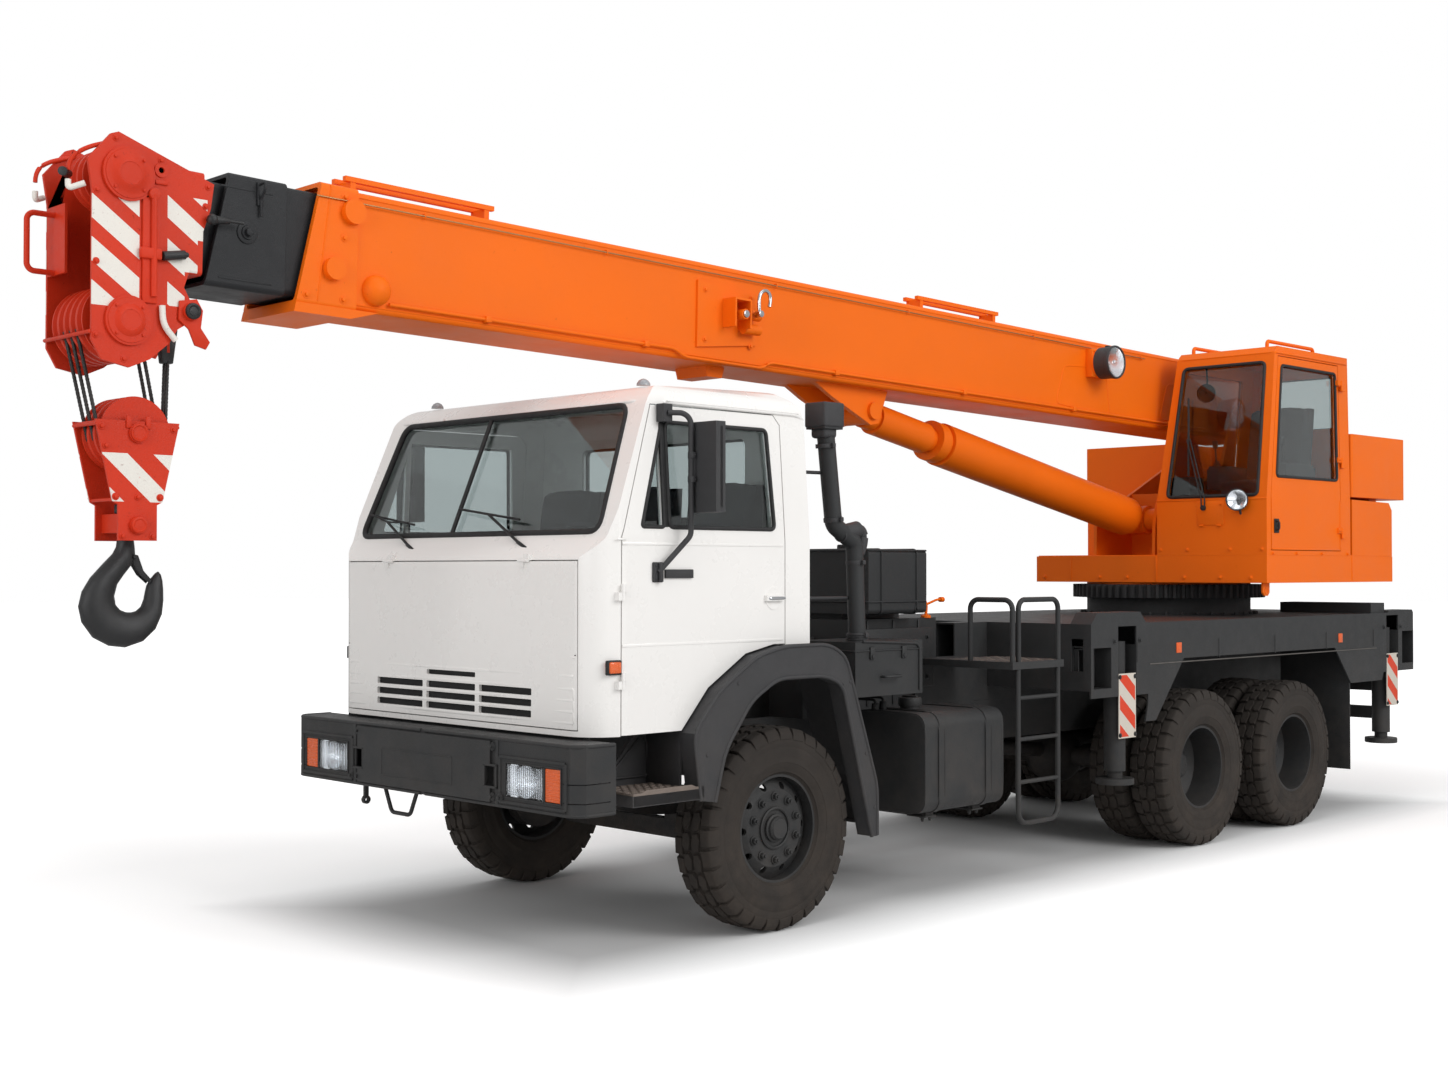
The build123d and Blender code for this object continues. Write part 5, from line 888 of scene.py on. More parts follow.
# %% Clear glass
def make_glass(name, tint, rough=0.0, ior=1.45):
    """Window and lamp glass. It is one solid pane, so the shader can bend and tint light as glass does."""
    material = bpy.data.materials.new(name)
    material.use_nodes = True
    shader = material.node_tree.nodes["Principled BSDF"]
    shader.inputs["Base Color"].default_value = (*tint, 1.0)
    shader.inputs["Roughness"].default_value = rough
    shader.inputs["IOR"].default_value = ior
    shader.inputs["Transmission Weight"].default_value = 1.0
    return material


window_glass = make_glass("window_glass", linear(196, 204, 204), 0.0)
lamp_glass = make_glass("lamp_glass", linear(246, 248, 250), 0.06)
give(window_glass, "cab_glass", "door_glass_left", "door_glass_right", "operator_glass", "operator_door_glass")

# %% Bumper panels, bolts and lamp frames
bumper_low, bumper_high = box("front_bumper")
bumper_foot, bumper_head = bumper_high.z - 0.336, bumper_high.z
bumper_face = bumper_low.y + 0.015
lamps_low, lamps_high = box("head_lamps")
lamp_foot, lamp_head = lamps_low.z, lamps_high.z

shape = bmesh.new()
for s in (1, -1):
    inner, outer = s * 0.655, s * 1.162
    for start, stop in (((inner, lamp_foot - 0.026), (outer, lamp_foot - 0.026)),
                        ((inner, lamp_head + 0.026), (outer, lamp_head + 0.026)),
                        ((inner, lamp_foot - 0.026), (inner, lamp_head + 0.026)),
                        ((outer, lamp_foot - 0.026), (outer, lamp_head + 0.026))):
        pipe(shape, [(x, bumper_face + 0.001, z) for x, z in (start, stop)], 0.011)
    for x in (0.702, 0.998, 1.004, 1.128):
        side_block(shape, s, (x - 0.004, bumper_face - 0.006, lamp_foot - 0.004),
                   (x + 0.004, bumper_face + 0.02, lamp_head + 0.004), 0.0015)
    for z in (lamp_foot - 0.001, lamp_head + 0.001):
        side_block(shape, s, (0.70, bumper_face - 0.006, z - 0.004), (1.13, bumper_face + 0.02, z + 0.004), 0.0015)
    # step between the middle and end pressings, with a cover strip and its screws
    side_block(shape, s, (0.619, bumper_face - 0.006, bumper_foot + 0.004),
               (0.645, bumper_face + 0.006, bumper_head - 0.004), 0.004)
    for x, z in ((0.600, bumper_foot + 0.045), (0.600, bumper_head - 0.045), (0.662, bumper_foot + 0.045)):
        drum(shape, (s * x, bumper_face + 0.004, z), (s * x, bumper_face - 0.010, z), 0.024, 0.022, sides=24)
        bolt(shape, (s * x, bumper_face - 0.010, z), (0, -1, 0), 0.020, 0.010)
    # rolled upper and lower edges
    for z in (bumper_foot + 0.006, bumper_head - 0.006):
        pipe(shape, [(s * 0.02, bumper_face + 0.003, z), (s * (bumper_high.x - 0.062), bumper_face + 0.003, z),
                     (s * (bumper_high.x - 0.004), bumper_face + 0.052, z),
                     (s * (bumper_high.x - 0.004), bumper_face + 0.225, z)], 0.010, 0.03)
# blank plate on the middle panel
for start, stop in (((-0.36, 0.075), (0.27, 0.075)), ((-0.36, 0.215), (0.27, 0.215)),
                    ((-0.36, 0.075), (-0.36, 0.215)), ((0.27, 0.075), (0.27, 0.215))):
    pipe(shape, [(x, bumper_low.y + 0.0015, bumper_foot + z) for x, z in (start, stop)], 0.004)
# frame of each tow opening
for s in (1, -1):
    for dx in (-0.048, 0.048):
        block(shape, (s * 0.590 + dx - 0.006, bumper_low.y - 0.001, bumper_foot + 0.088),
              (s * 0.590 + dx + 0.006, bumper_low.y + 0.02, bumper_foot + 0.204), 0.003)
    for dz in (0.092, 0.200):
        block(shape, (s * 0.590 - 0.054, bumper_low.y - 0.001, bumper_foot + dz - 0.006),
              (s * 0.590 + 0.054, bumper_low.y + 0.02, bumper_foot + dz + 0.006), 0.003)
finish_piece("bumper_trim", shape, chassis_grey, "chassis")

lamp_bowl = make_finish("lamp_bowl", linear(226, 228, 230), 0.10, metallic=1.0, fade=0.02, ripple=0.001)
shape = bmesh.new()
for s in (1, -1):
    middle = Vector((s * 0.850, bumper_face, (lamp_foot + lamp_head) / 2))
    dish = [(0.075, 0.0), (0.072, 0.020), (0.060, 0.045), (0.040, 0.066), (0.014, 0.0775), (0.010, 0.0775),
            (0.055, 0.050), (0.080, 0.0)]
    turned(shape, middle, (0, 1, 0), dish, 40)
    drum(shape, middle + Vector((0, 0.068, 0)), middle + Vector((0, 0.030, 0)), 0.010, 0.008, sides=16)
    block(shape, (middle.x - 0.146, bumper_face + 0.074, lamp_foot + 0.002),
          (middle.x + 0.146, bumper_face + 0.078, lamp_head - 0.002), 0.0)
    for dx in (-0.110, 0.110):
        block(shape, (middle.x + dx - 0.034, bumper_face + 0.020, lamp_foot + 0.004),
              (middle.x + dx + 0.034, bumper_face + 0.030, lamp_head - 0.004), 0.006)
finish_piece("lamp_bowls", shape, lamp_bowl, "chassis")

shape = bmesh.new()
for s in (1, -1):
    side_block(shape, s, (0.706, bumper_face - 0.002, lamp_foot + 0.004),
               (0.994, bumper_face + 0.006, lamp_head - 0.004), 0.003)
    for n in range(17):
        x = s * (0.722 + n * 0.0160)
        drum(shape, (x, bumper_face + 0.004, lamp_foot + 0.012), (x, bumper_face + 0.004, lamp_head - 0.012), 0.0055,
             sides=10, rounding=0)
finish_piece("head_lamp_lenses", shape, lamp_glass, "chassis")

shape = bmesh.new()
for s in (1, -1):
    side_block(shape, s, (1.008, bumper_face - 0.003, lamp_foot + 0.004),
               (1.124, bumper_face + 0.04, lamp_head - 0.004), 0.006)
    for n in range(9):
        z = lamp_foot + 0.016 + n * 0.0168
        drum(shape, (s * 1.016, bumper_face - 0.0025, z), (s * 1.116, bumper_face - 0.0025, z), 0.004, sides=8,
             rounding=0)
finish_piece("amber_lamps", shape, amber_lens, "chassis")
shape = bmesh.new()
for s in (1, -1):
    side_block(shape, s, (0.702, bumper_face + 0.079, lamp_foot + 0.001),
               (1.128, bumper_face + 0.090, lamp_head - 0.001), 0.0)
    for start, stop in ((0.701, 0.704), (0.996, 1.006), (1.126, 1.129)):
        side_block(shape, s, (start, bumper_face + 0.010, lamp_foot), (stop, bumper_face + 0.085, lamp_head), 0.0)
housing = finish_piece("lamp_housings", shape, seal_rubber, "chassis")
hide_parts("head_lamps")

# %% [markdown]
# ## Wheel arches and steps
# The arch is a moulding with a rolled lip. The step is folded steel plate with rows of pressed, drained holes so
# that a boot doesn't slip; here each hole is a small raised ring, as the punch leaves it.

# %% Arch lips and treads
fender_high = box("cab_fenders")[1]
axle_y = (box("tyre_front_left")[0].y + box("tyre_front_left")[1].y) / 2
arch = [(-0.712, 1.095), (-0.525, 1.303), (-0.258, 1.465), (-0.048, 1.508), (0.288, 1.508), (0.425, 1.440),
        (0.683, 0.719)]
inner_arch = [(-0.567, 0.742), (-0.494, 0.997), (-0.304, 1.239), (-0.108, 1.343), (0.256, 1.343), (0.400, 1.290),
              (0.640, 0.441)]
shape = bmesh.new()
for s in (1, -1):
    x = s * (fender_high.x - 0.004)
    pipe(shape, [(x, axle_y + y, z) for y, z in [(-0.664, 0.757), *arch, (0.683, 0.445)]], 0.011, 0.07)
    pipe(shape, [(x, axle_y + y, z) for y, z in inner_arch], 0.012, 0.07)
    # sunk panel on top of the arch
    oblong(shape, "z", 1.5095, (s * 1.165, s * 1.228), (axle_y + 0.020, axle_y + 0.235), 0.005, 0.02)
    for y, z in ((-0.62, 0.98), (-0.40, 1.33), (0.46, 1.30), (0.59, 0.90), (0.66, 0.60)):
        drum(shape, (s * (fender_high.x - 0.002), axle_y + y, z), (s * (fender_high.x + 0.003), axle_y + y, z), 0.010,
             sides=16)
    # moulded back plate beside the step, with a raised frame
    loop(shape, [(s * 0.886, axle_y - 0.98, 0.86), (s * 0.886, axle_y - 0.76, 1.055),
                 (s * 0.886, axle_y - 0.72, 1.055), (s * 0.886, axle_y - 0.70, 0.86)],
         0.006, 0.03)
finish_piece("arch_lips", shape, black_plastic, "chassis")

step_steel = make_finish("step_steel", linear(118, 106, 98), 0.6, metallic=0.25, fade=0.25, patch=9.0, ripple=0.02,
                         dust=0.35)
shape = bmesh.new()
for s in (1, -1):
    front, back, top = axle_y - 1.120, axle_y - 0.640, 0.820
    side_block(shape, s, (0.90, front + 0.004, top), (1.238, back - 0.004, top + 0.004), 0.002)
    side_block(shape, s, (0.90, front + 0.002, top - 0.052), (1.238, front + 0.008, top + 0.012), 0.002)
    edge = s * 1.236
    half_cheek = [(0.004, -0.052), (0.004, 0.012), (0.06, 0.012), (0.09, 0.024)]
    cheek = [(front + y, top + z) for y, z in half_cheek] + [(back - y, top + z) for y, z in reversed(half_cheek)]
    side_plate(shape, cheek, edge, edge + s * 0.004, 0.001)
    for row in range(5):
        for column in range(9):
            spot = Vector((s * (0.945 + row * 0.062), front + 0.055 + column * 0.047, top + 0.003))
            turned(shape, spot, (0, 0, 1), [(0.0, 0.019), (0.005, 0.017), (0.006, 0.014), (0.004, 0.012),
                                            (0.0, 0.012), (0.0, 0.019)], 14)
finish_piece("step_treads", shape, step_steel, "chassis")
# Painted shade: a near-black disc inside each raised ring stands for the shade seen through the hole.
shape = bmesh.new()
for s in (1, -1):
    for row in range(5):
        for column in range(9):
            spot = Vector((s * (0.945 + row * 0.062), axle_y - 1.065 + column * 0.047, 0.8245))
            drum(shape, spot, spot + Vector((0, 0, 0.0008)), 0.012, rounding=0, sides=12)
finish_piece("step_hole_painted_shade", shape, gap_shade_black, "chassis")

# %% [markdown]
# ## Tank, boxes, ladder
# The tank is rolled sheet with flanged ends, held by two steel straps over rubber. Filler cap and vent stand on
# top. The oil tank and the side box are folded sheet with lids, latches and lifting eyes.

# %% Fuel tank fittings
tank_low, tank_high = box("fuel_tank")
tank_y = (tank_low.y, tank_high.y)
tank_x, tank_z = (0.650, 1.200), (0.503, 1.080)
shape = bmesh.new()


def tank_ring(y, grow, radius):
    """A pipe bent round the tank's section, which shows as a flange or as the edge of a strap."""
    oblong(shape, "y", y, (tank_x[0] - grow, tank_x[1] + grow), (tank_z[0] - grow, tank_z[1] + grow),
           radius, 0.125, 9)


for y in (tank_y[0] + 0.006, tank_y[1] - 0.006):
    tank_ring(y, -0.003, 0.0075)
for y in (tank_y[0] + 0.150, tank_y[1] - 0.150):
    for dy in (-0.027, 0.027):
        tank_ring(y + dy, 0.0045, 0.004)
    block(shape, (0.98, y - 0.050, tank_z[0] - 0.034), (1.12, y + 0.050, tank_z[0] - 0.024), 0.002)
    for dy in (-0.034, 0.034):
        drum(shape, (1.085, y + dy, tank_z[0] - 0.06), (1.085, y + dy, tank_z[0] - 0.004), 0.008, sides=12)
        bolt(shape, (1.085, y + dy, tank_z[0] - 0.034), (0, 0, -1), 0.022, 0.014)
cap = Vector((0.900, tank_y[0] + 0.230, tank_z[1] + 0.02))
turned(shape, cap, (0, 0, 1), [(0.0, 0.0), (0.0, 0.068), (0.012, 0.070), (0.040, 0.070), (0.050, 0.066),
                               (0.053, 0.056), (0.046, 0.052), (0.050, 0.0)], 40)
block(shape, cap + Vector((-0.055, -0.009, 0.046)), cap + Vector((0.055, 0.009, 0.062)), 0.004)
for dy, tall in ((0.13, 0.020), (0.20, 0.030)):
    drum(shape, cap + Vector((-0.10, dy - 0.33, -0.025)), cap + Vector((-0.10, dy - 0.33, tall)), 0.024, 0.020,
         sides=20)
    pipe(shape, [cap + Vector((-0.10, dy - 0.33, tall)), cap + Vector((-0.10, dy - 0.33, tall + 0.02)),
                 cap + Vector((-0.28, dy - 0.33, tall + 0.02)), cap + Vector((-0.34, dy - 0.33, -0.03))], 0.008, 0.02)
finish_piece("tank_fittings", shape, chassis_grey, "chassis")

# %% Boxes behind the cab
shape = bmesh.new()
oil_low, oil_high = Vector((-0.120, axle_y + 1.400, 1.636)), Vector((0.560, axle_y + 1.960, 2.033))
for z, grow in ((oil_high.z - 0.004, 0.004), (oil_low.z + 0.075, 0.003)):
    oblong(shape, "z", z, (oil_low.x - grow, oil_high.x + grow), (oil_low.y - grow, oil_high.y + grow), 0.006, 0.03)
for y in (oil_high.y - 0.10, oil_low.y + 0.12):
    loop(shape, [(oil_low.x - 0.002, y, oil_low.z), (oil_low.x - 0.002, y, oil_high.z + 0.002),
                 (oil_high.x + 0.002, y, oil_high.z + 0.002), (oil_high.x + 0.002, y, oil_low.z)], 0.007, 0.03)
turned(shape, (0.16, oil_low.y + 0.25, oil_high.z), (0, 0, 1),
       [(0.0, 0.0), (0.0, 0.060), (0.030, 0.060), (0.036, 0.054), (0.036, 0.0)], 32)
bolt(shape, (oil_high.x, oil_high.y - 0.10, oil_low.z + 0.03), (1, 0, 0), 0.022)
# side box: lid edge, latches and a handle
side_low, side_high = Vector((0.600, axle_y + 0.705, 1.190)), Vector((1.060, axle_y + 1.300, 1.500))
oblong(shape, "z", side_high.z - 0.05, (side_low.x, side_high.x + 0.002), (side_low.y - 0.002, side_high.y + 0.002),
       0.005, 0.02)
pipe(shape, [(side_high.x + 0.004, side_high.y - 0.03, side_low.z + 0.02),
             (side_high.x + 0.004, side_high.y - 0.03, side_high.z - 0.02),
             (side_high.x + 0.004, side_low.y + 0.06, side_high.z + 0.004)], 0.008, 0.05)
for y in (side_low.y + 0.14, side_low.y + 0.42):
    block(shape, (side_high.x, y - 0.02, side_high.z - 0.10), (side_high.x + 0.012, y + 0.02, side_high.z - 0.03),
          0.003)
    drum(shape, (side_high.x + 0.012, y, side_high.z - 0.085), (side_high.x + 0.018, y, side_high.z - 0.085), 0.012,
         sides=16)
pipe(shape, [(side_high.x + 0.006, side_low.y + 0.22, 1.30), (side_high.x + 0.045, side_low.y + 0.22, 1.30),
             (side_high.x + 0.045, side_low.y + 0.36, 1.30), (side_high.x + 0.006, side_low.y + 0.36, 1.30)], 0.008,
     0.02)
# lower box: ribs and a hatch
for y in (1.55, 1.80, 2.05):
    block(shape, (0.420, axle_y + y - 0.012, 1.06), (0.428, axle_y + y + 0.012, 1.59), 0.003)
block(shape, (0.44, axle_y + 1.46, 1.16), (0.452, axle_y + 2.16, 1.54), 0.006)
for y in (1.52, 2.10):
    bolt(shape, (0.452, axle_y + y, 1.48), (1, 0, 0), 0.020)
    bolt(shape, (0.452, axle_y + y, 1.22), (1, 0, 0), 0.020)
finish_piece("box_lids", shape, chassis_grey, "chassis")

# %% [markdown]
# The air intake is a moulded stack. Clamps with a screw hold its elbow, a rubber boot joins it to the box, and its
# head has louvres that face back.

# %% Air intake
shape = bmesh.new()
head_low, head_high = Vector((0.922, axle_y + 0.432, 2.700)), Vector((1.078, axle_y + 0.598, 2.838))
block(shape, head_low, head_high, 0.012, 3)
for n in range(5):
    z = head_low.z + 0.022 + n * 0.022
    block(shape, (0.935, head_high.y - 0.001, z), (1.065, head_high.y + 0.005, z + 0.010), 0.002)
block(shape, (0.945, axle_y + 0.455, 2.640), (1.055, axle_y + 0.565, 2.705), 0.02, 3)
for spot, way, radius in (((1.0, axle_y + 0.790, 1.540), (0, 0, 1), 0.058),
                          ((1.0, axle_y + 0.772, 1.95), (0, -0.05, 1), 0.054),
                          ((1.0, axle_y + 0.585, 2.190), (0, -0.16, 1), 0.054),
                          ((1.0, axle_y + 0.520, 2.60), (0, -0.1, 1), 0.054)):
    way = Vector(way).normalized()
    drum(shape, Vector(spot) - way * 0.012, Vector(spot) + way * 0.012, radius, sides=32)
    block(shape, Vector(spot) + Vector((radius - 0.002, -0.012, -0.012)),
          Vector(spot) + Vector((radius + 0.018, 0.012, 0.012)), 0.003)
for n in range(5):
    drum(shape, (1.0, axle_y + 0.790, 1.500 + n * 0.010), (1.0, axle_y + 0.790, 1.506 + n * 0.010), 0.066, sides=32)
# elbow of the side inlet
drum(shape, (1.0, axle_y + 0.64, 2.110), (1.0, axle_y + 0.79, 2.138), 0.048, sides=28)
pipe(shape, [(1.0, axle_y + 0.77, 2.134), (1.0, axle_y + 0.83, 2.140), (1.0, axle_y + 0.835, 2.06),
             (1.0, axle_y + 0.80, 2.00)], 0.036, 0.05)
# stay to the cab's rear wall
for z in (1.75, 2.45):
    pipe(shape, [(0.98, axle_y + (0.78 if z < 2 else 0.54), z), (0.94, cab_rear + 0.02, z)], 0.010)
finish_piece("air_intake_fittings", shape, black_plastic, "chassis")

# %% [markdown]
# The landing at the ladder's head is chequer plate: a grid of small raised bars in alternating directions.

# %% Landing tread, pads and lever
shape = bmesh.new()
landing_x, landing_y, landing_z = (0.719, 1.250), (axle_y + 1.925, axle_y + 2.460), 1.350
for column in range(10):
    for row in range(10):
        spot = Vector((landing_x[0] + 0.035 + column * 0.051, landing_y[0] + 0.035 + row * 0.0515, landing_z + 0.001))
        turn = Matrix.Rotation(radians(45 if (row + column) % 2 else -45), 4, "Z")
        block(shape, spot + Vector((-0.017, -0.0035, -0.001)), spot + Vector((0.017, 0.0035, 0.002)), 0.0, turn=turn)
finish_piece("landing_tread", shape, step_steel, "chassis")
shape = bmesh.new()
lever = Vector((0.400, axle_y + 2.150, 1.600))
pipe(shape, [lever, lever + Vector((0, 0.01, 0.09)), lever + Vector((0.0, -0.05, 0.15))], 0.010, 0.03)
pipe(shape, [lever + Vector((0, 0.01, 0.085)), lever + Vector((0.02, 0.09, 0.115)),
             lever + Vector((0.02, 0.13, 0.115))], 0.008, 0.02)
drum(shape, lever + Vector((0.02, 0.12, 0.115)), lever + Vector((0.02, 0.155, 0.115)), 0.017, sides=20)
turned(shape, lever, (0, 0, 1), [(-0.002, 0.0), (-0.002, 0.034), (0.014, 0.032), (0.020, 0.018), (0.020, 0.0)], 24)
finish_piece("valve_lever", shape, crane_orange, "chassis")

# %% [markdown]
# Air and oil lines hang between the boxes and the frame. They are clipped at both ends, so they are short fixed
# hoses in a bundle, each with its own sag.

# %% Hoses behind the cab
shape = bmesh.new()
for n in range(6):
    start = Vector((0.94 - 0.035 * n, axle_y + 0.84 + 0.02 * (n % 2), 1.205))
    end = Vector((0.50 - 0.02 * n, axle_y + 1.05 + 0.06 * n, 1.115))
    low_point = (start + end) / 2 + Vector((0.06, 0.02 * n, -0.10 - 0.018 * n))
    pipe(shape, [start, start + Vector((0.02, 0.02, -0.06)), low_point, end + Vector((0.05, 0, -0.03)), end],
         0.010 + 0.002 * (n % 3), soft=True)
for n in range(4):
    start = Vector((0.30 - 0.09 * n, axle_y + 0.62, 1.30))
    end = Vector((0.30 - 0.09 * n, axle_y + 1.40, 1.42 + 0.03 * n))
    pipe(shape, [start, start + Vector((0, 0.22, 0.02)), (start + end) / 2 + Vector((0.02 * n, 0, -0.10)),
                 end - Vector((0, 0.14, 0.02)), end], 0.014, soft=True)
finish_piece("service_hoses", shape, seal_rubber, "chassis")

# %% [markdown]
# ## Superstructure
# The operator's booth has bonded rubber round its panes, a big wiper with a double arm on the front pane, a hatch
# in the front wall, a lamp on the corner and rails on the roof. The platform is welded plate in three lengths.

# %% Booth rubbers and door parts
platform_low, platform_high = box("slew_platform")
booth_low = box("operator_cab")[0]
booth_front = booth_low.y
booth_rear = booth_front + 1.327
booth_inner, booth_outer = booth_low.x, 1.230
platform_top = 2.016


def booth_lean(z):
    """How far back the front wall stands at a height."""
    return booth_front + max(0.0, z - 2.440) * 0.165 / 1.085


def booth_side(z):
    """Where the booth's outer wall, which leans in above the belt line, stands at a height."""
    return booth_outer - max(0.0, z - 2.440) * 0.020 / 1.130


shape = bmesh.new()
front_pane = [(booth_inner + 0.090, 2.460), (booth_inner + 0.150, 3.450), (booth_outer - 0.090, 3.450),
              (booth_outer - 0.075, 2.460)]
loop(shape, [(x, booth_lean(z) - 0.001, z) for x, z in front_pane], 0.013, 0.04)
loop(shape, [(booth_inner + 0.180, booth_rear + 0.001, 3.020), (booth_inner + 0.180, booth_rear + 0.001, 3.430),
             (booth_outer - 0.130, booth_rear + 0.001, 3.430), (booth_outer - 0.130, booth_rear + 0.001, 3.020)],
     0.010, 0.03)
# wiper: motor cover, two arms, cross piece and blade
pivot = Vector((0.720, booth_front - 0.003, 2.373))
block(shape, pivot + Vector((-0.045, 0.0, -0.030)), pivot + Vector((0.045, 0.03, 0.030)), 0.006)
top = Vector((0.560, booth_lean(2.90) - 0.018, 2.90))
for dx in (-0.014, 0.014):
    pipe(shape, [pivot + Vector((dx, -0.014, 0.0)), Vector((pivot.x + dx, booth_lean(2.44) - 0.020, 2.44)),
                 top + Vector((dx, 0, 0))], 0.005)
drum(shape, pivot + Vector((0, 0.01, 0)), pivot + Vector((0, -0.022, 0)), 0.020, sides=20)
ends = [Vector((0.560 + dx, booth_lean(z) - 0.010, z)) for dx, z in ((0.020, 2.62), (-0.030, 3.22))]
pipe(shape, ends, 0.0065)
strip(shape, ends[0] + Vector((0, -0.003, 0)), ends[1] + Vector((0, -0.003, 0)), (0.012, 0, 0), (0, -0.006, 0))
finish_piece("booth_rubbers", shape, seal_rubber, "turntable")

shape = bmesh.new()
door_pane = [(booth_front + 0.150, 2.600), (booth_front + 0.260, 3.430), (booth_rear - 0.215, 3.430),
             (booth_rear - 0.215, 2.600)]
loop(shape, [(booth_side(z) + 0.001, y, z) for y, z in door_pane], 0.011, 0.035)
# handle with its lock, and a grab bar inside the pane
block(shape, (booth_outer, booth_front + 0.105, 2.180), (booth_outer + 0.008, booth_front + 0.175, 2.285), 0.004)
pipe(shape, [(booth_outer + 0.006, booth_front + 0.122, 2.200), (booth_outer + 0.034, booth_front + 0.122, 2.205),
             (booth_outer + 0.034, booth_front + 0.122, 2.262),
             (booth_outer + 0.006, booth_front + 0.122, 2.268)], 0.008, 0.015)
drum(shape, (booth_outer, booth_front + 0.155, 2.235), (booth_outer + 0.012, booth_front + 0.155, 2.235), 0.012,
     sides=20)
finish_piece("booth_door_rubber", shape, seal_rubber, "operator_door")

# %% Booth sheet metal: hatch, gutter, hinges, rails
shape = bmesh.new()
block(shape, (0.661, booth_front - 0.006, 2.242), (0.885, booth_front + 0.004, 2.427), 0.004)
for x in (0.70, 0.845):
    drum(shape, (x - 0.018, booth_front - 0.008, 2.238), (x + 0.018, booth_front - 0.008, 2.238), 0.007, sides=12)
bolt(shape, (0.860, booth_front - 0.006, 2.400), (0, -1, 0), 0.016, 0.006)
# gutter round the roof and fold over the front pane
booth_gutter_z = 3.520
oblong(shape, "z", booth_gutter_z, (booth_inner + 0.100, booth_side(booth_gutter_z) + 0.004),
       (booth_lean(booth_gutter_z) + 0.004, booth_rear - 0.010), 0.008, 0.04)
# belt line under the panes
block(shape, (booth_inner - 0.002, booth_front - 0.004, 2.428), (booth_outer + 0.002, booth_front + 0.010, 2.440),
      0.003)
for x in (booth_inner + 0.03, booth_inner + 0.26, booth_outer - 0.30, booth_outer - 0.04):
    bolt(shape, (x, booth_front, 2.060), (0, -1, 0), 0.018, 0.008)
for y in (booth_front + 0.09, booth_front + 0.45, booth_front + 0.85, booth_rear - 0.05):
    bolt(shape, (booth_outer, y, 2.030), (1, 0, 0), 0.018, 0.008)
finish_piece("booth_fittings", shape, crane_orange, "turntable")
shape = bmesh.new()
for z in (2.150, 2.700, 3.300):
    for dy in (-0.045, -0.028):
        bolt(shape, (booth_side(z) + 0.019, booth_rear - 0.163 + dy, z + 0.060), (1, 0, 0), 0.012, 0.004,
             washer=False)
# shadow groove round the door leaf
y_from, y_to = booth_front + 0.075, booth_rear - 0.172
for a, b in (((y_from, 2.062), (y_to, 2.062)), ((y_from, 2.062), (y_from, 2.440)), ((y_to, 2.062), (y_to, 2.440))):
    strip(shape, (booth_outer - 0.0005, *a), (booth_outer - 0.0005, *b),
          (0, 0.012 if a[0] == b[0] else 0, 0.012 if a[1] == b[1] else 0), (0.003, 0, 0), 0.001)
finish_piece("booth_door_fittings", shape, crane_orange, "operator_door")

# %% [markdown]
# A round work lamp has a pressed black bowl, a chromed reflector and a clear glass. One sits at the booth's lower
# corner; the one on the boom has the same three parts and is drawn on its own.

# %% Work lamps
def work_lamp(name, place, way, size, body, foot):
    """A lamp in three pieces that looks along a direction, on a stalk from its foot."""
    place, way, foot = Vector(place), Vector(way).normalized(), Vector(foot)
    shape = bmesh.new()
    turned(shape, place, way, [(-size * 0.75, 0.0), (-size * 0.72, size * 0.35), (-size * 0.4, size * 0.78),
                               (-0.004, size), (0.006, size * 1.03),
                               (0.010, size), (0.006, size * 0.93), (-0.006, size * 0.93), (-size * 0.4, size * 0.6),
                               (-size * 0.7, 0.0)], 32)
    pipe(shape, [place - way * size * 0.3, (place - way * size * 0.3) * 0.3 + foot * 0.7, foot], 0.009, 0.01)
    finish_piece(f"{name}_bowl", shape, black_plastic, body)
    shape = bmesh.new()
    turned(shape, place, way, [(-0.006, size * 0.92), (-size * 0.35, size * 0.62), (-size * 0.60, size * 0.12),
                               (-size * 0.60, 0.0), (-size * 0.62, 0.0),
                               (-size * 0.62, size * 0.14), (-size * 0.37, size * 0.66), (-0.008, size * 0.93),
                               (-0.006, size * 0.92)], 32)
    finish_piece(f"{name}_mirror", shape, lamp_bowl, body)
    shape = bmesh.new()
    turned(shape, place, way, [(0.0, 0.0), (0.001, size * 0.5), (-0.003, size * 0.925), (-0.007, size * 0.925),
                               (-0.003, size * 0.5), (-0.003, 0.0)], 32)
    finish_piece(f"{name}_glass", shape, lamp_glass, body)


work_lamp("booth_lamp", (1.030, booth_front - 0.070, 2.425), (0.30, -1, -0.12), 0.080, "turntable",
          (1.020, booth_front + 0.004, 2.320))

# %% Platform seams, lugs and side box
shape = bmesh.new()
face = platform_low.y
for x in (-0.469, 0.306):
    strip(shape, (x, face + 0.0005, 1.820), (x, face + 0.0005, 2.010), (0.014, 0, 0), (0, -0.004, 0), 0.0015)
edge_x, seam_y = platform_high.x - 0.0005, booth_rear + 0.030
strip(shape, (edge_x, seam_y, 1.820), (edge_x, seam_y, 2.010), (0, 0.012, 0), (0.004, 0, 0), 0.0015)
pipe(shape, [(-0.785, face + 0.012, 2.017), (1.222, face + 0.012, 2.017), (1.222, booth_rear + 0.6, 2.017)], 0.006,
     0.02)
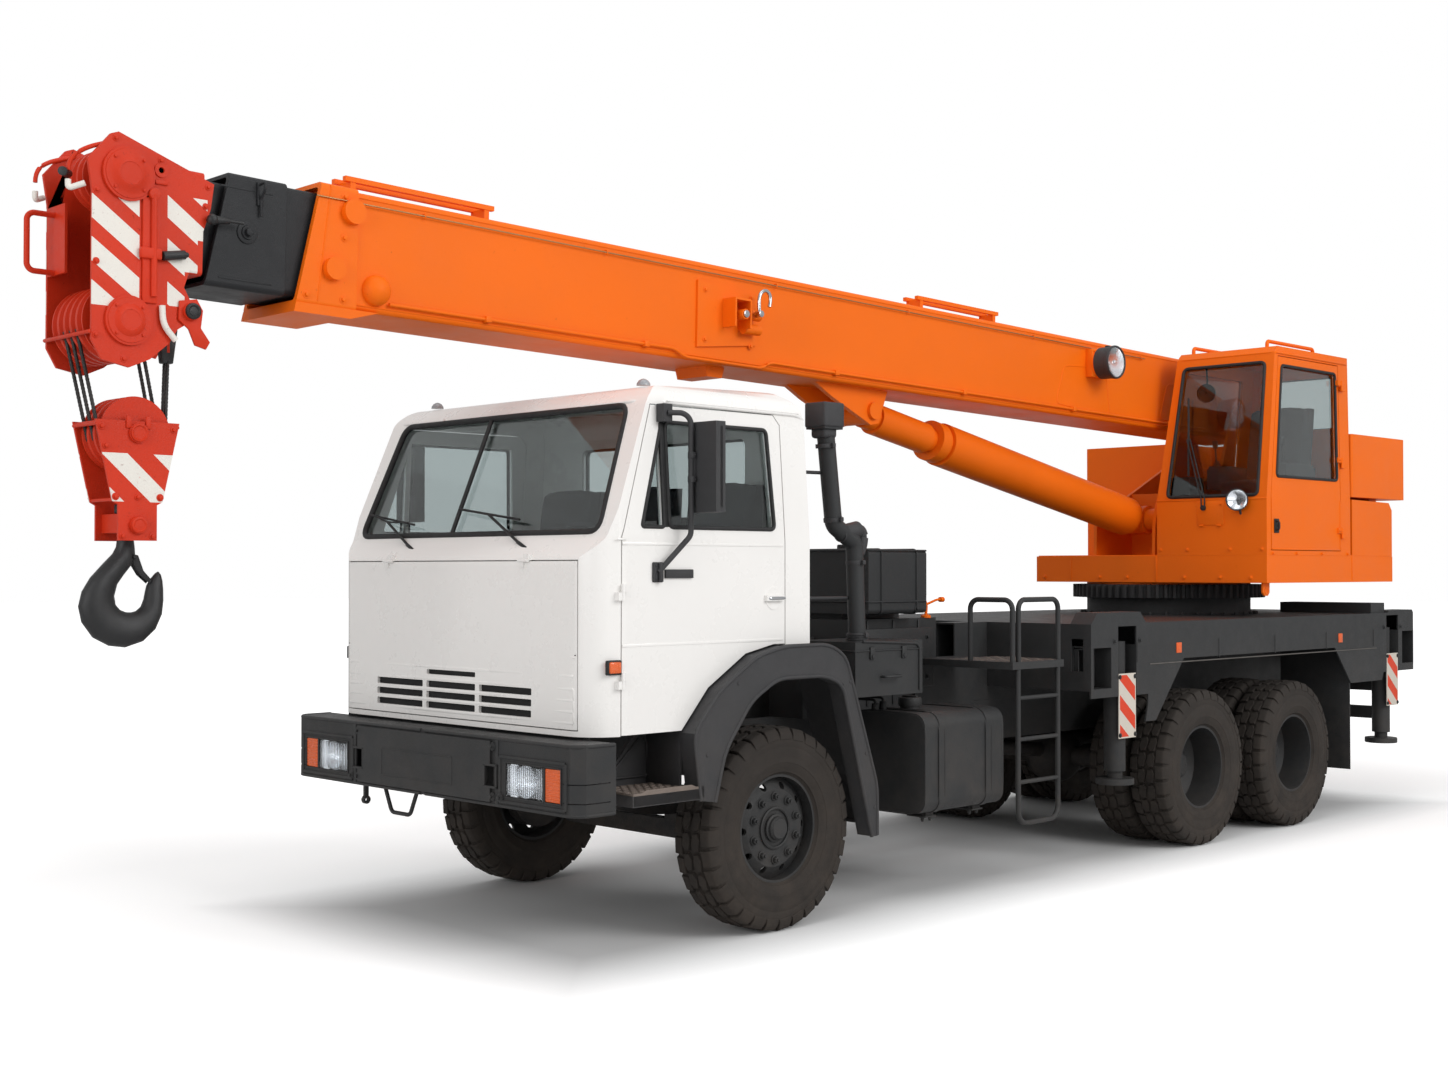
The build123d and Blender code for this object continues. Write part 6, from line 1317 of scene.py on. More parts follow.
# lifting lug under the corner
lug_outline = [(face + 0.060, 1.815), (face + 0.060, 1.740), (face + 0.085, 1.715), (face + 0.135, 1.715),
               (face + 0.160, 1.740), (face + 0.160, 1.815)]
side_plate(shape, lug_outline, 1.150, 1.166, 0.003)
turned(shape, (1.166, face + 0.110, 1.752), (1, 0, 0),
       [(0.0, 0.016), (0.0, 0.026), (0.003, 0.026), (0.003, 0.016), (0.0, 0.016)], 24)
for x in (-0.72, -0.2, 0.05, 0.55, 0.85, 1.1):
    bolt(shape, (x, face, 1.850), (0, -1, 0), 0.020, 0.010)
weight_high = box("counterweight")[1]
for z in (2.524, 2.940):
    for s in (1, -1):
        bolt(shape, (s * 1.16, weight_high.y, z), (0, 1, 0), 0.034, 0.016)
for s in (1, -1):
    turned(shape, (s * 0.8, weight_high.y - 0.10, weight_high.z), (0, 0, 1),
           [(0.0, 0.0), (0.0, 0.030), (0.010, 0.028), (0.012, 0.0)], 20)
finish_piece("platform_seams", shape, crane_orange, "turntable")

# %% [markdown]
# Bolted joints that carry a load use rows of the same bolt: here they ring the slew bearing.

# %% Slew ring bolts
ring_low, ring_high = box("slew_ring")
ring_middle = Vector(((ring_low.x + ring_high.x) / 2, (ring_low.y + ring_high.y) / 2, 0.0))
shape = bmesh.new()
for n in range(36):
    turn = 2 * pi * n / 36
    spot = ring_middle + Vector((cos(turn) * 0.680, sin(turn) * 0.680, ring_low.z - 0.001))
    drum(shape, spot, spot + Vector((0, 0, 0.022)), 0.015, rounding=0.001, sides=6)
finish_piece("slew_bolts", shape, cast_steel, "chassis")

# %% [markdown]
# ## Boom
# The base section is a welded box: long seams along its edges, a doubled collar, a side bracket with the jib's
# latch, one steel pipe for oil clipped below, and a thin cable on hooks above. All of it is fixed rigging.

# %% Stations along the boom
boom_foot = joint_place["boom_luff"]
tilt = radians(1.3)
boom_way = Vector((0.0, -cos(tilt), sin(tilt)))
boom_up = Vector((0.0, sin(tilt), cos(tilt)))
boom_half, boom_under, boom_top = 0.235, -0.1425, 0.4425
collar_half = boom_half + 0.014


def on_boom(x, s, h):
    """A point of the boom: across it, along it from the foot pin, and square above its axis."""
    return Vector((x, boom_foot.y, boom_foot.z)) + boom_way * s + boom_up * h


shape = bmesh.new()
for s in (1, -1):
    # weld beads along the four long edges and round the collar
    for h in (boom_under + 0.030, boom_top - 0.030):
        pipe(shape, [on_boom(s * boom_half, 0.05, h), on_boom(s * boom_half, 8.480, h)], 0.0045, sides=2)
    pipe(shape, [on_boom(s * boom_half, 8.482, boom_under + 0.03), on_boom(s * boom_half, 8.482, boom_top - 0.03)],
         0.006, sides=2)
    pipe(shape, [on_boom(s * collar_half, 8.700, boom_under + 0.02), on_boom(s * collar_half, 8.640, boom_top)],
         0.004, sides=2)
    for start, h in ((8.560, 0.40), (8.560, 0.20), (8.760, -0.10), (8.560, -0.10)):
        bolt(shape, on_boom(s * collar_half, start, h), (s, 0, 0), 0.024, 0.010)
    for start in (5.76, 6.14):
        for h in (-0.01, 0.28):
            bolt(shape, on_boom(s * boom_half + (0.014 if s > 0 else 0.0), start, h), (s, 0, 0), 0.022, 0.010)
    # doubled plate at the foot
    for start, stop in ((0.30, 1.20), (1.90, 2.60)):
        loop(shape, [on_boom(s * boom_half, start, -0.10), on_boom(s * boom_half, stop, -0.06),
                     on_boom(s * boom_half, stop - 0.10, 0.22),
                     on_boom(s * boom_half, start + 0.06, 0.26)], 0.0035, 0.05)
turned(shape, on_boom(boom_half - 0.002, 8.370, -0.030), (1, 0, 0),
       [(0.0, 0.0), (0.0, 0.078), (0.030, 0.072), (0.056, 0.048), (0.068, 0.018), (0.070, 0.0)], 28)
# clips of the pipe and of the cable
for start in (1.1, 2.4, 3.7, 5.0, 6.6, 7.7):
    clip = on_boom(boom_half, start, boom_under + 0.052)
    block(shape, clip + Vector((-0.001, -0.018, -0.016)), clip + Vector((0.034, 0.018, 0.016)), 0.004)
for start in (1.5, 2.9, 4.3, 5.55, 6.9, 8.1):
    wire_clip = ((-0.002, 0.392), (0.022, 0.392), (0.022, 0.372), (0.012, 0.366))
    pipe(shape, [on_boom(boom_half + out, start, h) for out, h in wire_clip], 0.0035, 0.006)
finish_piece("boom_seams", shape, crane_orange, "boom")

# %% Oil pipe, cable and bracket hook
shape = bmesh.new()
oil_route = [(0.55, 0.052), (5.60, 0.052), (5.66, 0.012), (6.30, 0.012), (6.38, 0.052), (8.30, 0.052)]
pipe(shape, [on_boom(boom_half + 0.018, along, boom_under + h) for along, h in oil_route], 0.009, 0.04)
finish_piece("boom_oil_pipe", shape, crane_orange, "boom")
shape = bmesh.new()
pipe(shape, [on_boom(boom_half + 0.020, 1.45, 0.380), on_boom(boom_half + 0.020, 8.72, 0.380)], 0.004)
brass = make_finish("brass_wire", linear(176, 132, 88), 0.34, metallic=0.9, fade=0.1, ripple=0.001)
finish_piece("boom_signal_wire", shape, brass, "boom")
shape = bmesh.new()
base = on_boom(boom_half + 0.120, 5.93, 0.150)
drum(shape, base + Vector((0.018, 0, 0)), base + Vector((0.030, 0, 0)), 0.022, sides=24)
latch = on_boom(boom_half + 0.135, 5.81, 0.165)
pipe(shape, [latch, latch + Vector((0.0, -0.02, 0.10)), latch + Vector((0.0, 0.05, 0.155)),
             latch + Vector((0.0, 0.10, 0.11)), latch + Vector((0.0, 0.08, 0.05))], 0.011, soft=True)
drum(shape, latch + Vector((-0.03, 0, 0)), latch + Vector((0.018, 0, 0)), 0.020, sides=24)
finish_piece("stow_latch", shape, bright_steel, "boom")

# %% Work lamp on the boom's flank
lamp_seat = on_boom(0.0, 2.117, 0.270)
shape = bmesh.new()
block(shape, lamp_seat + Vector((boom_half - 0.003, -0.105, -0.105)), lamp_seat + Vector((0.294, 0.105, 0.105)),
      0.006)
for dy in (-0.085, 0.085):
    for dz in (-0.085, 0.085):
        bolt(shape, lamp_seat + Vector((0.294, dy, dz)), (1, 0, 0), 0.014, 0.006, washer=False)
finish_piece("boom_lamp_foot", shape, crane_orange, "boom")
shape = bmesh.new()
turned(shape, lamp_seat, (1, 0, 0), [(0.300, 0.100), (0.306, 0.1165), (0.404, 0.1180), (0.408, 0.1225),
                                     (0.426, 0.1235), (0.434, 0.1200),
                                     (0.435, 0.1130), (0.429, 0.1090), (0.411, 0.1080), (0.411, 0.0), (0.4085, 0.0),
                                     (0.4085, 0.112), (0.300, 0.100)], 48)
block(shape, lamp_seat + Vector((0.340, -0.014, 0.112)), lamp_seat + Vector((0.372, 0.014, 0.128)), 0.004)
finish_piece("boom_lamp_bowl", shape, black_plastic, "boom")
shape = bmesh.new()
turned(shape, lamp_seat, (1, 0, 0), [(0.4115, 0.0), (0.4115, 0.020), (0.4125, 0.052), (0.4165, 0.084),
                                     (0.4235, 0.1075), (0.4215, 0.1078), (0.4112, 0.084), (0.4112, 0.0)], 48)
drum(shape, lamp_seat + Vector((0.412, 0, 0)), lamp_seat + Vector((0.421, 0, 0)), 0.016, 0.012, sides=20)
finish_piece("boom_lamp_mirror", shape, lamp_bowl, "boom")
shape = bmesh.new()
turned(shape, lamp_seat, (1, 0, 0), [(0.4255, 0.0), (0.4255, 0.1085), (0.4285, 0.1085), (0.4315, 0.060),
                                     (0.4325, 0.0)], 48)
finish_piece("boom_lamp_glass", shape, lamp_glass, "boom")

# %% Grease bosses, clips and seams of the inner sections
shape = bmesh.new()
spot = on_boom(0.215, 9.06, 0.150)
turned(shape, spot, (1, 0, 0), [(-0.004, 0.0), (-0.004, 0.052), (0.006, 0.052), (0.008, 0.046), (0.008, 0.034),
                                (0.016, 0.032), (0.016, 0.0)], 32)
drum(shape, spot + Vector((0.014, 0, 0)), spot + Vector((0.034, 0, 0)), 0.021, sides=6)
for h in (0.350, -0.075):
    strip(shape, on_boom(0.2152, 8.93, h), on_boom(0.2152, 9.20, h), (0, 0, 0.008), (0.002, 0, 0), 0.001)
clip = on_boom(0.216, 9.00, 0.335)
block(shape, clip + Vector((-0.002, -0.016, -0.050)), clip + Vector((0.010, 0.016, 0.060)), 0.003)
pipe(shape, [clip + Vector((0.008, 0, 0.05)), clip + Vector((0.050, 0, 0.055)), clip + Vector((0.052, 0, 0.02)),
             clip + Vector((0.012, 0, -0.02)), clip + Vector((0.014, 0, -0.10))], 0.006, 0.01)
finish_piece("middle_fittings", shape, boom_grey, "boom_middle")

# %% [markdown]
# ## Boom head
# Two thick plates carry the sheaves. Each axle has a keeper ring and screws; a hoop in front guards the rope, and
# bars under the sheaves stop it jumping out. The warning stripes are paint, in two groups of three.

# %% Stripes and fittings of the head
sheave_axle = Vector((0.0, joint_place["rope_plumb"].y, joint_place["rope_plumb"].z))
upper_axle = Vector((0.0, sheave_axle.y - 0.004, 3.650))
plate_face = 0.236


def both_sides(areas):
    """The same painted areas, given as seen from the side, on both plates of the head."""
    return [area for x_low, x_high in ((plate_face - 0.006, plate_face + 0.0012),
                                       (-plate_face - 0.0012, -plate_face + 0.006))
            for area in (((x_low, low[0], low[1]), (x_high, high[0], high[1])) for low, high in areas)]


front_stripes = bands((0.0, 0.587, 0.810), 0.152, 0.566, signal_white,
                      both_sides([((-5.370, 3.060), (-5.140, 3.560))]), 0.375)
rear_stripes = bands((0.0, 0.587, 0.810), 0.157, 0.52, signal_white,
                     both_sides([((-5.008, 3.400), (-4.815, 3.590)), ((-5.008, 3.250), (-4.862, 3.400)),
                                 ((-5.008, 3.090), (-4.925, 3.250))]), 0.745)
head_red = make_finish("head_red", **red_recipe, paint_over=lambda tree, place, shown: rear_stripes(
    tree, place, front_stripes(tree, place, shown)))
shape = bmesh.new()
for s in (1, -1):
    for axle, wide in ((upper_axle, 0.120), (sheave_axle, 0.110)):
        spot = Vector((s * (plate_face + 0.014), axle.y, axle.z))
        turned(shape, spot, (s, 0, 0), [(-0.002, wide * 0.62), (-0.002, wide * 0.92), (0.004, wide * 0.90),
                                        (0.004, wide * 0.66), (0.016, wide * 0.52), (0.018, wide * 0.42),
                                        (0.012, wide * 0.38), (0.012, 0.0), (-0.002, 0.0), (-0.002, wide * 0.62)], 40)
        for n in range(4):
            turn = pi / 4 + n * pi / 2
            bolt(shape, spot + Vector((s * 0.002, cos(turn) * wide * 0.78, sin(turn) * wide * 0.78)), (s, 0, 0),
                 0.015, 0.006, washer=False)
    edge = [(-0.060, 3.800), (0.150, 3.735), (0.378, 3.650), (0.365, 3.560), (0.270, 3.330), (-0.145, 3.560),
            (-0.148, 3.250), (-0.148, 2.930), (-0.020, 2.835), (0.190, 2.950)]
    for y, z in edge:
        bolt(shape, (s * plate_face, sheave_axle.y + y, z), (s, 0, 0), 0.018, 0.008)
    # slotted lugs behind the upper axle
    spot = Vector((s * plate_face, sheave_axle.y + 0.150, 3.690))
    turned(shape, spot, (s, 0, 0), [(-0.002, 0.0), (-0.002, 0.034), (0.006, 0.032), (0.006, 0.014), (0.0, 0.012),
                                    (0.0, 0.0)], 24)
    block(shape, spot + Vector((-0.004 if s > 0 else -0.010, -0.030, -0.065)),
          spot + Vector((0.010 if s > 0 else 0.004, 0.030, -0.045)), 0.004)
    # upright channel between the two groups of stripes, with the cable's lever
    side_block(shape, s, (plate_face, sheave_axle.y + 0.060, 3.090),
               (plate_face + 0.012, sheave_axle.y + 0.130, 3.560), 0.005)
    pipe(shape, [(s * (plate_face + 0.018), sheave_axle.y + 0.110, 3.120),
                 (s * (plate_face + 0.018), sheave_axle.y + 0.110, 3.575)], 0.014)
    drum(shape, (s * (plate_face - 0.002), sheave_axle.y + 0.110, 3.575),
         (s * (plate_face + 0.030), sheave_axle.y + 0.110, 3.575), 0.026, sides=24)
    side_block(shape, s, (plate_face, sheave_axle.y + 0.045, 3.285),
               (plate_face + 0.030, sheave_axle.y + 0.145, 3.335), 0.008)
    # guard hoop over the front of the upper sheaves
    hoop = ((0.215, -0.045, 3.795), (0.200, -0.180, 3.745), (0.170, -0.245, 3.690), (0.170, -0.245, 3.640))
    pipe(shape, [(s * x, sheave_axle.y + y, z) for x, y, z in hoop], 0.010, 0.05)
    # hooked plate below the jib pin
    y, z = sheave_axle.y + 0.290, 3.072
    hooked = ((-0.055, 0.045), (0.03, 0.060), (0.060, 0.010), (0.050, -0.07), (0.095, -0.130), (0.075, -0.165),
              (0.020, -0.150), (-0.010, -0.080), (-0.060, -0.040))
    side_plate(shape, [(y + dy, z + dz) for dy, dz in hooked], *sorted((s * 0.237, s * 0.249)), 0.003)
# two keeper bars beside the lower sheaves
for turn in (200, 310):
    y, z = sheave_axle.y + cos(radians(turn)) * 0.183, sheave_axle.z + sin(radians(turn)) * 0.183
    drum(shape, (-plate_face + 0.004, y, z), (plate_face - 0.004, y, z), 0.009, sides=16)
finish_piece("head_fittings", shape, signal_red, "boom_tip")

shape = bmesh.new()
for s in (1, -1):
    ball = Vector((s * (plate_face + 0.028), sheave_axle.y + 0.385, 3.500))
    turned(shape, ball, (s, 0, 0), [(0.026 * sin(a),
                                     0.026 * cos(a)) for a in [pi * (n / 12 - 0.5) for n in range(13)]], 24)
    drum(shape, ball + Vector((-s * 0.030, 0, 0)), ball, 0.016, sides=20)
    drum(shape, ball + Vector((0, 0.01, 0)), ball + Vector((0, 0.085, 0.004)), 0.020, 0.014, sides=20)
    pipe(shape, [ball + Vector((0, 0.08, 0.004)), ball + Vector((0, 0.155, 0.004))], 0.007)
    pin = Vector((s * (plate_face + 0.032), sheave_axle.y + 0.290, 3.072))
    turned(shape, pin, (s, 0, 0), [(-0.002, 0.0), (-0.002, 0.038), (0.010, 0.036), (0.014, 0.026), (0.008, 0.020),
                                   (0.012, 0.0)], 28)
    # limit switch with its cylinder
    switch = Vector((s * (plate_face + 0.020), sheave_axle.y + 0.150, 3.305))
    drum(shape, switch, switch + Vector((0, 0.105, 0.018)), 0.021, sides=24)
    drum(shape, switch + Vector((0, 0.105, 0.018)), switch + Vector((0, 0.120, 0.020)), 0.012, sides=16)
drum(shape, (0.10, sheave_axle.y - 0.215, 3.640), (0.18, sheave_axle.y - 0.275, 3.630), 0.020, sides=20)
socket = Vector((0.062, sheave_axle.y + 0.265, 2.925))
plate(shape, [socket + Vector((-0.022, -0.048, 0.085)), socket + Vector((-0.022, 0.048, 0.085)),
              socket + Vector((-0.022, 0.026, -0.075)), socket + Vector((-0.022, -0.026, -0.075))],
      (0.044, 0, 0), 0.006)
finish_piece("head_rods", shape, hook_black, "boom_tip")

shape = bmesh.new()
for s in (1, -1):
    # white tips of the curved guards
    rear_tip = ((0.150, 3.085), (0.155, 3.000), (0.215, 2.935))
    front_tip = ((0.170, -0.245, 3.600), (0.170, -0.245, 3.560), (0.215, -0.190, 3.585))
    pipe(shape, [(s * (plate_face + 0.016), sheave_axle.y + y, z) for y, z in rear_tip], 0.014, 0.04)
    pipe(shape, [(s * x, sheave_axle.y + y, z) for x, y, z in front_tip], 0.013, 0.02)
pale_paint = make_finish("pale_paint", signal_white, 0.45, fade=0.08, patch=8.0, ripple=0.006, specks=0.8)
finish_piece("guard_tips", shape, pale_paint, "boom_tip")

# %% [markdown]
# ## Hook block and hook
# The block's plates are held apart by tie bolts and an axle with a keeper plate. The hook is a forging: a thick
# round body that thins to its tip, on a threaded shank, with a sprung latch across the throat.

# %% Block stripes and bolts
block_low, block_high = box("hook_block")
block_half = 0.120
block_y = (block_low.y + block_high.y) / 2
axle_z = 2.522
block_stripes = bands((0.0, 0.680, 0.733), 0.168, 0.5, signal_white,
                      [((block_half - 0.006, block_y - 0.3, 2.213), (block_half + 0.0012, block_y + 0.3, 2.429)),
                       ((-block_half - 0.0012, block_y - 0.3, 2.213), (-block_half + 0.006, block_y + 0.3, 2.429))],
                      0.687)
block_red = make_finish("block_red", **red_recipe, paint_over=block_stripes)
shape = bmesh.new()
for s in (1, -1):
    for y, z in ((-0.170, 2.545), (0.170, 2.545), (-0.150, 2.460), (-0.105, 2.235), (0.0, 2.235), (0.105, 2.235),
                 (-0.070, 2.060), (0.070, 2.060)):
        bolt(shape, (s * block_half, block_y + y, z), (s, 0, 0), 0.020, 0.010)
    spot = Vector((s * (block_half + 0.012), block_y, axle_z))
    turned(shape, spot, (s, 0, 0), [(-0.002, 0.0), (-0.002, 0.040), (0.006, 0.040), (0.008, 0.034), (0.003, 0.028),
                                    (0.003, 0.0)], 32)
    spot = Vector((s * (block_half + 0.016), block_y, 2.110))
    turned(shape, spot, (s, 0, 0), [(-0.002, 0.0), (-0.002, 0.038), (0.006, 0.036), (0.008, 0.028), (0.004, 0.022),
                                    (0.006, 0.0)], 32)
    for dy in (-0.046, 0.046):
        side_block(shape, s, (block_half, block_y + dy - 0.012, axle_z + 0.020),
                   (block_half + 0.008, block_y + dy + 0.012, axle_z + 0.075), 0.002)
for dy in (-0.183, 0.183):
    block(shape, (-block_half + 0.002, block_y + dy - 0.012, 2.552),
          (block_half - 0.002, block_y + dy + 0.012, 2.570), 0.004)
finish_piece("block_bolts", shape, signal_red, "hook_block")

# %% Forged hook with a latch
def lofted(shape, stations, widths, steps=20):
    """Skin over oval rings, each set between an outer and an inner point of the side view."""
    rings = []
    for (outer, inner), width in zip(stations, widths):
        outer, inner = Vector((0.0, *outer)), Vector((0.0, *inner))
        middle, reach = (outer + inner) / 2, (outer - inner) / 2
        ring = []
        for n in range(steps):
            a = 2 * pi * n / steps
            bulge = width * sin(a) * (1.0 + 0.12 * cos(a))
            ring.append(shape.verts.new(middle + reach * cos(a) + Vector((bulge, 0.0, 0.0))))
        rings.append(ring)
    skin(shape, rings)


hook_pairs = [((-38, 2040), (38, 2040)), ((-42, 2012), (42, 2004)), ((-58, 1982), (44, 1966)),
              ((-104, 1936), (22, 1926)),
              ((-162, 1874), (-12, 1884)), ((-200, 1812), (-40, 1845)), ((-216, 1745), (-54, 1792)),
              ((-200, 1674), (-47, 1754)),
              ((-150, 1606), (-24, 1729)), ((-78, 1568), (4, 1718)), ((0, 1558), (27, 1717)),
              ((80, 1582), (52, 1723)),
              ((140, 1636), (77, 1744)), ((172, 1704), (90, 1776)), ((180, 1764), (95, 1806)),
              ((180, 1818), (102, 1838)),
              ((177, 1858), (120, 1868)), ((170, 1886), (142, 1893)), ((160, 1900), (154, 1901))]
hook_wide = [36, 38, 42, 46, 48, 49, 50, 50, 50, 50, 50, 49, 47, 43, 37, 30, 22, 13, 3]
shape = bmesh.new()
lofted(shape, [((block_y + a / 1000, b / 1000), (block_y + c / 1000, d / 1000)) for (a, b), (c, d) in hook_pairs],
       [w / 1000 for w in hook_wide])
drum(shape, (0, block_y, 2.030), (0, block_y, 2.198), 0.034, sides=32)
drum(shape, (0, block_y, 2.162), (0, block_y, 2.204), 0.054, rounding=0.004, sides=6)
hook_piece = finish_piece("forged_hook", shape, hook_black, "hook", 60)
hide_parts("hook")
shape = bmesh.new()
for x in (-0.018, 0.018):
    cheek = ((0.012, 1.985), (0.052, 1.975), (0.078, 1.905), (0.118, 1.862), (0.108, 1.846), (0.062, 1.885),
             (0.036, 1.925))
    side_plate(shape, [(block_y + y, z) for y, z in cheek], x - 0.002, x + 0.002, 0.001)
drum(shape, (-0.040, block_y + 0.030, 1.968), (0.040, block_y + 0.030, 1.968), 0.010, sides=16)
plate(shape, [(-0.020, block_y + 0.118, 1.862), (0.020, block_y + 0.118, 1.862), (0.020, block_y + 0.078, 1.905),
              (-0.020, block_y + 0.078, 1.905)], (0, -0.003, -0.002), 0.001)
finish_piece("hook_latch", shape, cast_steel, "hook")

# %% [markdown]
# ## Hoist rope
# Steel rope is six strands laid round a core. Each fall is a tube whose section has six lobes and turns as it goes
# along, so the lay shows. The falls are taut, straight from the head sheave to the block sheave.

# %% Rope falls
wire_steel = make_finish("wire_steel", linear(58, 57, 56), 0.42, metallic=0.6, fade=0.2, patch=14.0, ripple=0.004,
                         ripple_scale=500.0)


def laid_rope(shape, start, end, radius, lay=0.11):
    """A taut rope of six strands that turn once round in the length of a lay."""
    start, end = Vector(start), Vector(end)
    way = end - start
    side = way.orthogonal().normalized()
    other = way.normalized().cross(side)
    steps = max(6, int(way.length / lay * 9))
    rings = []
    for n in range(steps + 1):
        centre = start + way * n / steps
        twist = 2 * pi * (way.length * n / steps) / lay
        ring = []
        for k in range(12):
            a = 2 * pi * k / 12 + twist
            out = radius if k % 2 else radius * 0.84
            ring.append(shape.verts.new(centre + (side * cos(a) + other * sin(a)) * out))
        rings.append(ring)
    skin(shape, rings)


head_sheave, block_sheave, fall_radius = 0.172, 0.166, 0.009
groove_depth, groove_play = 0.022, 0.0003


def fall_ends(x, side):
    """Where a fall leaves the head sheave and meets the block sheave."""
    top, bottom = Vector((x, sheave_axle.y, sheave_axle.z)), Vector((x, block_y, axle_z))
    down = (bottom - top).normalized()
    across = Vector((0.0, down.z, -down.y)) * -side
    lean = (head_sheave - block_sheave) / (bottom - top).length
    outward = down * lean + across * (1 - lean ** 2) ** 0.5
    reach = fall_radius + groove_play - groove_depth
    return top + outward * (head_sheave + reach), bottom + outward * (block_sheave + reach)


shape = bmesh.new()
for side in (-1, 1):
    for n in (-1, 0, 1):
        top, bottom = fall_ends(n * 0.062, side)
        if side == 1 and n == 1:
            for dx in (-0.016, 0.016):
                laid_rope(shape, (0.062 + dx, sheave_axle.y + 0.265, 2.860), bottom + Vector((dx, 0, 0)), 0.0085)
        else:
            laid_rope(shape, top, bottom, fall_radius)
bmesh.ops.recalc_face_normals(shape, faces=shape.faces)
rope_mesh = bpy.data.meshes.new("rope_falls")
shape.to_mesh(rope_mesh)
shape.free()
rope_mesh.materials.append(wire_steel)
for face in rope_mesh.polygons:
    face.use_smooth = True
rope_piece = bpy.data.objects.new("laid_ropes", rope_mesh)
scene.collection.objects.link(rope_piece)
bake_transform(rope_piece)
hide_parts("hoist_ropes")
print("rope", len(rope_mesh.polygons), "faces")

# %% [markdown]
# ## Outriggers and rear
# The beams end in striped plates, so that people keep clear of them. The jack housings have pale rubbed edges, and
# each beam carries a reflector. The tail has a bar with lamps in rubber housings.

# %% Stripes on the outrigger ends
plate_areas, stripe_areas = [], []
plate_face_x, plate_half, plate_z = 1.250, 0.100, (0.810, 1.232)
for name in every_beam:
    low, high = box(name)
    s = 1 if high.x + low.x > 0 else -1
    middle_y = (low.y + high.y) / 2
    x_range = sorted((s * (plate_face_x - 0.010), s * (plate_face_x + 0.002)))
    for areas, margin in ((plate_areas, -0.002), (stripe_areas, 0.010)):
        areas.append(((x_range[0], middle_y - plate_half + margin, plate_z[0] + margin),
                      (x_range[1], middle_y + plate_half - margin, plate_z[1] - margin)))
plate_white = bands((0.0, 1.0, 0.0), 1.0, 2.0, linear(206, 198, 186), plate_areas)
plate_red = bands((0.0, 0.62, 0.785), 0.150, 0.5, linear(214, 62, 28), stripe_areas, 0.25)
beam_paint = make_finish("beam_paint", **grey_recipe, paint_over=lambda tree, place, shown: plate_red(
    tree, place, plate_white(tree, place, shown)))

reflector = make_finish("reflector_orange", linear(222, 92, 30), 0.3, fade=0.05, patch=6.0, ripple=0.004)
for name in every_beam:
    low, high = box(name)
    s = 1 if high.x + low.x > 0 else -1
    middle_y = (low.y + high.y) / 2
    shape = bmesh.new()
    for dy in (-0.088, 0.088):
        for z in (0.832, 1.210):
            bolt(shape, (s * plate_face_x, middle_y + dy, z), (s, 0, 0), 0.018, 0.006)
    finish_piece(f"{name}_bolts", shape, chassis_grey, name)

frame_low, frame_high = box("outrigger_frame")
flank = 1.250
shape = bmesh.new()
for y in (1.817, 4.180):
    for s in (1, -1):
        side_block(shape, s, (flank - 0.004, y - 0.032, 1.345), (flank + 0.005, y + 0.032, 1.415), 0.003)
finish_piece("flank_reflectors", shape, reflector, "chassis")

# %% Jack caps, slot frames and flank seams
worn_edge = make_finish("worn_edge", linear(92, 88, 84), 0.6, metallic=0.2, fade=0.25, patch=14.0, ripple=0.01,
                        specks=0.8)
shape = bmesh.new()
edges = bmesh.new()
for name in every_jack:
    low, high = box(name)
    s = 1 if high.x + low.x > 0 else -1
    y = (low.y + high.y) / 2
    x = (low.x + high.x) / 2
    turned(shape, (x, y, high.z), (0, 0, 1), [(-0.002, 0.0), (-0.002, 0.040), (0.010, 0.038), (0.014, 0.020),
                                              (0.014, 0.0)], 24)
    for dy in (-0.150, 0.150):
        if frame_low.y + 0.03 < y + dy < frame_high.y - 0.03:
            bolt(shape, (s * flank, y + dy, 1.445), (s, 0, 0), 0.022, 0.010)
for s in (1, -1):
    for y in (1.30, 2.35, 3.15, 3.95, 4.75):
        pipe(shape, [(s * (flank + 0.0005), y, 1.30), (s * (flank + 0.0005), y, 1.43)], 0.004, sides=2)
    # rubbing strip along the lower flank
    strip(edges, (s * (flank + 0.001), 1.45, 1.283), (s * (flank + 0.001), 4.80, 1.283), (0, 0, 0.008),
          (s * 0.003, 0, 0), 0.001)
finish_piece("outrigger_bolts", shape, chassis_grey, "chassis")
finish_piece("outrigger_rubbed_edges", edges, worn_edge, "chassis")

# %% Tail lamps and bar ends
tail_y = box("chassis_frame")[1].y
tail_red = make_finish("tail_red", linear(168, 26, 18), 0.22, fade=0.05, patch=9.0, ripple=0.012, ripple_scale=300.0,
                       coat=0.6)
shape, lens_red, lens_amber = bmesh.new(), bmesh.new(), bmesh.new()
for s in (1, -1):
    side_block(shape, s, (0.688, tail_y - 0.055, 0.900), (0.972, tail_y - 0.004, 1.020), 0.008)
    side_block(lens_red, s, (0.700, tail_y - 0.012, 0.912), (0.867, tail_y, 1.008), 0.005)
    side_block(lens_amber, s, (0.873, tail_y - 0.012, 0.912), (0.960, tail_y, 1.008), 0.005)
finish_piece("tail_lamp_feet", shape, seal_rubber, "chassis")
finish_piece("tail_lamps", lens_red, tail_red, "chassis")
finish_piece("tail_indicators", lens_amber, amber_lens, "chassis")

# %% [markdown]
# ## Seats
# The cushions are foam under stretched cloth: a swollen middle, sunk seams and soft corners. Each is a box that
# bulges towards its centre, laid over the frame's plain seat.

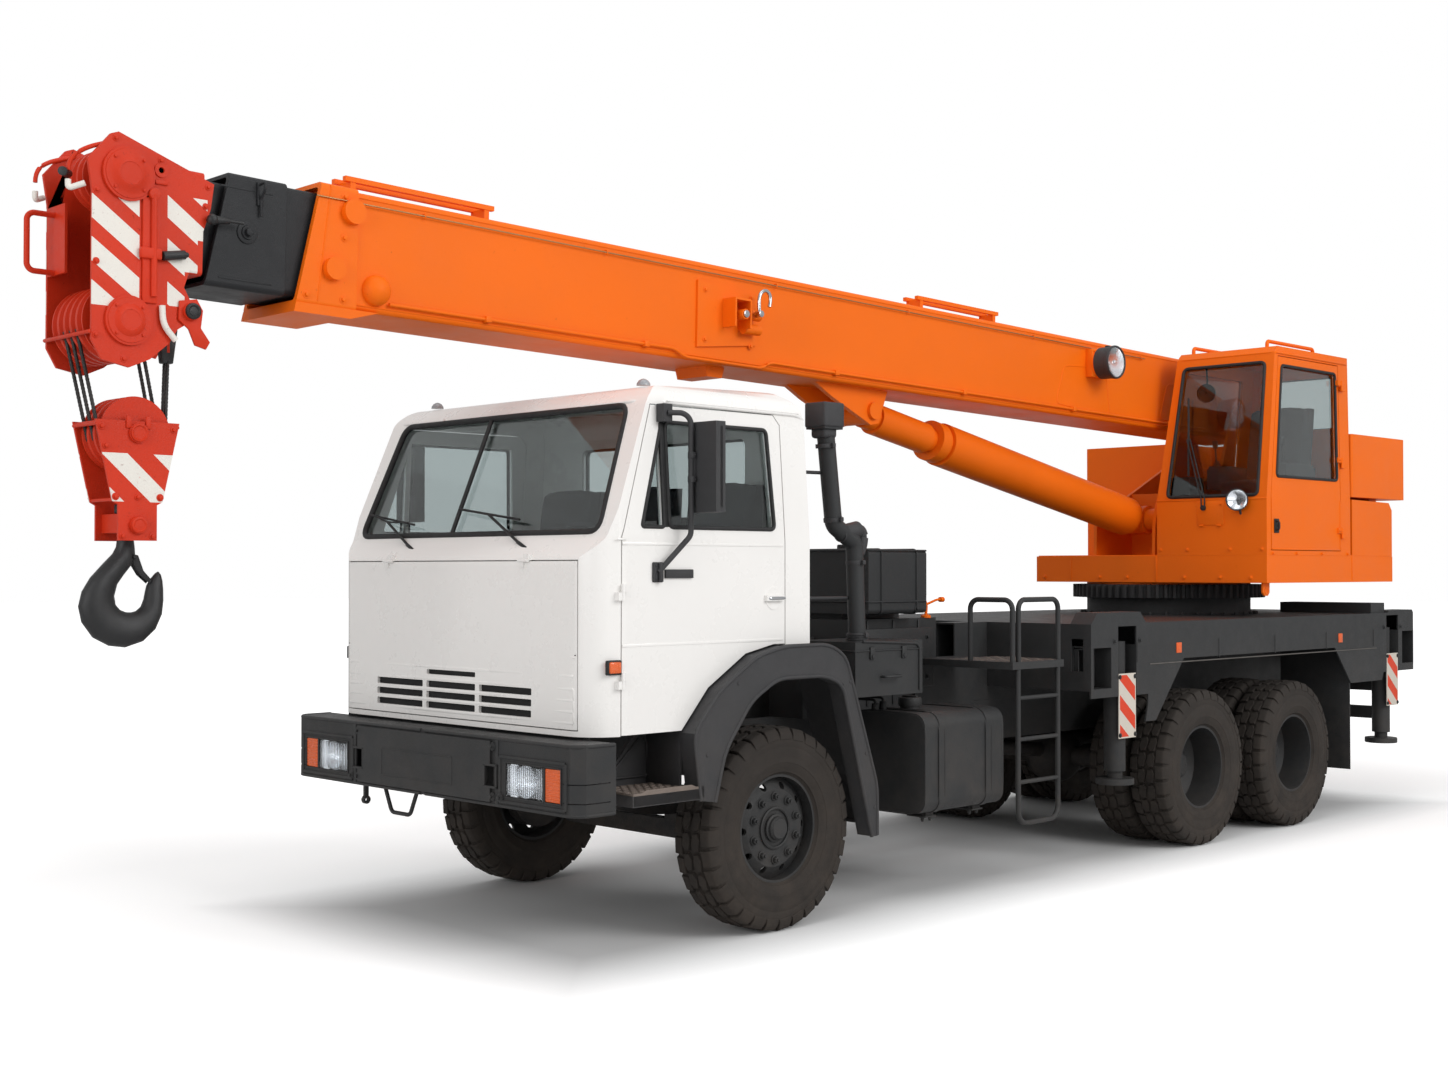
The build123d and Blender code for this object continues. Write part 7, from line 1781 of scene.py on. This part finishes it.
# %% Seat cushions
def cushion(shape, low, high, swell, turn=0.0, rows=10):
    """A padded block: its faces bulge most at their middles and its corners are soft."""
    low, high = Vector(low), Vector(high)
    middle, half = (low + high) / 2, (high - low) / 2
    soft = bmesh.new()
    bmesh.ops.create_cube(soft, size=2.0)
    bmesh.ops.subdivide_edges(soft, edges=soft.edges[:], cuts=rows, use_grid_fill=True)
    lean = Matrix.Rotation(turn, 3, "X")
    for vert in soft.verts:
        u = vert.co.copy()
        inset = Vector((1 - 0.03 * (u.y ** 4 + u.z ** 4), 1 - 0.03 * (u.x ** 4 + u.z ** 4),
                        1 - 0.08 * (u.x ** 6 + u.y ** 6)))
        bulge = swell * (1 - u.x ** 2) * (1 - u.y ** 2)
        seam = 0.006 * max(0.0, 1 - abs(abs(u.x) - 0.62) / 0.07)
        lift = (bulge - seam) * u.z if abs(u.z) > 0.9 else 0.0
        vert.co = middle + lean @ Vector((u.x * inset.x * half.x, u.y * inset.y * half.y,
                                          u.z * inset.z * half.z + lift))
    mesh = bpy.data.meshes.new("cushion")
    soft.to_mesh(mesh)
    soft.free()
    shape.from_mesh(mesh)
    bpy.data.meshes.remove(mesh)


tunnel = 1.5533
shape = bmesh.new()
for x in (-0.650, 0.0, 0.650):
    cushion(shape, (x - 0.234, cab_rear - 0.712, tunnel + 0.150), (x + 0.234, cab_rear - 0.235, tunnel + 0.252),
            0.022)
    cushion(shape, (x - 0.230, cab_rear - 0.245, tunnel + 0.250), (x + 0.230, cab_rear - 0.135, tunnel + 0.830),
            0.004, radians(-7))
cab_cushions = finish_piece("cab_seat_cushions", shape, seat_cloth, "chassis", 60)
shape = bmesh.new()
seat_x, booth_floor = (booth_inner + booth_outer) / 2, platform_top + 0.0403
cushion(shape, (seat_x - 0.234, booth_rear - 0.772, booth_floor + 0.430),
        (seat_x + 0.234, booth_rear - 0.300, booth_floor + 0.542), 0.022)
cushion(shape, (seat_x - 0.230, booth_rear - 0.345, booth_floor + 0.530),
        (seat_x + 0.230, booth_rear - 0.245, booth_floor + 1.130), 0.004, radians(-9))
for s in (1, -1):
    cushion(shape, (seat_x + s * 0.279 - 0.048, booth_rear - 0.790, booth_floor + 0.630),
            (seat_x + s * 0.279 + 0.048, booth_rear - 0.340, booth_floor + 0.665), 0.006, rows=6)
booth_cushions = finish_piece("booth_seat_cushions", shape, seat_cloth, "turntable", 60)

# %% [markdown]
# What the operator handles: two joystick levers with ribbed rubber boots, a column of gauges in the corner, pedals
# on the floor, and a round fan on a stalk. They show through the panes.

# %% Controls in the booth and the cab
shape = bmesh.new()
for s in (1, -1):
    foot = Vector((seat_x + s * 0.279, booth_rear - 0.740, booth_floor + 0.660))
    for n in range(4):
        drum(shape, foot + Vector((0, 0, n * 0.012)), foot + Vector((0, 0, n * 0.012 + 0.008)), 0.034 - n * 0.005,
             sides=20)
    pipe(shape, [foot, foot + Vector((0, -0.02, 0.150))], 0.007)
    drum(shape, foot + Vector((0, -0.02, 0.140)), foot + Vector((0, -0.025, 0.205)), 0.018, 0.022, rounding=0.006,
         sides=20)
    for dx in (-0.07, 0.07):
        block(shape, (seat_x + s * 0.14 + dx - 0.03, booth_front + 0.22, booth_floor + 0.03),
              (seat_x + s * 0.14 + dx + 0.03, booth_front + 0.34, booth_floor + 0.05), 0.006,
              turn=Matrix.Rotation(radians(28), 4, "X"))
block(shape, (booth_inner + 0.075, booth_front + 0.080, booth_floor + 0.002),
      (booth_inner + 0.235, booth_front + 0.300, booth_floor + 0.560), 0.012)
for n in range(3):
    turned(shape, (booth_inner + 0.155, booth_front + 0.300, booth_floor + 0.50 - n * 0.11), (0, 1, 0),
           [(-0.002, 0.0), (-0.002, 0.036), (0.008, 0.036), (0.008, 0.030), (0.003, 0.028), (0.003, 0.0)], 24)
fan = Vector((booth_inner + 0.240, booth_front + 0.330, 3.270))
turned(shape, fan, (0.2, -1, 0), [(-0.03, 0.0), (-0.03, 0.030), (-0.012, 0.034), (-0.012, 0.070), (0.018, 0.072),
                                  (0.018, 0.066), (-0.004, 0.064), (-0.004, 0.0)], 28)
pipe(shape, [fan, fan + Vector((-0.01, 0.03, 0.10)), fan + Vector((-0.02, 0.03, 0.240))], 0.008)
finish_piece("booth_controls", shape, seal_rubber, "turntable")
shape = bmesh.new()
for n, x in enumerate((0.40, 0.50, 0.66, 0.76)):
    turned(shape, (x, cab_front + 0.352, cab_waist - 0.075), (0, 0.8, 0.6),
           [(-0.03, 0.0), (-0.03, 0.042), (0.010, 0.042), (0.010, 0.036), (0.004, 0.034), (0.004, 0.0)], 24)
pipe(shape, [(0.18, cab_front + 0.46, 1.60), (0.20, cab_front + 0.50, 1.80), (0.22, cab_front + 0.56, 1.95)], 0.009)
drum(shape, (0.22, cab_front + 0.555, 1.94), (0.225, cab_front + 0.570, 1.985), 0.022, 0.018, rounding=0.008,
     sides=20)
finish_piece("cab_controls", shape, seal_rubber, "chassis")

# %% [markdown]
# ## Finishes on the frame
# Last, every plain solid takes its paint. What is hidden behind a finer piece keeps its plain shape for the physics.

# %% Paint the frame
give(cab_white, "cab_shell", "front_panel", "door_left", "door_right", bevel=0.004)
give(crane_orange, "slew_platform", "counterweight", "operator_cab", "operator_door", "boom_base", "luff_barrel",
     bevel=0.003)
give(crane_orange, "luff_rod")
give(head_red, "boom_head", bevel=0.002)
give(block_red, "hook_block", bevel=0.002)
give(chassis_grey, "chassis_frame", "front_bumper", "outrigger_frame", "fuel_tank", "deck_boxes", "access_ladder",
     *every_jack, bevel=0.003)
give(beam_paint, *every_beam, bevel=0.003)
give(boom_grey, "boom_middle", "boom_tip", bevel=0.003)
give(black_plastic, "cab_fenders", "mirror_left", "mirror_right", bevel=0.006)
give(rim_grey, *every_rim)
give(cast_steel, "running_gear", "knuckle_left", "knuckle_right", "slew_ring", "hoist_winch")
give(tyre_rubber, *[name for name in nodes if name.startswith("tyre_")])
give(lamp_glass, "head_lamps")
give(hook_black, "hook")
give(wire_steel, "hoist_ropes")
give(seat_cloth, "cab_interior", "operator_seat")
print("nodes painted:", sum(1 for node in nodes.values() if node.data.materials))

# %% [markdown]
# The overall box of everything shown, the floor left out, is worked out at the end.

# %% Sizes
low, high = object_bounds()
